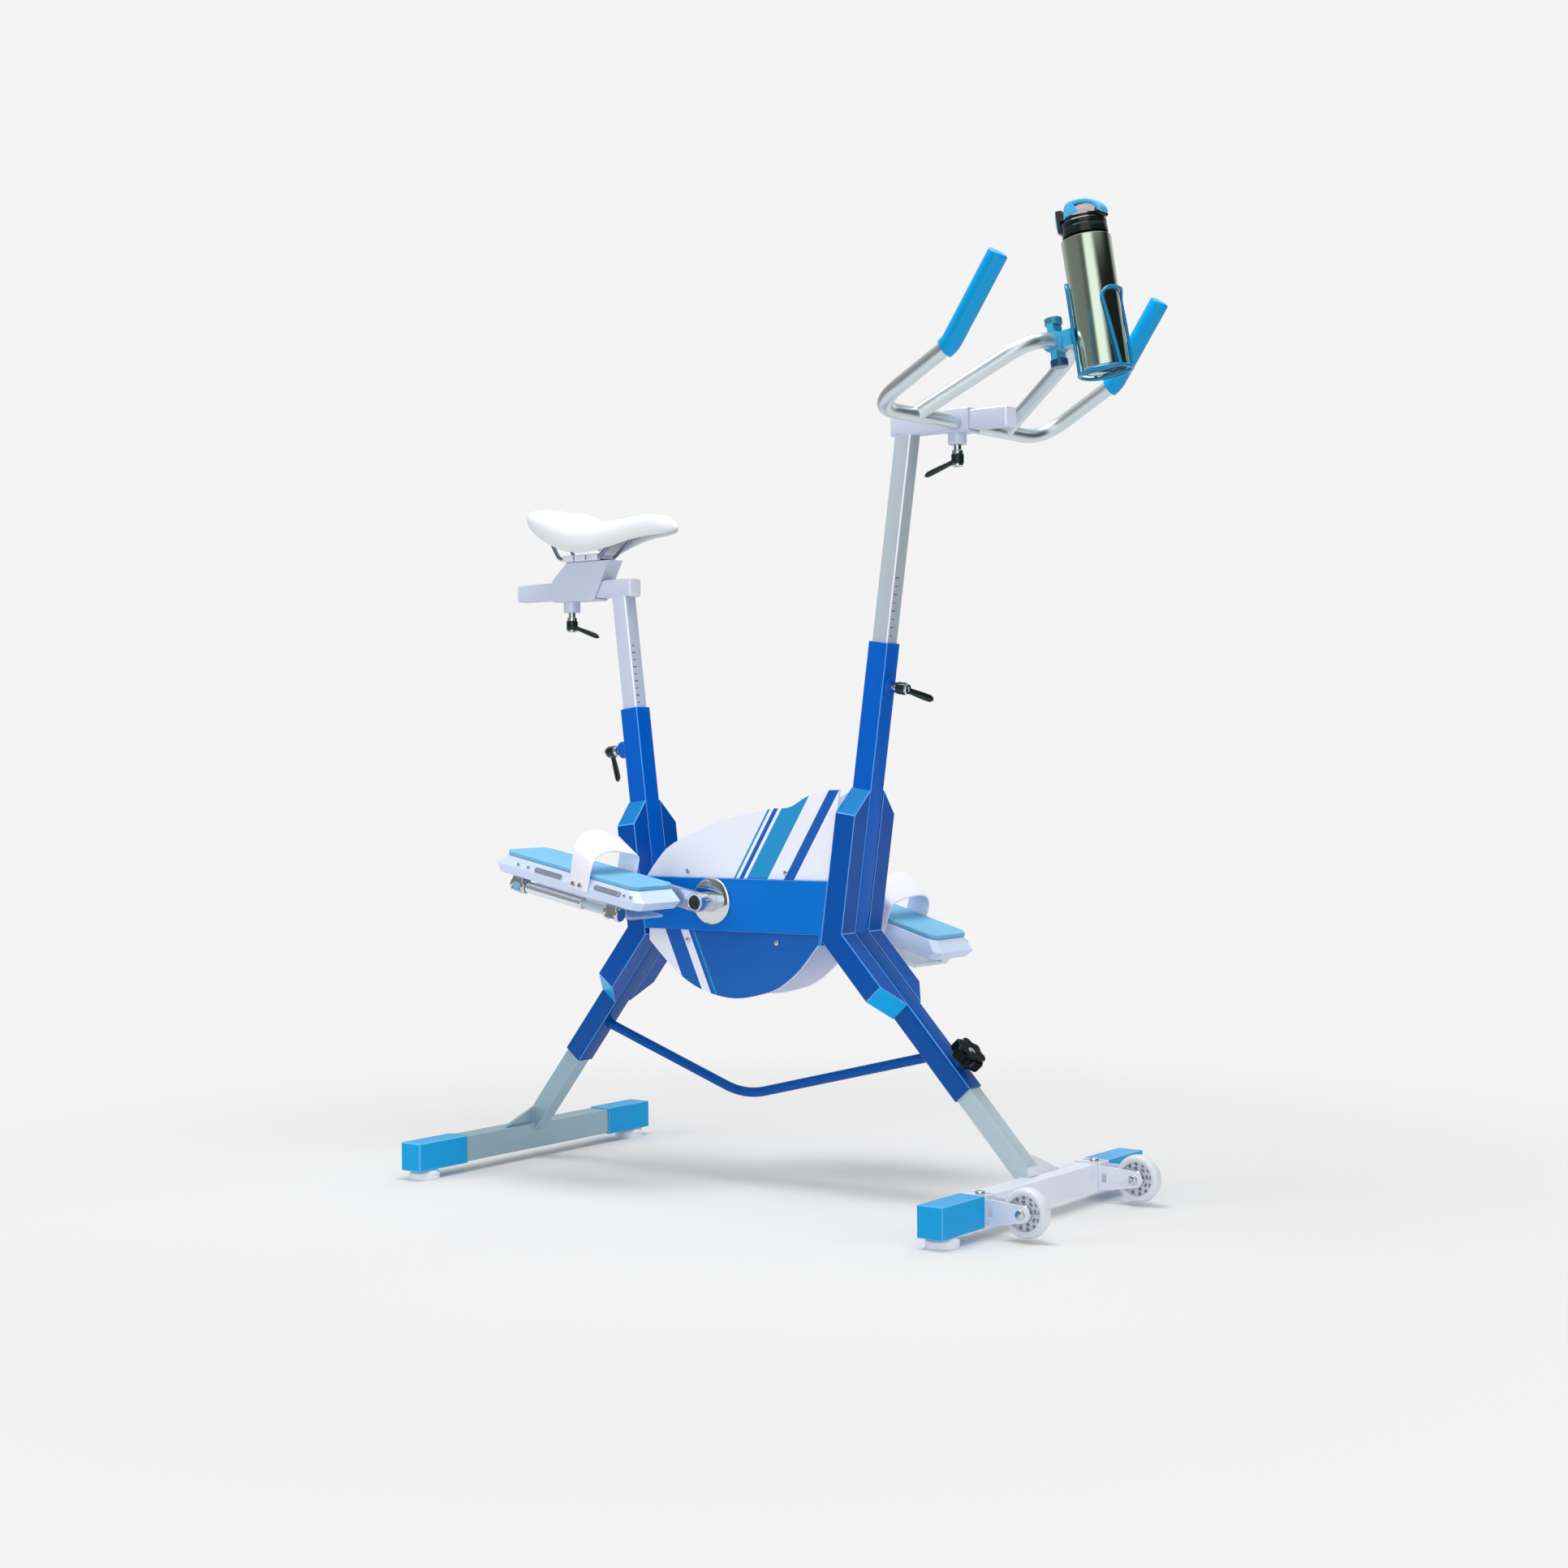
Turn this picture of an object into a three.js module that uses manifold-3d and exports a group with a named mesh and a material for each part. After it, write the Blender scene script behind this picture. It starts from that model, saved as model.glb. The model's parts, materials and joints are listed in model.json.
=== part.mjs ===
// Aqua bike: a stationary pedalling frame for use in a pool
// Sizes are in millimetres and angles in degrees. X points forward, Y to the rider's left and Z up.

import * as THREE from "three";
import { mergeVertices } from "three/addons/utils/BufferGeometryUtils.js";
import Module from "manifold-3d";

const wasm = await Module();
wasm.setup();

// Fits
const GAP = 0.3;
const SLIDE_GAP = 0.4;
const TURN_GAP = 0.4;
const OVERRUN = 6;

// Facet counts
const FINE_SIDES = 24;
const ROUND_SIDES = 20;
const PIN_SIDES = 12;
const WIRE_SIDES = 6;
const BAR_SIDES = 10;
const BEND_STEPS = 5;
const WIRE_BEND_STEPS = 3;
const COVER_STEPS = 26;
const LEVER_SIDES = 8;
const HALF_ROUND_STEPS = 8;

// Frame tubes and the posts that slide in them
const TUBE_SIZE = 40;
const TUBE_WALL = 3.6;
const POST_WALL = 2.5;
const FRONT_KNEE_X = 190;
const FRONT_KNEE_Z = 445;
const REAR_KNEE_X = -238;
const REAR_KNEE_Z = 442;
const MAST_LEAN_DEG = 8.34;
const SEAT_TUBE_LEAN_DEG = -6.79;
const MAST_LENGTH = 503.8;
const SEAT_TUBE_LENGTH = 402.8;
const FRONT_SLEEVE_LENGTH = 344;
const REAR_SLEEVE_LENGTH = 306;

// Side boxes that widen the frame at its knees
const BOX_REACH = 60;
const BOX_WALL = 3;
const BOX_CHAMFER = 42;
const FRONT_BOX_RISE = 212;
const FRONT_BOX_DROP = 125;
const REAR_BOX_RISE = 191;
const REAR_BOX_DROP = 119;

// Main beam
const BEAM_BOTTOM = 448;
const BEAM_HEIGHT = 92;
const BEAM_WALL = 4;
const FLANGE_THICKNESS = 6;
const FLANGE_DROP = 18;

// Brace tube under the beam
const BRACE_RADIUS = 8.5;
const BRACE_BEND_X = -41.8;
const BRACE_BEND_Z = 154;
const BRACE_REAR_DOWN = 219.5;
const BRACE_FRONT_DOWN = 261;
const BRACE_BEND_REACH = 45;

// Covers over and under the beam
const COVER_REACH = 55;
const COVER_THICKNESS = 4;
const UPPER_COVER_RISE = 155;
const UPPER_COVER_SETBACK = 13;
const LOWER_COVER_DROP = 117;
const LOWER_COVER_SETBACK = 6;

// Crank
const CRANK_X = -66;
const CRANK_ABOVE_BEAM_BOTTOM = 52;
const CRANK_RADIUS = 195;
const CRANK_REAR_TILT_DEG = 11.7;
const AXLE_RADIUS = 10;
const AXLE_REACH = 104;
const SHELL_WALL = 4;
const BEARING_RADIUS = 22;
const BEARING_DEPTH = 18;
const BEARING_FLANGE_RADIUS = 41.5;
const BEARING_FLANGE_THICKNESS = 6;
const ARM_BOSS_RADIUS = 17;
const ARM_BOSS_CAP = 4;
const ARM_TIP_RADIUS = 14;
const ARM_THICKNESS = 14;
const ARM_INSET = 2;
const SPINDLE_RADIUS = 7;
const SPINDLE_TIP_WALL = 8;

// Pedals
const PEDAL_GAP_TO_ARM = 7;
const PEDAL_WIDTH = 122;
const PEDAL_FLARE = 5;
const PEDAL_FRONT = 157;
const PEDAL_REAR = 148;
const PEDAL_END_FLARE = 21;
const PEDAL_TOP = 16;
const PEDAL_WAIST = -2;
const PEDAL_BOTTOM = -17;
const PEDAL_CORNER = 12;
const TREAD_THICKNESS = 8;
const PEDAL_PITCH_RIGHT_DEG = 11.4;
const PEDAL_PITCH_LEFT_DEG = 16.5;

// Foot straps
const STRAP_THICKNESS = 3.2;
const STRAP_FOOT_REAR = 18;
const STRAP_FOOT_FRONT = 60;
const STRAP_FOOT_LEVEL = -7;
const STRAP_REAR_HEIGHT = 90;
const STRAP_FRONT_HEIGHT = 62;
const STRAP_TOP_REAR = 14;
const STRAP_TOP_FRONT = 63;

// Resistance flap and its hanger under each pedal
const FLAP_LENGTH = 262;
const FLAP_WIDTH = 108;
const FLAP_THICKNESS = 4;
const FLAP_CENTRE = 4;
const FLAP_KNUCKLE_RADIUS = 8;
const FLAP_NOTCH = 9;
const HANGER_ROD_RADIUS = 4.5;
const HANGER_DROP = 15;
const HANGER_BLOCK_LENGTH = 24;
const HANGER_BLOCK_WIDTH = 24;
const HANGER_BLOCK_FLOOR = 4;
const HANGER_SPAN = 196;
const HANGER_EDGE = 13;

// Foot bars
const FOOT_SPREAD = 1102;
const FOOT_WIDTH = 640;
const BAR_DEPTH = 42;
const BAR_HEIGHT = 46;
const BAR_WALL = 3;
const CAP_WALL = 2;
const CAP_END = 4;
const CAP_LENGTH = 121.7;
const PAD_HEIGHT = 16.7;
const PAD_RADIUS = 27;
const PAD_INSET = 35;
const LEG_AIM_RISE = 8;
const GUSSET_THICKNESS = 6;
const GUSSET_HEIGHT = 33;
const GUSSET_LENGTH = 77;
const GUSSET_SETBACK = 13;
const GUSSET_LEAN = 10;
const LEG_OVERLAP = 150;

// Transport wheels
const WHEEL_RADIUS = 40;
const WHEEL_WIDTH = 22;
const WHEEL_FLOOR_GAP = 5;
const WHEEL_AHEAD = 89;
const WHEEL_HUB_RADIUS = 13;
const WHEEL_RIM = 13;
const FORK_THICKNESS = 3;
const FORK_SIDE_GAP = 2;
const FORK_END_RADIUS = 14;
const FORK_NECK_HEIGHT = 40;
const WHEEL_PIN_RADIUS = 5;
const PIN_HEAD_RADIUS = 8;
const PIN_HEAD_HEIGHT = 4;
const FORK_SLOT_LENGTH = 9;
const FORK_SLOT_HEIGHT = 15;

// Knob that locks the front leg
const KNOB_DOWN = 296;
const KNOB_RADIUS = 31;
const KNOB_HEIGHT = 22;
const KNOB_LOBE_DEPTH = 3.5;
const KNOB_LOBES = 7;
const KNOB_BOSS_HEIGHT = 9;
const KNOB_BOSS_RADIUS = 14;
const KNOB_NECK_HEIGHT = 4;
const STUD_RADIUS = 5;

// Clamping levers
const LEVER_NECK_HEIGHT = 8;
const LEVER_NECK_RADIUS = 6.5;
const LEVER_HUB_RADIUS = 9.5;
const LEVER_HUB_HEIGHT = 28;
const LEVER_REACH = 64;
const LEVER_RISE = 22;
const LEVER_ROOT_HEIGHT = 17;
const LEVER_HALF_WIDTH = 6.5;
const LEVER_HALF_DEPTH = 5;

// Seat post, its rail and the saddle carriage
const SEAT_POST_OVERLAP = 180;
const SEAT_RAIL_BOTTOM = 1046;
const SEAT_RAIL_REAR = -555;
const SEAT_RAIL_FRONT = -284;
const SEAT_LEVER_RISE = 331;
const SEAT_LEVER_BOSS = 20;
const LEVER_BOSS_RADIUS = 15.5;
const CARRIAGE_WALL = 3.6;
const CARRIAGE_REAR = -466;
const CARRIAGE_LENGTH = 104;
const CARRIAGE_LEVER_SETBACK = 31;
const CARRIAGE_CRADLE_RISE = 36;
const CARRIAGE_BOSS_HEIGHT = 20;
const SADDLE_CLAMP_THICKNESS = 12;
const SADDLE_CLAMP_LENGTH = 84;

// Saddle
const SADDLE_TAIL = -492;
const SADDLE_LENGTH = 308;
const SADDLE_HALF_WIDTH = 82;
const SADDLE_HEIGHT = 92;
const SADDLE_SEAT_GAP = 5;
const SADDLE_SHELL = 17;
const RAIL_RADIUS = 3.5;
const RAIL_SPACING = 44;

// Handlebar post, its head tube and the handlebar
const BAR_POST_OVERLAP = 200;
const HEAD_TUBE_BOTTOM = 1286.5;
const HEAD_TUBE_REAR = 290;
const HEAD_TUBE_FRONT = 516;
const HEAD_TUBE_CAP = 3.5;
const MAST_LEVER_RISE = 431;
const MAST_LEVER_BOSS = 3;
const SLEEVE_REAR = 397;
const SLEEVE_LENGTH = 47;
const SLEEVE_WALL = 3.6;
const SLEEVE_BOSS_HEIGHT = 18;
const SLEEVE_BOSS_SETBACK = 15;
const HANDLE_TUBE_RADIUS = 12.5;
const HANDLE_TUBE_WALL = 1.8;
const HANDLE_REACH = 260;
const HANDLE_BEND_REACH = 60;
const HANDLE_ARM_LENGTH = 165;
const HANDLE_ARM_DEG = 29.7;
const GRIP_LENGTH = 152;
const GRIP_DEG = 55.9;
const GRIP_BEND_REACH = 10;
const GRIP_THICKNESS = 3.2;
const GRIP_END = 4;
const GRIP_LEAD = 2;
const LOOP_DEG = 32.2;
const LOOP_LENGTH = 213;
const LOOP_FOOT_HALF = 139;
const LOOP_TOP_HALF = 70;
const LOOP_CORNER_REACH = 52;

// Bottle, its cage and the clamp on the handlebar loop
const BOTTLE_LEAN_DEG = -9;
const BOTTLE_RADIUS = 40.1;
const BOTTLE_FOOT_RADIUS = 37.9;
const BOTTLE_HEIGHT = 226;
const BOTTLE_WALL = 1.6;
const BOTTLE_NECK_RADIUS = 29;
const BOTTLE_SHOULDER = 12;
const BOTTLE_NECK_HEIGHT = 14;
const BOTTLE_ABOVE_APEX = -66.1;
const COLLAR_HEIGHT = 28;
const COLLAR_RADIUS = 36.5;
const LID_RADIUS = 31;
const LID_HEIGHT = 8;
const LID_LOOP_HEIGHT = 34;
const LID_LOOP_WIDTH = 26;
const LATCH_WIDTH = 24;
const LATCH_HEIGHT = 46;
const LATCH_THICKNESS = 7;
const CAGE_WIRE_RADIUS = 2.8;
const CAGE_REAR_HEIGHT = 149;
const CAGE_FRONT_HEIGHT = 122;
const CAGE_HALF_WIDTH = 27;
const CAGE_FRONT_FOOT = 9;
const CAGE_BEND_REACH = 22;
const CAGE_CLEARANCE = 1.8;
const CLAMP_WIDTH = 30;
const CLAMP_WALL = 5;
const CLAMP_LUG_HEIGHT = 11;
const CLAMP_ARM_WIDTH = 24;
const CLAMP_ARM_LENGTH = 16.2;
const CLAMP_SCREW_RADIUS = 5;
const CLAMP_SCREW_HEIGHT = 6;

// Sizes that follow from the ones above
const POST_SIZE = TUBE_SIZE - 2 * (TUBE_WALL + SLIDE_GAP);
const TUBE_HALF = TUBE_SIZE / 2;
const POST_HALF = POST_SIZE / 2;
const BORE_HALF = TUBE_HALF - TUBE_WALL;
const BAR_BOTTOM = PAD_HEIGHT + 2 * GAP + CAP_WALL;
const BAR_TOP = BAR_BOTTOM + BAR_HEIGHT;
const BAR_CENTRE_Z = BAR_BOTTOM + BAR_HEIGHT / 2;
const FOOT_X = FOOT_SPREAD / 2;
const LEG_AIM_Z = BAR_CENTRE_Z + LEG_AIM_RISE;
const BEAM_TOP = BEAM_BOTTOM + BEAM_HEIGHT;
const CRANK_Z = BEAM_BOTTOM + CRANK_ABOVE_BEAM_BOTTOM;
const BEARING_FACE = BOX_REACH + GAP + BEARING_FLANGE_THICKNESS;
const ARM_INNER_END = BEARING_FACE + GAP;
const ARM_OUTER_END = AXLE_REACH + GAP + ARM_BOSS_CAP;
const ARM_OUTER_FACE = ARM_OUTER_END - ARM_INSET;
const PEDAL_INNER = ARM_OUTER_FACE + PEDAL_GAP_TO_ARM;
const PEDAL_OUTER = PEDAL_INNER + PEDAL_WIDTH;

// Materials
function finish(color, roughness, metalness) {
  return new THREE.MeshStandardMaterial({ color, roughness, metalness });
}

const royalBlue = finish(0x0b3fa8, 0.35, 0.1);
const skyBlue = finish(0x2f9fe6, 0.4, 0);
const paleGrey = finish(0xb9bfd6, 0.4, 0.6);
const whitePlastic = finish(0xf1f2fa, 0.45, 0);
const treadBlue = finish(0x5fb6dc, 0.6, 0);
const lavender = finish(0xaeb4da, 0.5, 0);
const chrome = finish(0xd5dadb, 0.12, 1);
const satinSteel = finish(0xb4c0c6, 0.3, 1);
const blackPlastic = finish(0x15181a, 0.4, 0);
const clearPlastic = finish(0xcfe2ee, 0.2, 0);
const wheelPlastic = finish(0xdfe4ee, 0.4, 0);

// Solids from three.js geometry, and geometry from solids
function solid(geometry) {
  const bare = geometry.clone();
  bare.deleteAttribute("normal");
  bare.deleteAttribute("uv");
  const merged = mergeVertices(bare);
  const vertProperties = new Float32Array(merged.attributes.position.array);
  const triVerts = new Uint32Array(merged.index.array);
  return new wasm.Manifold(new wasm.Mesh({ numProp: 3, vertProperties, triVerts }));
}

function geometryOf(body) {
  const mesh = body.getMesh();
  const geometry = new THREE.BufferGeometry();
  geometry.setAttribute("position", new THREE.BufferAttribute(new Float32Array(mesh.vertProperties), 3));
  geometry.setIndex([...mesh.triVerts]);
  return geometry;
}

function mirrored(body) {
  const geometry = geometryOf(body);
  const place = geometry.attributes.position;
  for (let i = 0; i < place.count; i += 1) place.setY(i, -place.getY(i));
  const index = geometry.index.array;
  for (let i = 0; i < index.length; i += 3) {
    [index[i], index[i + 1]] = [index[i + 1], index[i]];
  }
  return solid(geometry);
}

function onSide(body, side) {
  return side > 0 ? body : mirrored(body);
}

function joined(...bodies) {
  return bodies.reduce((sum, body) => sum.add(body));
}

function meshOf(name, body, material) {
  const geometry = geometryOf(body).toNonIndexed();
  geometry.computeVertexNormals();
  const mesh = new THREE.Mesh(geometry, material);
  mesh.name = name;
  return mesh;
}

// Places in the upright plane that runs from front to back
function radians(degrees) {
  return THREE.MathUtils.degToRad(degrees);
}

function frameAt(x, z, degrees) {
  return new THREE.Matrix4().makeRotationY(radians(degrees)).setPosition(x, 0, z);
}

function inFrame(frame, x, z) {
  const point = new THREE.Vector3(x, 0, z).applyMatrix4(frame);
  return new THREE.Vector2(point.x, point.z);
}

// Where the line at a given offset in front of a leaning tube passes a height
function faceX(x, z, degrees, offset, height) {
  const angle = radians(degrees);
  const along = (height - z + offset * Math.sin(angle)) / Math.cos(angle);
  return x + offset * Math.cos(angle) + along * Math.sin(angle);
}

function circle(radius, sides, x = 0, y = 0) {
  const turn = (2 * Math.PI) / sides;
  return Array.from({ length: sides }, (_, i) => new THREE.Vector2(
    x + radius * Math.cos(i * turn), y + radius * Math.sin(i * turn)));
}

function halfRound(x, y, radius, from) {
  return Array.from({ length: HALF_ROUND_STEPS + 1 }, (_, i) => {
    const angle = from + (i / HALF_ROUND_STEPS) * Math.PI;
    return new THREE.Vector2(x + radius * Math.cos(angle), y + radius * Math.sin(angle));
  });
}

// Plain shapes
function block(x0, x1, y0, y1, z0, z1, frame = new THREE.Matrix4()) {
  const geometry = new THREE.BoxGeometry(x1 - x0, y1 - y0, z1 - z0);
  geometry.translate((x0 + x1) / 2, (y0 + y1) / 2, (z0 + z1) / 2);
  return solid(geometry.applyMatrix4(frame));
}

function cone(from, to, fromRadius, toRadius, sides, frame = new THREE.Matrix4()) {
  const axis = to.clone().sub(from);
  const geometry = new THREE.CylinderGeometry(toRadius, fromRadius, axis.length(), sides);
  const up = new THREE.Vector3(0, 1, 0);
  geometry.applyQuaternion(new THREE.Quaternion().setFromUnitVectors(up, axis.clone().normalize()));
  geometry.translate(...from.clone().add(to).multiplyScalar(0.5).toArray());
  return solid(geometry.applyMatrix4(frame));
}

function rod(from, to, radius, sides, frame) {
  return cone(from, to, radius, radius, sides, frame);
}

function crossRod(x, z, y0, y1, radius, sides) {
  return rod(new THREE.Vector3(x, y0, z), new THREE.Vector3(x, y1, z), radius, sides);
}

function plate(outline, y0, y1, holes = []) {
  const shape = new THREE.Shape(outline);
  shape.holes = holes.map((hole) => new THREE.Path(hole));
  const geometry = new THREE.ExtrudeGeometry(shape, { depth: y1 - y0, bevelEnabled: false });
  geometry.rotateX(Math.PI / 2);
  geometry.translate(0, y1, 0);
  return solid(geometry);
}

function turned(profile, sides) {
  const points = profile.map(([radius, height]) => new THREE.Vector2(radius, height));
  const geometry = new THREE.LatheGeometry(points, sides);
  return solid(geometry.rotateX(Math.PI / 2));
}

// A run of straight lines with its corners rounded off over a given reach, as points
function rounded(points, reaches, steps = BEND_STEPS) {
  const bends = points.slice(1, -1).map((corner, i) => {
    const before = corner.clone().add(points[i].clone().sub(corner).setLength(reaches[i]));
    const after = corner.clone().add(points[i + 2].clone().sub(corner).setLength(reaches[i]));
    return new THREE.QuadraticBezierCurve3(before, corner, after).getPoints(steps);
  });
  return [points[0], ...bends.flat(), points.at(-1)];
}

// Outline of a band of one width along a line of points, mitred at its corners
function band(points, half) {
  const heading = (a, b) => b.clone().sub(a).normalize();
  const offset = (side) => points.map((point, i) => {
    const before = heading(points[Math.max(i - 1, 0)], points[Math.max(i, 1)]);
    const last = points.length - 1;
    const after = heading(points[Math.min(i, last - 1)], points[Math.min(i + 1, last)]);
    const mean = before.clone().add(after).normalize();
    const across = new THREE.Vector2(-mean.y, mean.x);
    const reach = half / (across.x * -before.y + across.y * before.x);
    return point.clone().addScaledVector(across, side * reach);
  });
  return [...offset(1), ...offset(-1).reverse()];
}

function centreOf(ring) {
  const sum = ring.reduce((total, point) => total.add(point), new THREE.Vector3());
  return sum.divideScalar(ring.length);
}

function normalOf(ring) {
  const centre = centreOf(ring);
  const normal = new THREE.Vector3();
  ring.forEach((point, i) => {
    const next = ring[(i + 1) % ring.length];
    normal.add(point.clone().sub(centre).cross(next.clone().sub(centre)));
  });
  return normal.normalize();
}

function capOf(ring, outward) {
  const normal = normalOf(ring);
  const turn = new THREE.Quaternion().setFromUnitVectors(normal, new THREE.Vector3(0, 0, 1));
  const flat = ring.map((point) => point.clone().applyQuaternion(turn));
  const outline = flat.map((point) => new THREE.Vector2(point.x, point.y));
  const faces = THREE.ShapeUtils.triangulateShape(outline, []);
  return faces.map(([a, b, c]) => {
    const face = new THREE.Triangle(ring[a], ring[b], ring[c]).getNormal(new THREE.Vector3());
    return face.dot(outward) > 0 ? [a, b, c] : [a, c, b];
  });
}

// A closed skin over a row of rings that have the same number of points
function skin(sections) {
  const travel = centreOf(sections[1]).sub(centreOf(sections[0]));
  const turned = normalOf(sections[0]).dot(travel) < 0;
  const rings = turned ? sections.map((ring) => [...ring].reverse()) : sections;
  const count = rings[0].length;
  const last = (rings.length - 1) * count;
  const faces = [];
  for (let ring = 0; ring < last; ring += count) {
    for (let i = 0; i < count; i += 1) {
      const next = (i + 1) % count;
      faces.push([ring + i, ring + next, ring + count + next]);
      faces.push([ring + i, ring + count + next, ring + count + i]);
    }
  }
  const arrival = centreOf(rings.at(-1)).sub(centreOf(rings.at(-2)));
  faces.push(...capOf(rings[0], travel.negate()));
  faces.push(...capOf(rings.at(-1), arrival).map((face) => face.map((i) => i + last)));
  const geometry = new THREE.BufferGeometry().setFromPoints(rings.flat());
  geometry.setIndex(faces.flat());
  return solid(geometry);
}

// A round tube along points: its rings stand square to the run, turned from one to the next
function pipe(points, radius, sides, frame = new THREE.Matrix4()) {
  const places = points.map((point) => point.clone().applyMatrix4(frame));
  const last = places.length - 1;
  const headings = places.map((_, i) => {
    const from = places[Math.max(i - 1, 0)];
    const to = places[Math.min(i + 1, last)];
    return to.clone().sub(from).normalize();
  });
  const turn = new THREE.Quaternion().setFromUnitVectors(new THREE.Vector3(0, 0, 1), headings[0]);
  const rings = places.map((place, i) => {
    const before = headings[Math.max(i - 1, 0)];
    turn.premultiply(new THREE.Quaternion().setFromUnitVectors(before, headings[i]));
    return circle(radius, sides).map(
      (point) => new THREE.Vector3(point.x, point.y, 0).applyQuaternion(turn).add(place));
  });
  return skin(rings);
}

function ringAtY(outline, y) {
  return outline.map((point) => new THREE.Vector3(point.x, y, point.y));
}

// Frame: two bent square tubes, each a sleeve for a post above and a leg below
const frontLegDrop = Math.hypot(FOOT_X - FRONT_KNEE_X, FRONT_KNEE_Z - LEG_AIM_Z);
const rearLegDrop = Math.hypot(FOOT_X + REAR_KNEE_X, REAR_KNEE_Z - LEG_AIM_Z);
const FRONT_LEG_DEG = THREE.MathUtils.radToDeg(
  Math.atan2(FRONT_KNEE_X - FOOT_X, FRONT_KNEE_Z - LEG_AIM_Z));
const REAR_LEG_DEG = THREE.MathUtils.radToDeg(
  Math.atan2(REAR_KNEE_X + FOOT_X, REAR_KNEE_Z - LEG_AIM_Z));
const mastFrame = frameAt(FRONT_KNEE_X, FRONT_KNEE_Z, MAST_LEAN_DEG);
const seatTubeFrame = frameAt(REAR_KNEE_X, REAR_KNEE_Z, SEAT_TUBE_LEAN_DEG);
const frontLegFrame = frameAt(FRONT_KNEE_X, FRONT_KNEE_Z, FRONT_LEG_DEG);
const rearLegFrame = frameAt(REAR_KNEE_X, REAR_KNEE_Z, REAR_LEG_DEG);
const frontKnee = new THREE.Vector2(FRONT_KNEE_X, FRONT_KNEE_Z);
const rearKnee = new THREE.Vector2(REAR_KNEE_X, REAR_KNEE_Z);

function bentTube(upright, leg, knee, rise, drop) {
  const outer = band([inFrame(leg, 0, -drop), knee, inFrame(upright, 0, rise)], TUBE_HALF);
  const over = OVERRUN;
  const inner = band([inFrame(leg, 0, -drop - over), knee, inFrame(upright, 0, rise + over)], BORE_HALF);
  return plate(outer, -TUBE_HALF, TUBE_HALF).subtract(plate(inner, -BORE_HALF, BORE_HALF));
}

// A boss on the face of a tube, with the hole for a stud through it and the wall behind
function withBoss(body, base, direction, radius, height, wall) {
  const top = base.clone().addScaledVector(direction, height);
  const root = base.clone().addScaledVector(direction, -wall / 2);
  const inside = base.clone().addScaledVector(direction, -wall - OVERRUN);
  const above = top.clone().addScaledVector(direction, OVERRUN);
  const boss = rod(root, top, radius, ROUND_SIDES);
  return body.add(boss).subtract(rod(inside, above, STUD_RADIUS + GAP, PIN_SIDES));
}

function directionIn(frame, x, z) {
  return new THREE.Vector3(x, 0, z).transformDirection(frame);
}

function pointIn(frame, x, z) {
  return new THREE.Vector3(x, 0, z).applyMatrix4(frame);
}

function frontFrame() {
  const body = bentTube(mastFrame, frontLegFrame, frontKnee, MAST_LENGTH, FRONT_SLEEVE_LENGTH);
  const leverBase = pointIn(mastFrame, TUBE_HALF, MAST_LEVER_RISE);
  const forward = directionIn(mastFrame, 1, 0);
  const withLever = withBoss(body, leverBase, forward, LEVER_BOSS_RADIUS, MAST_LEVER_BOSS, TUBE_WALL);
  const knobBase = pointIn(frontLegFrame, TUBE_HALF, -KNOB_DOWN);
  const outward = directionIn(frontLegFrame, 1, 0);
  return withBoss(withLever, knobBase, outward, KNOB_BOSS_RADIUS, KNOB_BOSS_HEIGHT, TUBE_WALL);
}

function rearFrame() {
  const body = bentTube(seatTubeFrame, rearLegFrame, rearKnee, SEAT_TUBE_LENGTH, REAR_SLEEVE_LENGTH);
  const base = pointIn(seatTubeFrame, -TUBE_HALF, SEAT_LEVER_RISE);
  const backward = directionIn(seatTubeFrame, -1, 0);
  return withBoss(body, base, backward, LEVER_BOSS_RADIUS, SEAT_LEVER_BOSS, TUBE_WALL);
}

// Side boxes: pressed shells, open towards the tube, with a chamfer at each end
function sideBox(upright, leg, knee, rise, drop) {
  const at = (inset, extra) => {
    const ends = [inFrame(leg, 0, -drop - extra), knee, inFrame(upright, 0, rise + extra)];
    return band(ends, TUBE_HALF - inset);
  };
  const inner = TUBE_HALF + GAP;
  const slope = BOX_CHAMFER / (BOX_REACH - inner);
  const shell = skin([ringAtY(at(0, BOX_CHAMFER), inner), ringAtY(at(0, 0), BOX_REACH)]);
  const deep = BOX_REACH - BOX_WALL;
  const mouth = inner - OVERRUN;
  const wall = BOX_WALL;
  const atDeep = -wall;
  const atMouth = (deep - mouth) * slope - wall;
  return shell.subtract(skin([ringAtY(at(wall, atMouth), mouth), ringAtY(at(wall, atDeep), deep)]));
}

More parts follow.
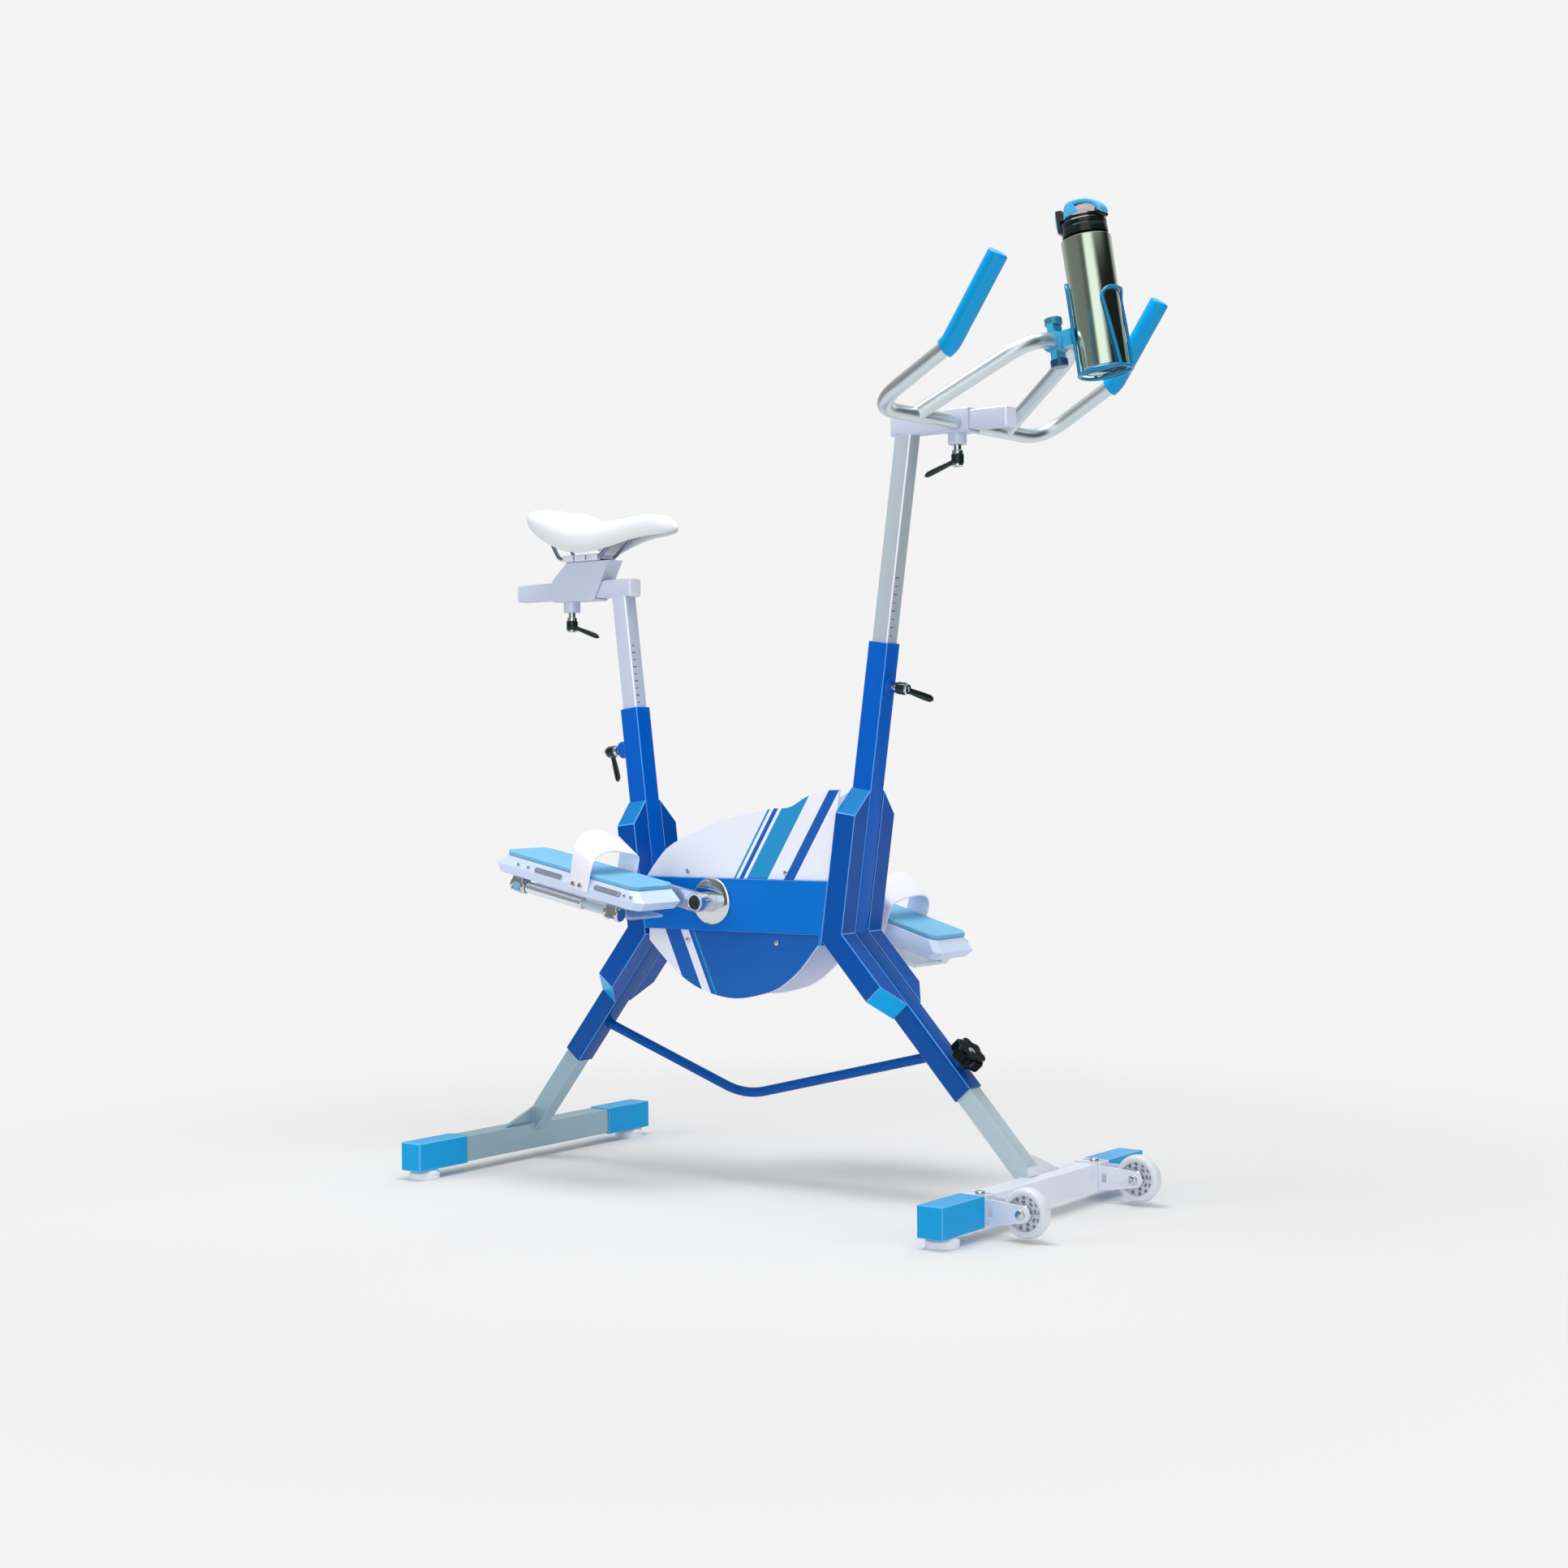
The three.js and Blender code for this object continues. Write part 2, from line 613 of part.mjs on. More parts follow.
// Beam: a square-ended box section with the crank's bearing shell across it and a flange in front
function mainBeam() {
  const start = TUBE_HALF + GAP;
  const end = -TUBE_HALF - GAP;
  const rearX = (z) => faceX(REAR_KNEE_X, REAR_KNEE_Z, SEAT_TUBE_LEAN_DEG, start, z);
  const frontX = (z) => faceX(FRONT_KNEE_X, FRONT_KNEE_Z, MAST_LEAN_DEG, end, z);
  const outline = (bottom, top, over) => [
    new THREE.Vector2(rearX(bottom) - over, bottom),
    new THREE.Vector2(frontX(bottom) + over, bottom),
    new THREE.Vector2(frontX(top) + over, top),
    new THREE.Vector2(rearX(top) - over, top),
  ];
  const skinBox = plate(outline(BEAM_BOTTOM, BEAM_TOP, 0), -BOX_REACH, BOX_REACH);
  const hollow = outline(BEAM_BOTTOM + BEAM_WALL, BEAM_TOP - BEAM_WALL, OVERRUN);
  const inside = BOX_REACH - BEAM_WALL;
  const box = skinBox.subtract(plate(hollow, -inside, inside));
  const back = end - FLANGE_THICKNESS;
  const flangeOutline = [
    new THREE.Vector2(frontX(BEAM_BOTTOM - FLANGE_DROP) + back - end, BEAM_BOTTOM - FLANGE_DROP),
    new THREE.Vector2(frontX(BEAM_BOTTOM - FLANGE_DROP), BEAM_BOTTOM - FLANGE_DROP),
    new THREE.Vector2(frontX(BEAM_TOP), BEAM_TOP),
    new THREE.Vector2(frontX(BEAM_TOP) + back - end, BEAM_TOP),
  ];
  const flange = plate(flangeOutline, -BOX_REACH, BOX_REACH);
  const bore = BEARING_RADIUS + GAP;
  const shell = crossRod(CRANK_X, CRANK_Z, -BOX_REACH, BOX_REACH, bore + SHELL_WALL, ROUND_SIDES);
  const reach = BOX_REACH + OVERRUN;
  const drilled = crossRod(CRANK_X, CRANK_Z, -reach, reach, bore, ROUND_SIDES);
  return joined(box, flange, shell).subtract(drilled);
}

// Brace: one bent round tube between the two leg sleeves
function braceTube() {
  const start = pointIn(rearLegFrame, 0, -BRACE_REAR_DOWN);
  const bend = new THREE.Vector3(BRACE_BEND_X, 0, BRACE_BEND_Z);
  const end = pointIn(frontLegFrame, 0, -BRACE_FRONT_DOWN);
  const body = pipe(rounded([start, bend, end], [BRACE_BEND_REACH]), BRACE_RADIUS, PIN_SIDES);
  const keepOut = TUBE_HALF + GAP;
  const clearRear = block(-keepOut, keepOut, -keepOut, keepOut, -REAR_SLEEVE_LENGTH, 0, rearLegFrame);
  const clearFront = block(-keepOut, keepOut, -keepOut, keepOut, -FRONT_SLEEVE_LENGTH, 0, frontLegFrame);
  return body.subtract(clearRear).subtract(clearFront);
}

// Covers: flat plastic sheets that stand on the beam and hang under it
const UPPER_COVER_SHARES = [
  [0, 0], [0.055, 0.18], [0.138, 0.374], [0.347, 0.61], [0.508, 0.729], [0.66, 0.79], [0.75, 0.806],
  [0.829, 0.915], [0.91, 0.99], [1, 1],
];
const LOWER_COVER_SHARES = [
  [0, 0.18], [0.099, 0.47], [0.212, 0.744], [0.351, 0.932], [0.517, 1], [0.681, 0.906],
  [0.788, 0.769], [0.895, 0.504], [1, 0.12],
];

function smoothOutline(shares, place, count) {
  const points = shares.map(([x, z]) => place(x, z));
  return new THREE.SplineCurve(points).getPoints(count);
}

function coverSheet(outline) {
  return plate(outline, COVER_REACH - COVER_THICKNESS, COVER_REACH);
}

function upperCover() {
  const bottom = BEAM_TOP + GAP;
  const rear = faceX(REAR_KNEE_X, REAR_KNEE_Z, SEAT_TUBE_LEAN_DEG, TUBE_HALF, bottom) + UPPER_COVER_SETBACK;
  const frontAt = (z) => faceX(FRONT_KNEE_X, FRONT_KNEE_Z, MAST_LEAN_DEG, -TUBE_HALF - GAP, z);
  const top = bottom + UPPER_COVER_RISE;
  const place = (x, z) => new THREE.Vector2(
    rear + x * (frontAt(top) - rear), bottom + z * UPPER_COVER_RISE);
  const arch = smoothOutline(UPPER_COVER_SHARES, place, COVER_STEPS);
  return coverSheet([...arch, new THREE.Vector2(frontAt(bottom), bottom)]);
}

function lowerCover() {
  const top = BEAM_BOTTOM - GAP;
  const faceRear = faceX(REAR_KNEE_X, REAR_KNEE_Z, SEAT_TUBE_LEAN_DEG, TUBE_HALF, REAR_KNEE_Z);
  const rear = faceRear + LOWER_COVER_SETBACK;
  const flange = -TUBE_HALF - GAP - FLANGE_THICKNESS - GAP;
  const lowest = BEAM_BOTTOM - FLANGE_DROP;
  const front = faceX(FRONT_KNEE_X, FRONT_KNEE_Z, MAST_LEAN_DEG, flange, lowest);
  const place = (x, z) => new THREE.Vector2(rear + x * (front - rear), top - z * LOWER_COVER_DROP);
  const belly = smoothOutline(LOWER_COVER_SHARES, place, COVER_STEPS);
  return coverSheet([new THREE.Vector2(rear, top), ...belly, new THREE.Vector2(front, top)]);
}

// Crank: an axle in two flanged bearings, with an arm and its pedal spindle on each end
function crankAxle() {
  return crossRod(0, 0, -AXLE_REACH, AXLE_REACH, AXLE_RADIUS, ROUND_SIDES);
}

function crankBearing() {
  const face = BOX_REACH + GAP;
  const flange = crossRod(0, 0, face, BEARING_FACE, BEARING_FLANGE_RADIUS, FINE_SIDES);
  const insert = crossRod(0, 0, BOX_REACH - BEARING_DEPTH, face, BEARING_RADIUS, ROUND_SIDES);
  const start = BOX_REACH - BEARING_DEPTH - OVERRUN;
  const bore = crossRod(0, 0, start, BEARING_FACE + OVERRUN, AXLE_RADIUS + TURN_GAP, ROUND_SIDES);
  return joined(flange, insert).subtract(bore);
}

function armOutline() {
  const half = Math.PI / 2;
  return [
    ...halfRound(0, 0, ARM_BOSS_RADIUS, half),
    ...halfRound(CRANK_RADIUS, 0, ARM_TIP_RADIUS, -half),
  ];
}

function crankArm() {
  const web = plate(armOutline(), ARM_OUTER_FACE - ARM_THICKNESS, ARM_OUTER_FACE);
  const boss = crossRod(0, 0, ARM_INNER_END, ARM_OUTER_END, ARM_BOSS_RADIUS, ROUND_SIDES);
  const tip = PEDAL_OUTER - SPINDLE_TIP_WALL;
  const inner = ARM_OUTER_FACE - ARM_THICKNESS / 2;
  const spindle = crossRod(CRANK_RADIUS, 0, inner, tip, SPINDLE_RADIUS, PIN_SIDES);
  const socket = AXLE_REACH + GAP;
  const bore = crossRod(0, 0, ARM_INNER_END - OVERRUN, socket, AXLE_RADIUS + GAP, ROUND_SIDES);
  return joined(web, boss, spindle).subtract(bore);
}

// Pedals, in their own frame: X forward along the tread, Z up, the spindle along Y at the origin
function cutCorners(x0, x1, y0, y1, z) {
  const cut = PEDAL_CORNER;
  const at = (x, y) => new THREE.Vector3(x, y, z);
  return [
    at(x0 + cut, y0), at(x1 - cut, y0), at(x1, y0 + cut), at(x1, y1 - cut),
    at(x1 - cut, y1), at(x0 + cut, y1), at(x0, y1 - cut), at(x0, y0 + cut),
  ];
}

function pedalBody() {
  const ring = (flare, endFlare, z) => cutCorners(
    -PEDAL_REAR - endFlare, PEDAL_FRONT + endFlare, PEDAL_INNER + PEDAL_FLARE - flare,
    PEDAL_OUTER - PEDAL_FLARE + flare, z);
  const body = skin([
    ring(PEDAL_FLARE / 2, PEDAL_END_FLARE / 2, PEDAL_BOTTOM),
    ring(PEDAL_FLARE, PEDAL_END_FLARE, PEDAL_WAIST),
    ring(0, 0, PEDAL_TOP),
  ]);
  const tip = PEDAL_OUTER - SPINDLE_TIP_WALL + TURN_GAP;
  return body.subtract(crossRod(0, 0, PEDAL_INNER - OVERRUN, tip, SPINDLE_RADIUS + TURN_GAP, PIN_SIDES));
}

function pedalTread() {
  const bottom = PEDAL_TOP + GAP;
  const y0 = PEDAL_INNER + PEDAL_FLARE;
  const y1 = PEDAL_OUTER - PEDAL_FLARE;
  return skin([
    cutCorners(-PEDAL_REAR, PEDAL_FRONT, y0, y1, bottom),
    cutCorners(-PEDAL_REAR, PEDAL_FRONT, y0, y1, PEDAL_TOP + TREAD_THICKNESS),
  ]);
}

// Strap: a moulded band that rises from one side of the pedal over the foot to the other
const STRAP_ARCH_SHARES = [
  [0, 0], [0, 0.5], [0.03, 0.76], [0.14, 0.93], [0.3, 0.995], [0.5, 0.99], [0.72, 0.94], [0.9, 0.88],
  [0.975, 0.82], [1, 0.74], [1, 0],
];

function footStrap() {
  const inner = PEDAL_INNER - GAP;
  const outer = PEDAL_OUTER + GAP;
  const spread = THREE.MathUtils.lerp;
  const last = STRAP_ARCH_SHARES.length - 1;
  const rings = STRAP_ARCH_SHARES.map(([across, rise], i) => {
    const before = STRAP_ARCH_SHARES[Math.max(i - 1, 0)];
    const after = STRAP_ARCH_SHARES[Math.min(i + 1, last)];
    const rear = spread(STRAP_FOOT_REAR, STRAP_TOP_REAR, rise);
    const front = spread(STRAP_FOOT_FRONT, STRAP_TOP_FRONT, rise);
    const y = spread(outer, inner, across);
    const edge = (x, height) => {
      const lift = height - STRAP_FOOT_LEVEL;
      const runY = (after[0] - before[0]) * (inner - outer);
      const runZ = (after[1] - before[1]) * lift;
      const normal = new THREE.Vector2(-runZ, runY).setLength(STRAP_THICKNESS);
      const z = STRAP_FOOT_LEVEL + rise * lift;
      return [new THREE.Vector3(x, y, z), new THREE.Vector3(x, y - normal.x, z - normal.y)];
    };
    const [rearIn, rearOut] = edge(rear, STRAP_REAR_HEIGHT);
    const [frontIn, frontOut] = edge(front, STRAP_FRONT_HEIGHT);
    return [rearIn, rearOut, frontOut, frontIn];
  });
  return skin(rings);
}

// Hanger: two blocks under the pedal that hold a lengthwise rod; the flap swings on the rod
function hangerPlace() {
  return {
    y: PEDAL_OUTER - HANGER_EDGE,
    z: PEDAL_BOTTOM - HANGER_DROP,
  };
}

function flapHanger() {
  const { y, z } = hangerPlace();
  const top = PEDAL_BOTTOM - GAP;
  const bottom = z - HANGER_ROD_RADIUS - HANGER_BLOCK_FLOOR;
  const half = HANGER_BLOCK_WIDTH / 2;
  const blocks = [-1, 1].map((end) => {
    const near = FLAP_CENTRE + end * (HANGER_SPAN / 2);
    const far = near + end * HANGER_BLOCK_LENGTH;
    return block(Math.min(near, far), Math.max(near, far), y - half, y + half, bottom, top);
  });
  const reach = HANGER_SPAN / 2 + HANGER_BLOCK_LENGTH / 2;
  const bar = rod(new THREE.Vector3(FLAP_CENTRE - reach, y, z), new THREE.Vector3(FLAP_CENTRE + reach, y, z),
    HANGER_ROD_RADIUS, PIN_SIDES);
  return joined(...blocks, bar);
}

function resistanceFlap() {
  const { y, z } = hangerPlace();
  const half = HANGER_SPAN / 2 - TURN_GAP;
  const barrel = rod(new THREE.Vector3(FLAP_CENTRE - half, y, z), new THREE.Vector3(FLAP_CENTRE + half, y, z),
    FLAP_KNUCKLE_RADIUS, PIN_SIDES);
  const top = z - FLAP_KNUCKLE_RADIUS + FLAP_THICKNESS;
  const bottom = z - FLAP_KNUCKLE_RADIUS - FLAP_THICKNESS / 4;
  const long = FLAP_LENGTH / 2;
  const inner = y - HANGER_BLOCK_WIDTH / 2 - FLAP_NOTCH;
  const sheet = block(FLAP_CENTRE - long, FLAP_CENTRE + long, y - FLAP_WIDTH, inner, bottom, top);
  const root = block(FLAP_CENTRE - half, FLAP_CENTRE + half, inner - OVERRUN, y, bottom, top);
  const bore = rod(new THREE.Vector3(FLAP_CENTRE - long, y, z), new THREE.Vector3(FLAP_CENTRE + long, y, z),
    HANGER_ROD_RADIUS + TURN_GAP, PIN_SIDES);
  return joined(barrel, sheet, root).subtract(bore);
}

// Feet: a square leg post welded on a cross bar, with gussets; caps, pads and wheels on the bar
function foot(side, leg, legDrop, sleeveLength) {
  const x = side * FOOT_X;
  const half = BAR_DEPTH / 2;
  const reach = FOOT_WIDTH / 2 - CAP_END - GAP;
  const bar = block(x - half, x + half, -reach, reach, BAR_BOTTOM, BAR_TOP);
  const inner = half - BAR_WALL;
  const hollow = block(x - inner, x + inner, -reach - OVERRUN, reach + OVERRUN,
    BAR_BOTTOM + BAR_WALL, BAR_TOP - BAR_WALL);
  const inTube = -sleeveLength + LEG_OVERLAP;
  const post = block(-POST_HALF, POST_HALF, -POST_HALF, POST_HALF, -legDrop, inTube, leg);
  const boreHalf = POST_HALF - POST_WALL;
  const bore = block(-boreHalf, boreHalf, -boreHalf, boreHalf, -legDrop, inTube + OVERRUN, leg);
  const corner = POST_HALF - POST_WALL / 2;
  const at = (setback, y, z) => new THREE.Vector3(side * (FOOT_X - setback), side * y, z);
  const low = BAR_TOP - BAR_WALL / 2;
  const high = BAR_TOP + GUSSET_HEIGHT;
  const top = GUSSET_SETBACK + GUSSET_LEAN;
  const ring = [
    at(GUSSET_SETBACK, corner, low), at(GUSSET_SETBACK, POST_HALF + GUSSET_LENGTH, low),
    at(top, POST_HALF, high), at(top, corner, high),
  ];
  const thick = new THREE.Vector3(side * GUSSET_THICKNESS, 0, 0);
  const gusset = skin([ring, ring.map((point) => point.clone().add(thick))]);
  const toe = side * (FOOT_X - GUSSET_SETBACK + GUSSET_THICKNESS);
  const beyond = toe + side * LEG_OVERLAP;
  const ahead = block(Math.min(toe, beyond), Math.max(toe, beyond), -POST_SIZE, POST_SIZE,
    BAR_TOP, BAR_TOP + LEG_OVERLAP);
  const upper = joined(post.subtract(ahead), gusset).subtract(bore);
  const kept = upper.subtract(block(x - inner, x + inner, -reach, reach, 0, BAR_TOP - BAR_WALL));
  return joined(bar.subtract(hollow), kept);
}

function footCap(side) {
  const x = side * FOOT_X;
  const half = BAR_DEPTH / 2 + GAP;
  const outer = half + CAP_WALL;
  const end = FOOT_WIDTH / 2;
  const start = end - CAP_LENGTH;
  const bottom = BAR_BOTTOM - GAP;
  const top = BAR_TOP + GAP;
  const shell = block(x - outer, x + outer, start, end, bottom - CAP_WALL, top + CAP_WALL);
  return shell.subtract(block(x - half, x + half, start - OVERRUN, end - CAP_END, bottom, top));
}

function footPad(side) {
  const y = FOOT_WIDTH / 2 - PAD_INSET;
  const x = side * FOOT_X;
  const neck = PAD_HEIGHT / 3;
  const lower = cone(new THREE.Vector3(x, y, 0), new THREE.Vector3(x, y, PAD_HEIGHT - neck),
    PAD_RADIUS, PAD_RADIUS, FINE_SIDES);
  const upper = cone(new THREE.Vector3(x, y, PAD_HEIGHT - neck), new THREE.Vector3(x, y, PAD_HEIGHT),
    PAD_RADIUS, PAD_RADIUS - neck, FINE_SIDES);
  return joined(lower, upper);
}

// Wheels: each in a steel fork that is slipped over the front bar beside its cap
const forkOuter = FOOT_WIDTH / 2 - CAP_LENGTH - GAP;
const forkInner = forkOuter - WHEEL_WIDTH - 2 * (FORK_SIDE_GAP + FORK_THICKNESS);
const wheelX = FOOT_X + WHEEL_AHEAD;
const wheelZ = WHEEL_RADIUS + WHEEL_FLOOR_GAP;

function forkOutline() {
  const back = FOOT_X - BAR_DEPTH / 2 - GAP - FORK_THICKNESS;
  const neck = FOOT_X + BAR_DEPTH / 2 + GAP + FORK_THICKNESS;
  const bottom = BAR_BOTTOM - GAP - CAP_WALL;
  const top = BAR_TOP + GAP + CAP_WALL;
  const middle = (top + bottom) / 2;
  const shoulder = neck + FORK_SLOT_LENGTH + 2 * FORK_THICKNESS;
  const low = middle - FORK_NECK_HEIGHT / 2;
  const high = middle + FORK_NECK_HEIGHT / 2;
  const round = halfRound(wheelX, wheelZ, FORK_END_RADIUS, -Math.PI / 2);
  const at = (x, z) => new THREE.Vector2(x, z);
  return [at(back, bottom), at(neck, bottom), at(neck, low), at(shoulder, low), ...round,
    at(shoulder, high), at(neck, high), at(neck, top), at(back, top)];
}

function rectangle(x0, x1, z0, z1) {
  return [
    new THREE.Vector2(x0, z0), new THREE.Vector2(x1, z0),
    new THREE.Vector2(x1, z1), new THREE.Vector2(x0, z1),
  ];
}

function wheelFork() {
  const half = BAR_DEPTH / 2 + GAP;
  const window = rectangle(FOOT_X - half, FOOT_X + half, BAR_BOTTOM - GAP, BAR_TOP + GAP);
  const slotX = FOOT_X + half + 2 * FORK_THICKNESS;
  const slotZ = BAR_CENTRE_Z;
  const slot = rectangle(slotX, slotX + FORK_SLOT_LENGTH,
    slotZ - FORK_SLOT_HEIGHT / 2, slotZ + FORK_SLOT_HEIGHT / 2);
  const outline = forkOutline();
  const plates = [forkInner, forkOuter - FORK_THICKNESS].map(
    (y) => plate(outline, y, y + FORK_THICKNESS, [window, slot]));
  const front = FOOT_X + half;
  const bridge = block(front, front + FORK_THICKNESS, forkInner, forkOuter,
    BAR_BOTTOM - GAP - CAP_WALL, BAR_TOP + GAP + CAP_WALL);
  const pin = crossRod(wheelX, wheelZ, forkInner - PIN_HEAD_HEIGHT, forkOuter + PIN_HEAD_HEIGHT / 2,
    WHEEL_PIN_RADIUS, PIN_SIDES);
  const head = crossRod(wheelX, wheelZ, forkInner - PIN_HEAD_HEIGHT, forkInner, PIN_HEAD_RADIUS, PIN_SIDES);
  const nut = crossRod(wheelX, wheelZ, forkOuter, forkOuter + PIN_HEAD_HEIGHT, PIN_HEAD_RADIUS, WIRE_SIDES);
  return joined(...plates, bridge, pin, head, nut);
}

function transportWheel() {
  const middle = (forkInner + forkOuter) / 2;
  const half = WHEEL_WIDTH / 2;
  const web = half / 2;
  const inner = WHEEL_RADIUS - WHEEL_RIM;
  const bore = WHEEL_PIN_RADIUS + TURN_GAP;
  const round = half / 3;
  const profile = [
    [bore, -half], [WHEEL_HUB_RADIUS, -half], [WHEEL_HUB_RADIUS, -web], [inner, -web],
    [inner, -half], [WHEEL_RADIUS - round, -half], [WHEEL_RADIUS, -web], [WHEEL_RADIUS, web],
    [WHEEL_RADIUS - round, half], [inner, half], [inner, web], [WHEEL_HUB_RADIUS, web],
    [WHEEL_HUB_RADIUS, half], [bore, half], [bore, -half],
  ];
  const points = profile.map(([radius, y]) => new THREE.Vector2(radius, y));
  const geometry = new THREE.LatheGeometry(points, FINE_SIDES);
  geometry.translate(wheelX, middle, wheelZ);
  return solid(geometry);
}

// Lobed knob and clamping levers, each along its own Z from the face that it bears on
function studTo(depth) {
  const end = new THREE.Vector3(0, 0, -depth + GAP);
  return rod(end, new THREE.Vector3(0, 0, STUD_RADIUS), STUD_RADIUS, PIN_SIDES);
}

function lockKnob() {
  const sides = KNOB_LOBES * 6;
  const outline = Array.from({ length: sides }, (_, i) => {
    const angle = (i / sides) * 2 * Math.PI;
    const radius = KNOB_RADIUS - (KNOB_LOBE_DEPTH / 2) * (1 - Math.cos(KNOB_LOBES * angle));
    return new THREE.Vector2(radius * Math.cos(angle), radius * Math.sin(angle));
  });
  const edge = KNOB_LOBE_DEPTH;
  const ring = (inset, z) => outline.map((point) => {
    const shrunk = point.clone().setLength(point.length() - inset);
    return new THREE.Vector3(shrunk.x, shrunk.y, z);
  });
  const base = KNOB_NECK_HEIGHT;
  const grip = skin([
    ring(edge, base), ring(0, base + edge),
    ring(0, base + KNOB_HEIGHT - edge), ring(edge, base + KNOB_HEIGHT),
  ]);
  const neck = rod(new THREE.Vector3(0, 0, GAP), new THREE.Vector3(0, 0, base + edge),
    KNOB_BOSS_RADIUS - edge, ROUND_SIDES);
  return joined(grip, neck, studTo(KNOB_BOSS_HEIGHT + TUBE_WALL + SLIDE_GAP));
}

const LEVER_TAPER_SHARES = [[0, 0.75], [0.15, 0.9], [0.5, 1], [0.85, 0.95], [0.97, 0.75], [1, 0.35]];

function clampLever(bossHeight) {
  const neck = rod(new THREE.Vector3(0, 0, GAP), new THREE.Vector3(0, 0, LEVER_NECK_HEIGHT + GAP),
    LEVER_NECK_RADIUS, PIN_SIDES);
  const hubTop = LEVER_NECK_HEIGHT + LEVER_HUB_HEIGHT;
  const hub = rod(new THREE.Vector3(0, 0, LEVER_NECK_HEIGHT), new THREE.Vector3(0, 0, hubTop),
    LEVER_HUB_RADIUS, ROUND_SIDES);
  const root = LEVER_NECK_HEIGHT + LEVER_ROOT_HEIGHT;
  const ringAt = ([along, size]) => circle(size, LEVER_SIDES).map((point) => new THREE.Vector3(
    along * LEVER_REACH,
    point.x * LEVER_HALF_WIDTH,
    root + along * LEVER_RISE + point.y * LEVER_HALF_DEPTH));
  const rings = LEVER_TAPER_SHARES.map(ringAt);
  return joined(neck, hub, skin(rings), studTo(bossHeight + TUBE_WALL + SLIDE_GAP));
}

// Seat post: a square tube that slides in the seat tube, with a level rail welded on top
const seatRailTop = SEAT_RAIL_BOTTOM + POST_SIZE;
const seatPostRise = (SEAT_RAIL_BOTTOM - REAR_KNEE_Z) / Math.cos(radians(SEAT_TUBE_LEAN_DEG));

function seatPost() {
  const bottom = SEAT_TUBE_LENGTH - SEAT_POST_OVERLAP;
  const half = POST_HALF;
  const top = seatPostRise + half / 2;
  const post = block(-half, half, -half, half, bottom, top, seatTubeFrame);
  const inner = half - POST_WALL;
  const bore = block(-inner, inner, -inner, inner, bottom - OVERRUN, seatPostRise - half, seatTubeFrame);
  const rail = block(SEAT_RAIL_REAR, SEAT_RAIL_FRONT, -half, half, SEAT_RAIL_BOTTOM, seatRailTop);
  const railBore = block(SEAT_RAIL_REAR + POST_WALL, SEAT_RAIL_FRONT + OVERRUN, -inner, inner,
    SEAT_RAIL_BOTTOM + POST_WALL, seatRailTop - POST_WALL);
  return joined(post.subtract(bore), rail).subtract(railBore);
}

// Saddle carriage: a bracket that slides along the rail, with slanted ends and a lever boss below
const carriageFront = CARRIAGE_REAR + CARRIAGE_LENGTH;
const carriageTop = seatRailTop + CARRIAGE_CRADLE_RISE;

function saddleCarriage() {
  const bottom = SEAT_RAIL_BOTTOM - SLIDE_GAP - CARRIAGE_WALL;
  const half = POST_HALF + SLIDE_GAP + CARRIAGE_WALL;
  const slant = CARRIAGE_CRADLE_RISE;
  const at = (x, z) => new THREE.Vector2(x, z);
  const outline = [
    at(CARRIAGE_REAR, bottom), at(carriageFront - CARRIAGE_WALL, bottom),
    at(carriageFront + slant - CARRIAGE_WALL, carriageTop - CARRIAGE_WALL),
    at(carriageFront + slant, carriageTop),
    at(CARRIAGE_REAR + slant, carriageTop), at(CARRIAGE_REAR, seatRailTop + CARRIAGE_WALL),
  ];
  const body = plate(outline, -half, half);
  const bore = POST_HALF + SLIDE_GAP;
  const slot = block(CARRIAGE_REAR - OVERRUN, carriageFront + slant + OVERRUN, -bore, bore,
    SEAT_RAIL_BOTTOM - SLIDE_GAP, seatRailTop + SLIDE_GAP);
  const pocketTop = carriageTop - CARRIAGE_WALL;
  const pocket = plate([
    at(CARRIAGE_REAR + 4 * CARRIAGE_WALL, seatRailTop),
    at(carriageFront - 2 * CARRIAGE_WALL, seatRailTop),
    at(carriageFront + slant - 3 * CARRIAGE_WALL, pocketTop),
    at(CARRIAGE_REAR + slant + CARRIAGE_WALL, pocketTop),
  ], -bore, bore);
  const base = new THREE.Vector3(CARRIAGE_REAR + CARRIAGE_LEVER_SETBACK, 0, bottom);
  const hollowed = body.subtract(slot).subtract(pocket);
  const down = new THREE.Vector3(0, 0, -1);
  return withBoss(hollowed, base, down, LEVER_BOSS_RADIUS, CARRIAGE_BOSS_HEIGHT, CARRIAGE_WALL);
}

// Saddle rails: two bent wires through the clamp block on the carriage
const clampRear = CARRIAGE_REAR + (CARRIAGE_LENGTH + CARRIAGE_CRADLE_RISE - SADDLE_CLAMP_LENGTH) / 2
  + CARRIAGE_WALL;
const clampFront = clampRear + SADDLE_CLAMP_LENGTH;
const clampBottom = carriageTop + GAP;
const railZ = clampBottom + SADDLE_CLAMP_THICKNESS / 2;

const RAIL_SPREAD_SHARES = [1.3, 1, 1, 0.9, 0.5];
const RAIL_RISE_SHARE = 0.72;
const RAIL_REAR_RISE_SHARE = 0.7;
const RAIL_REAR_SHARE = 0.044;
const RAIL_NOSE_SHARE = 0.788;

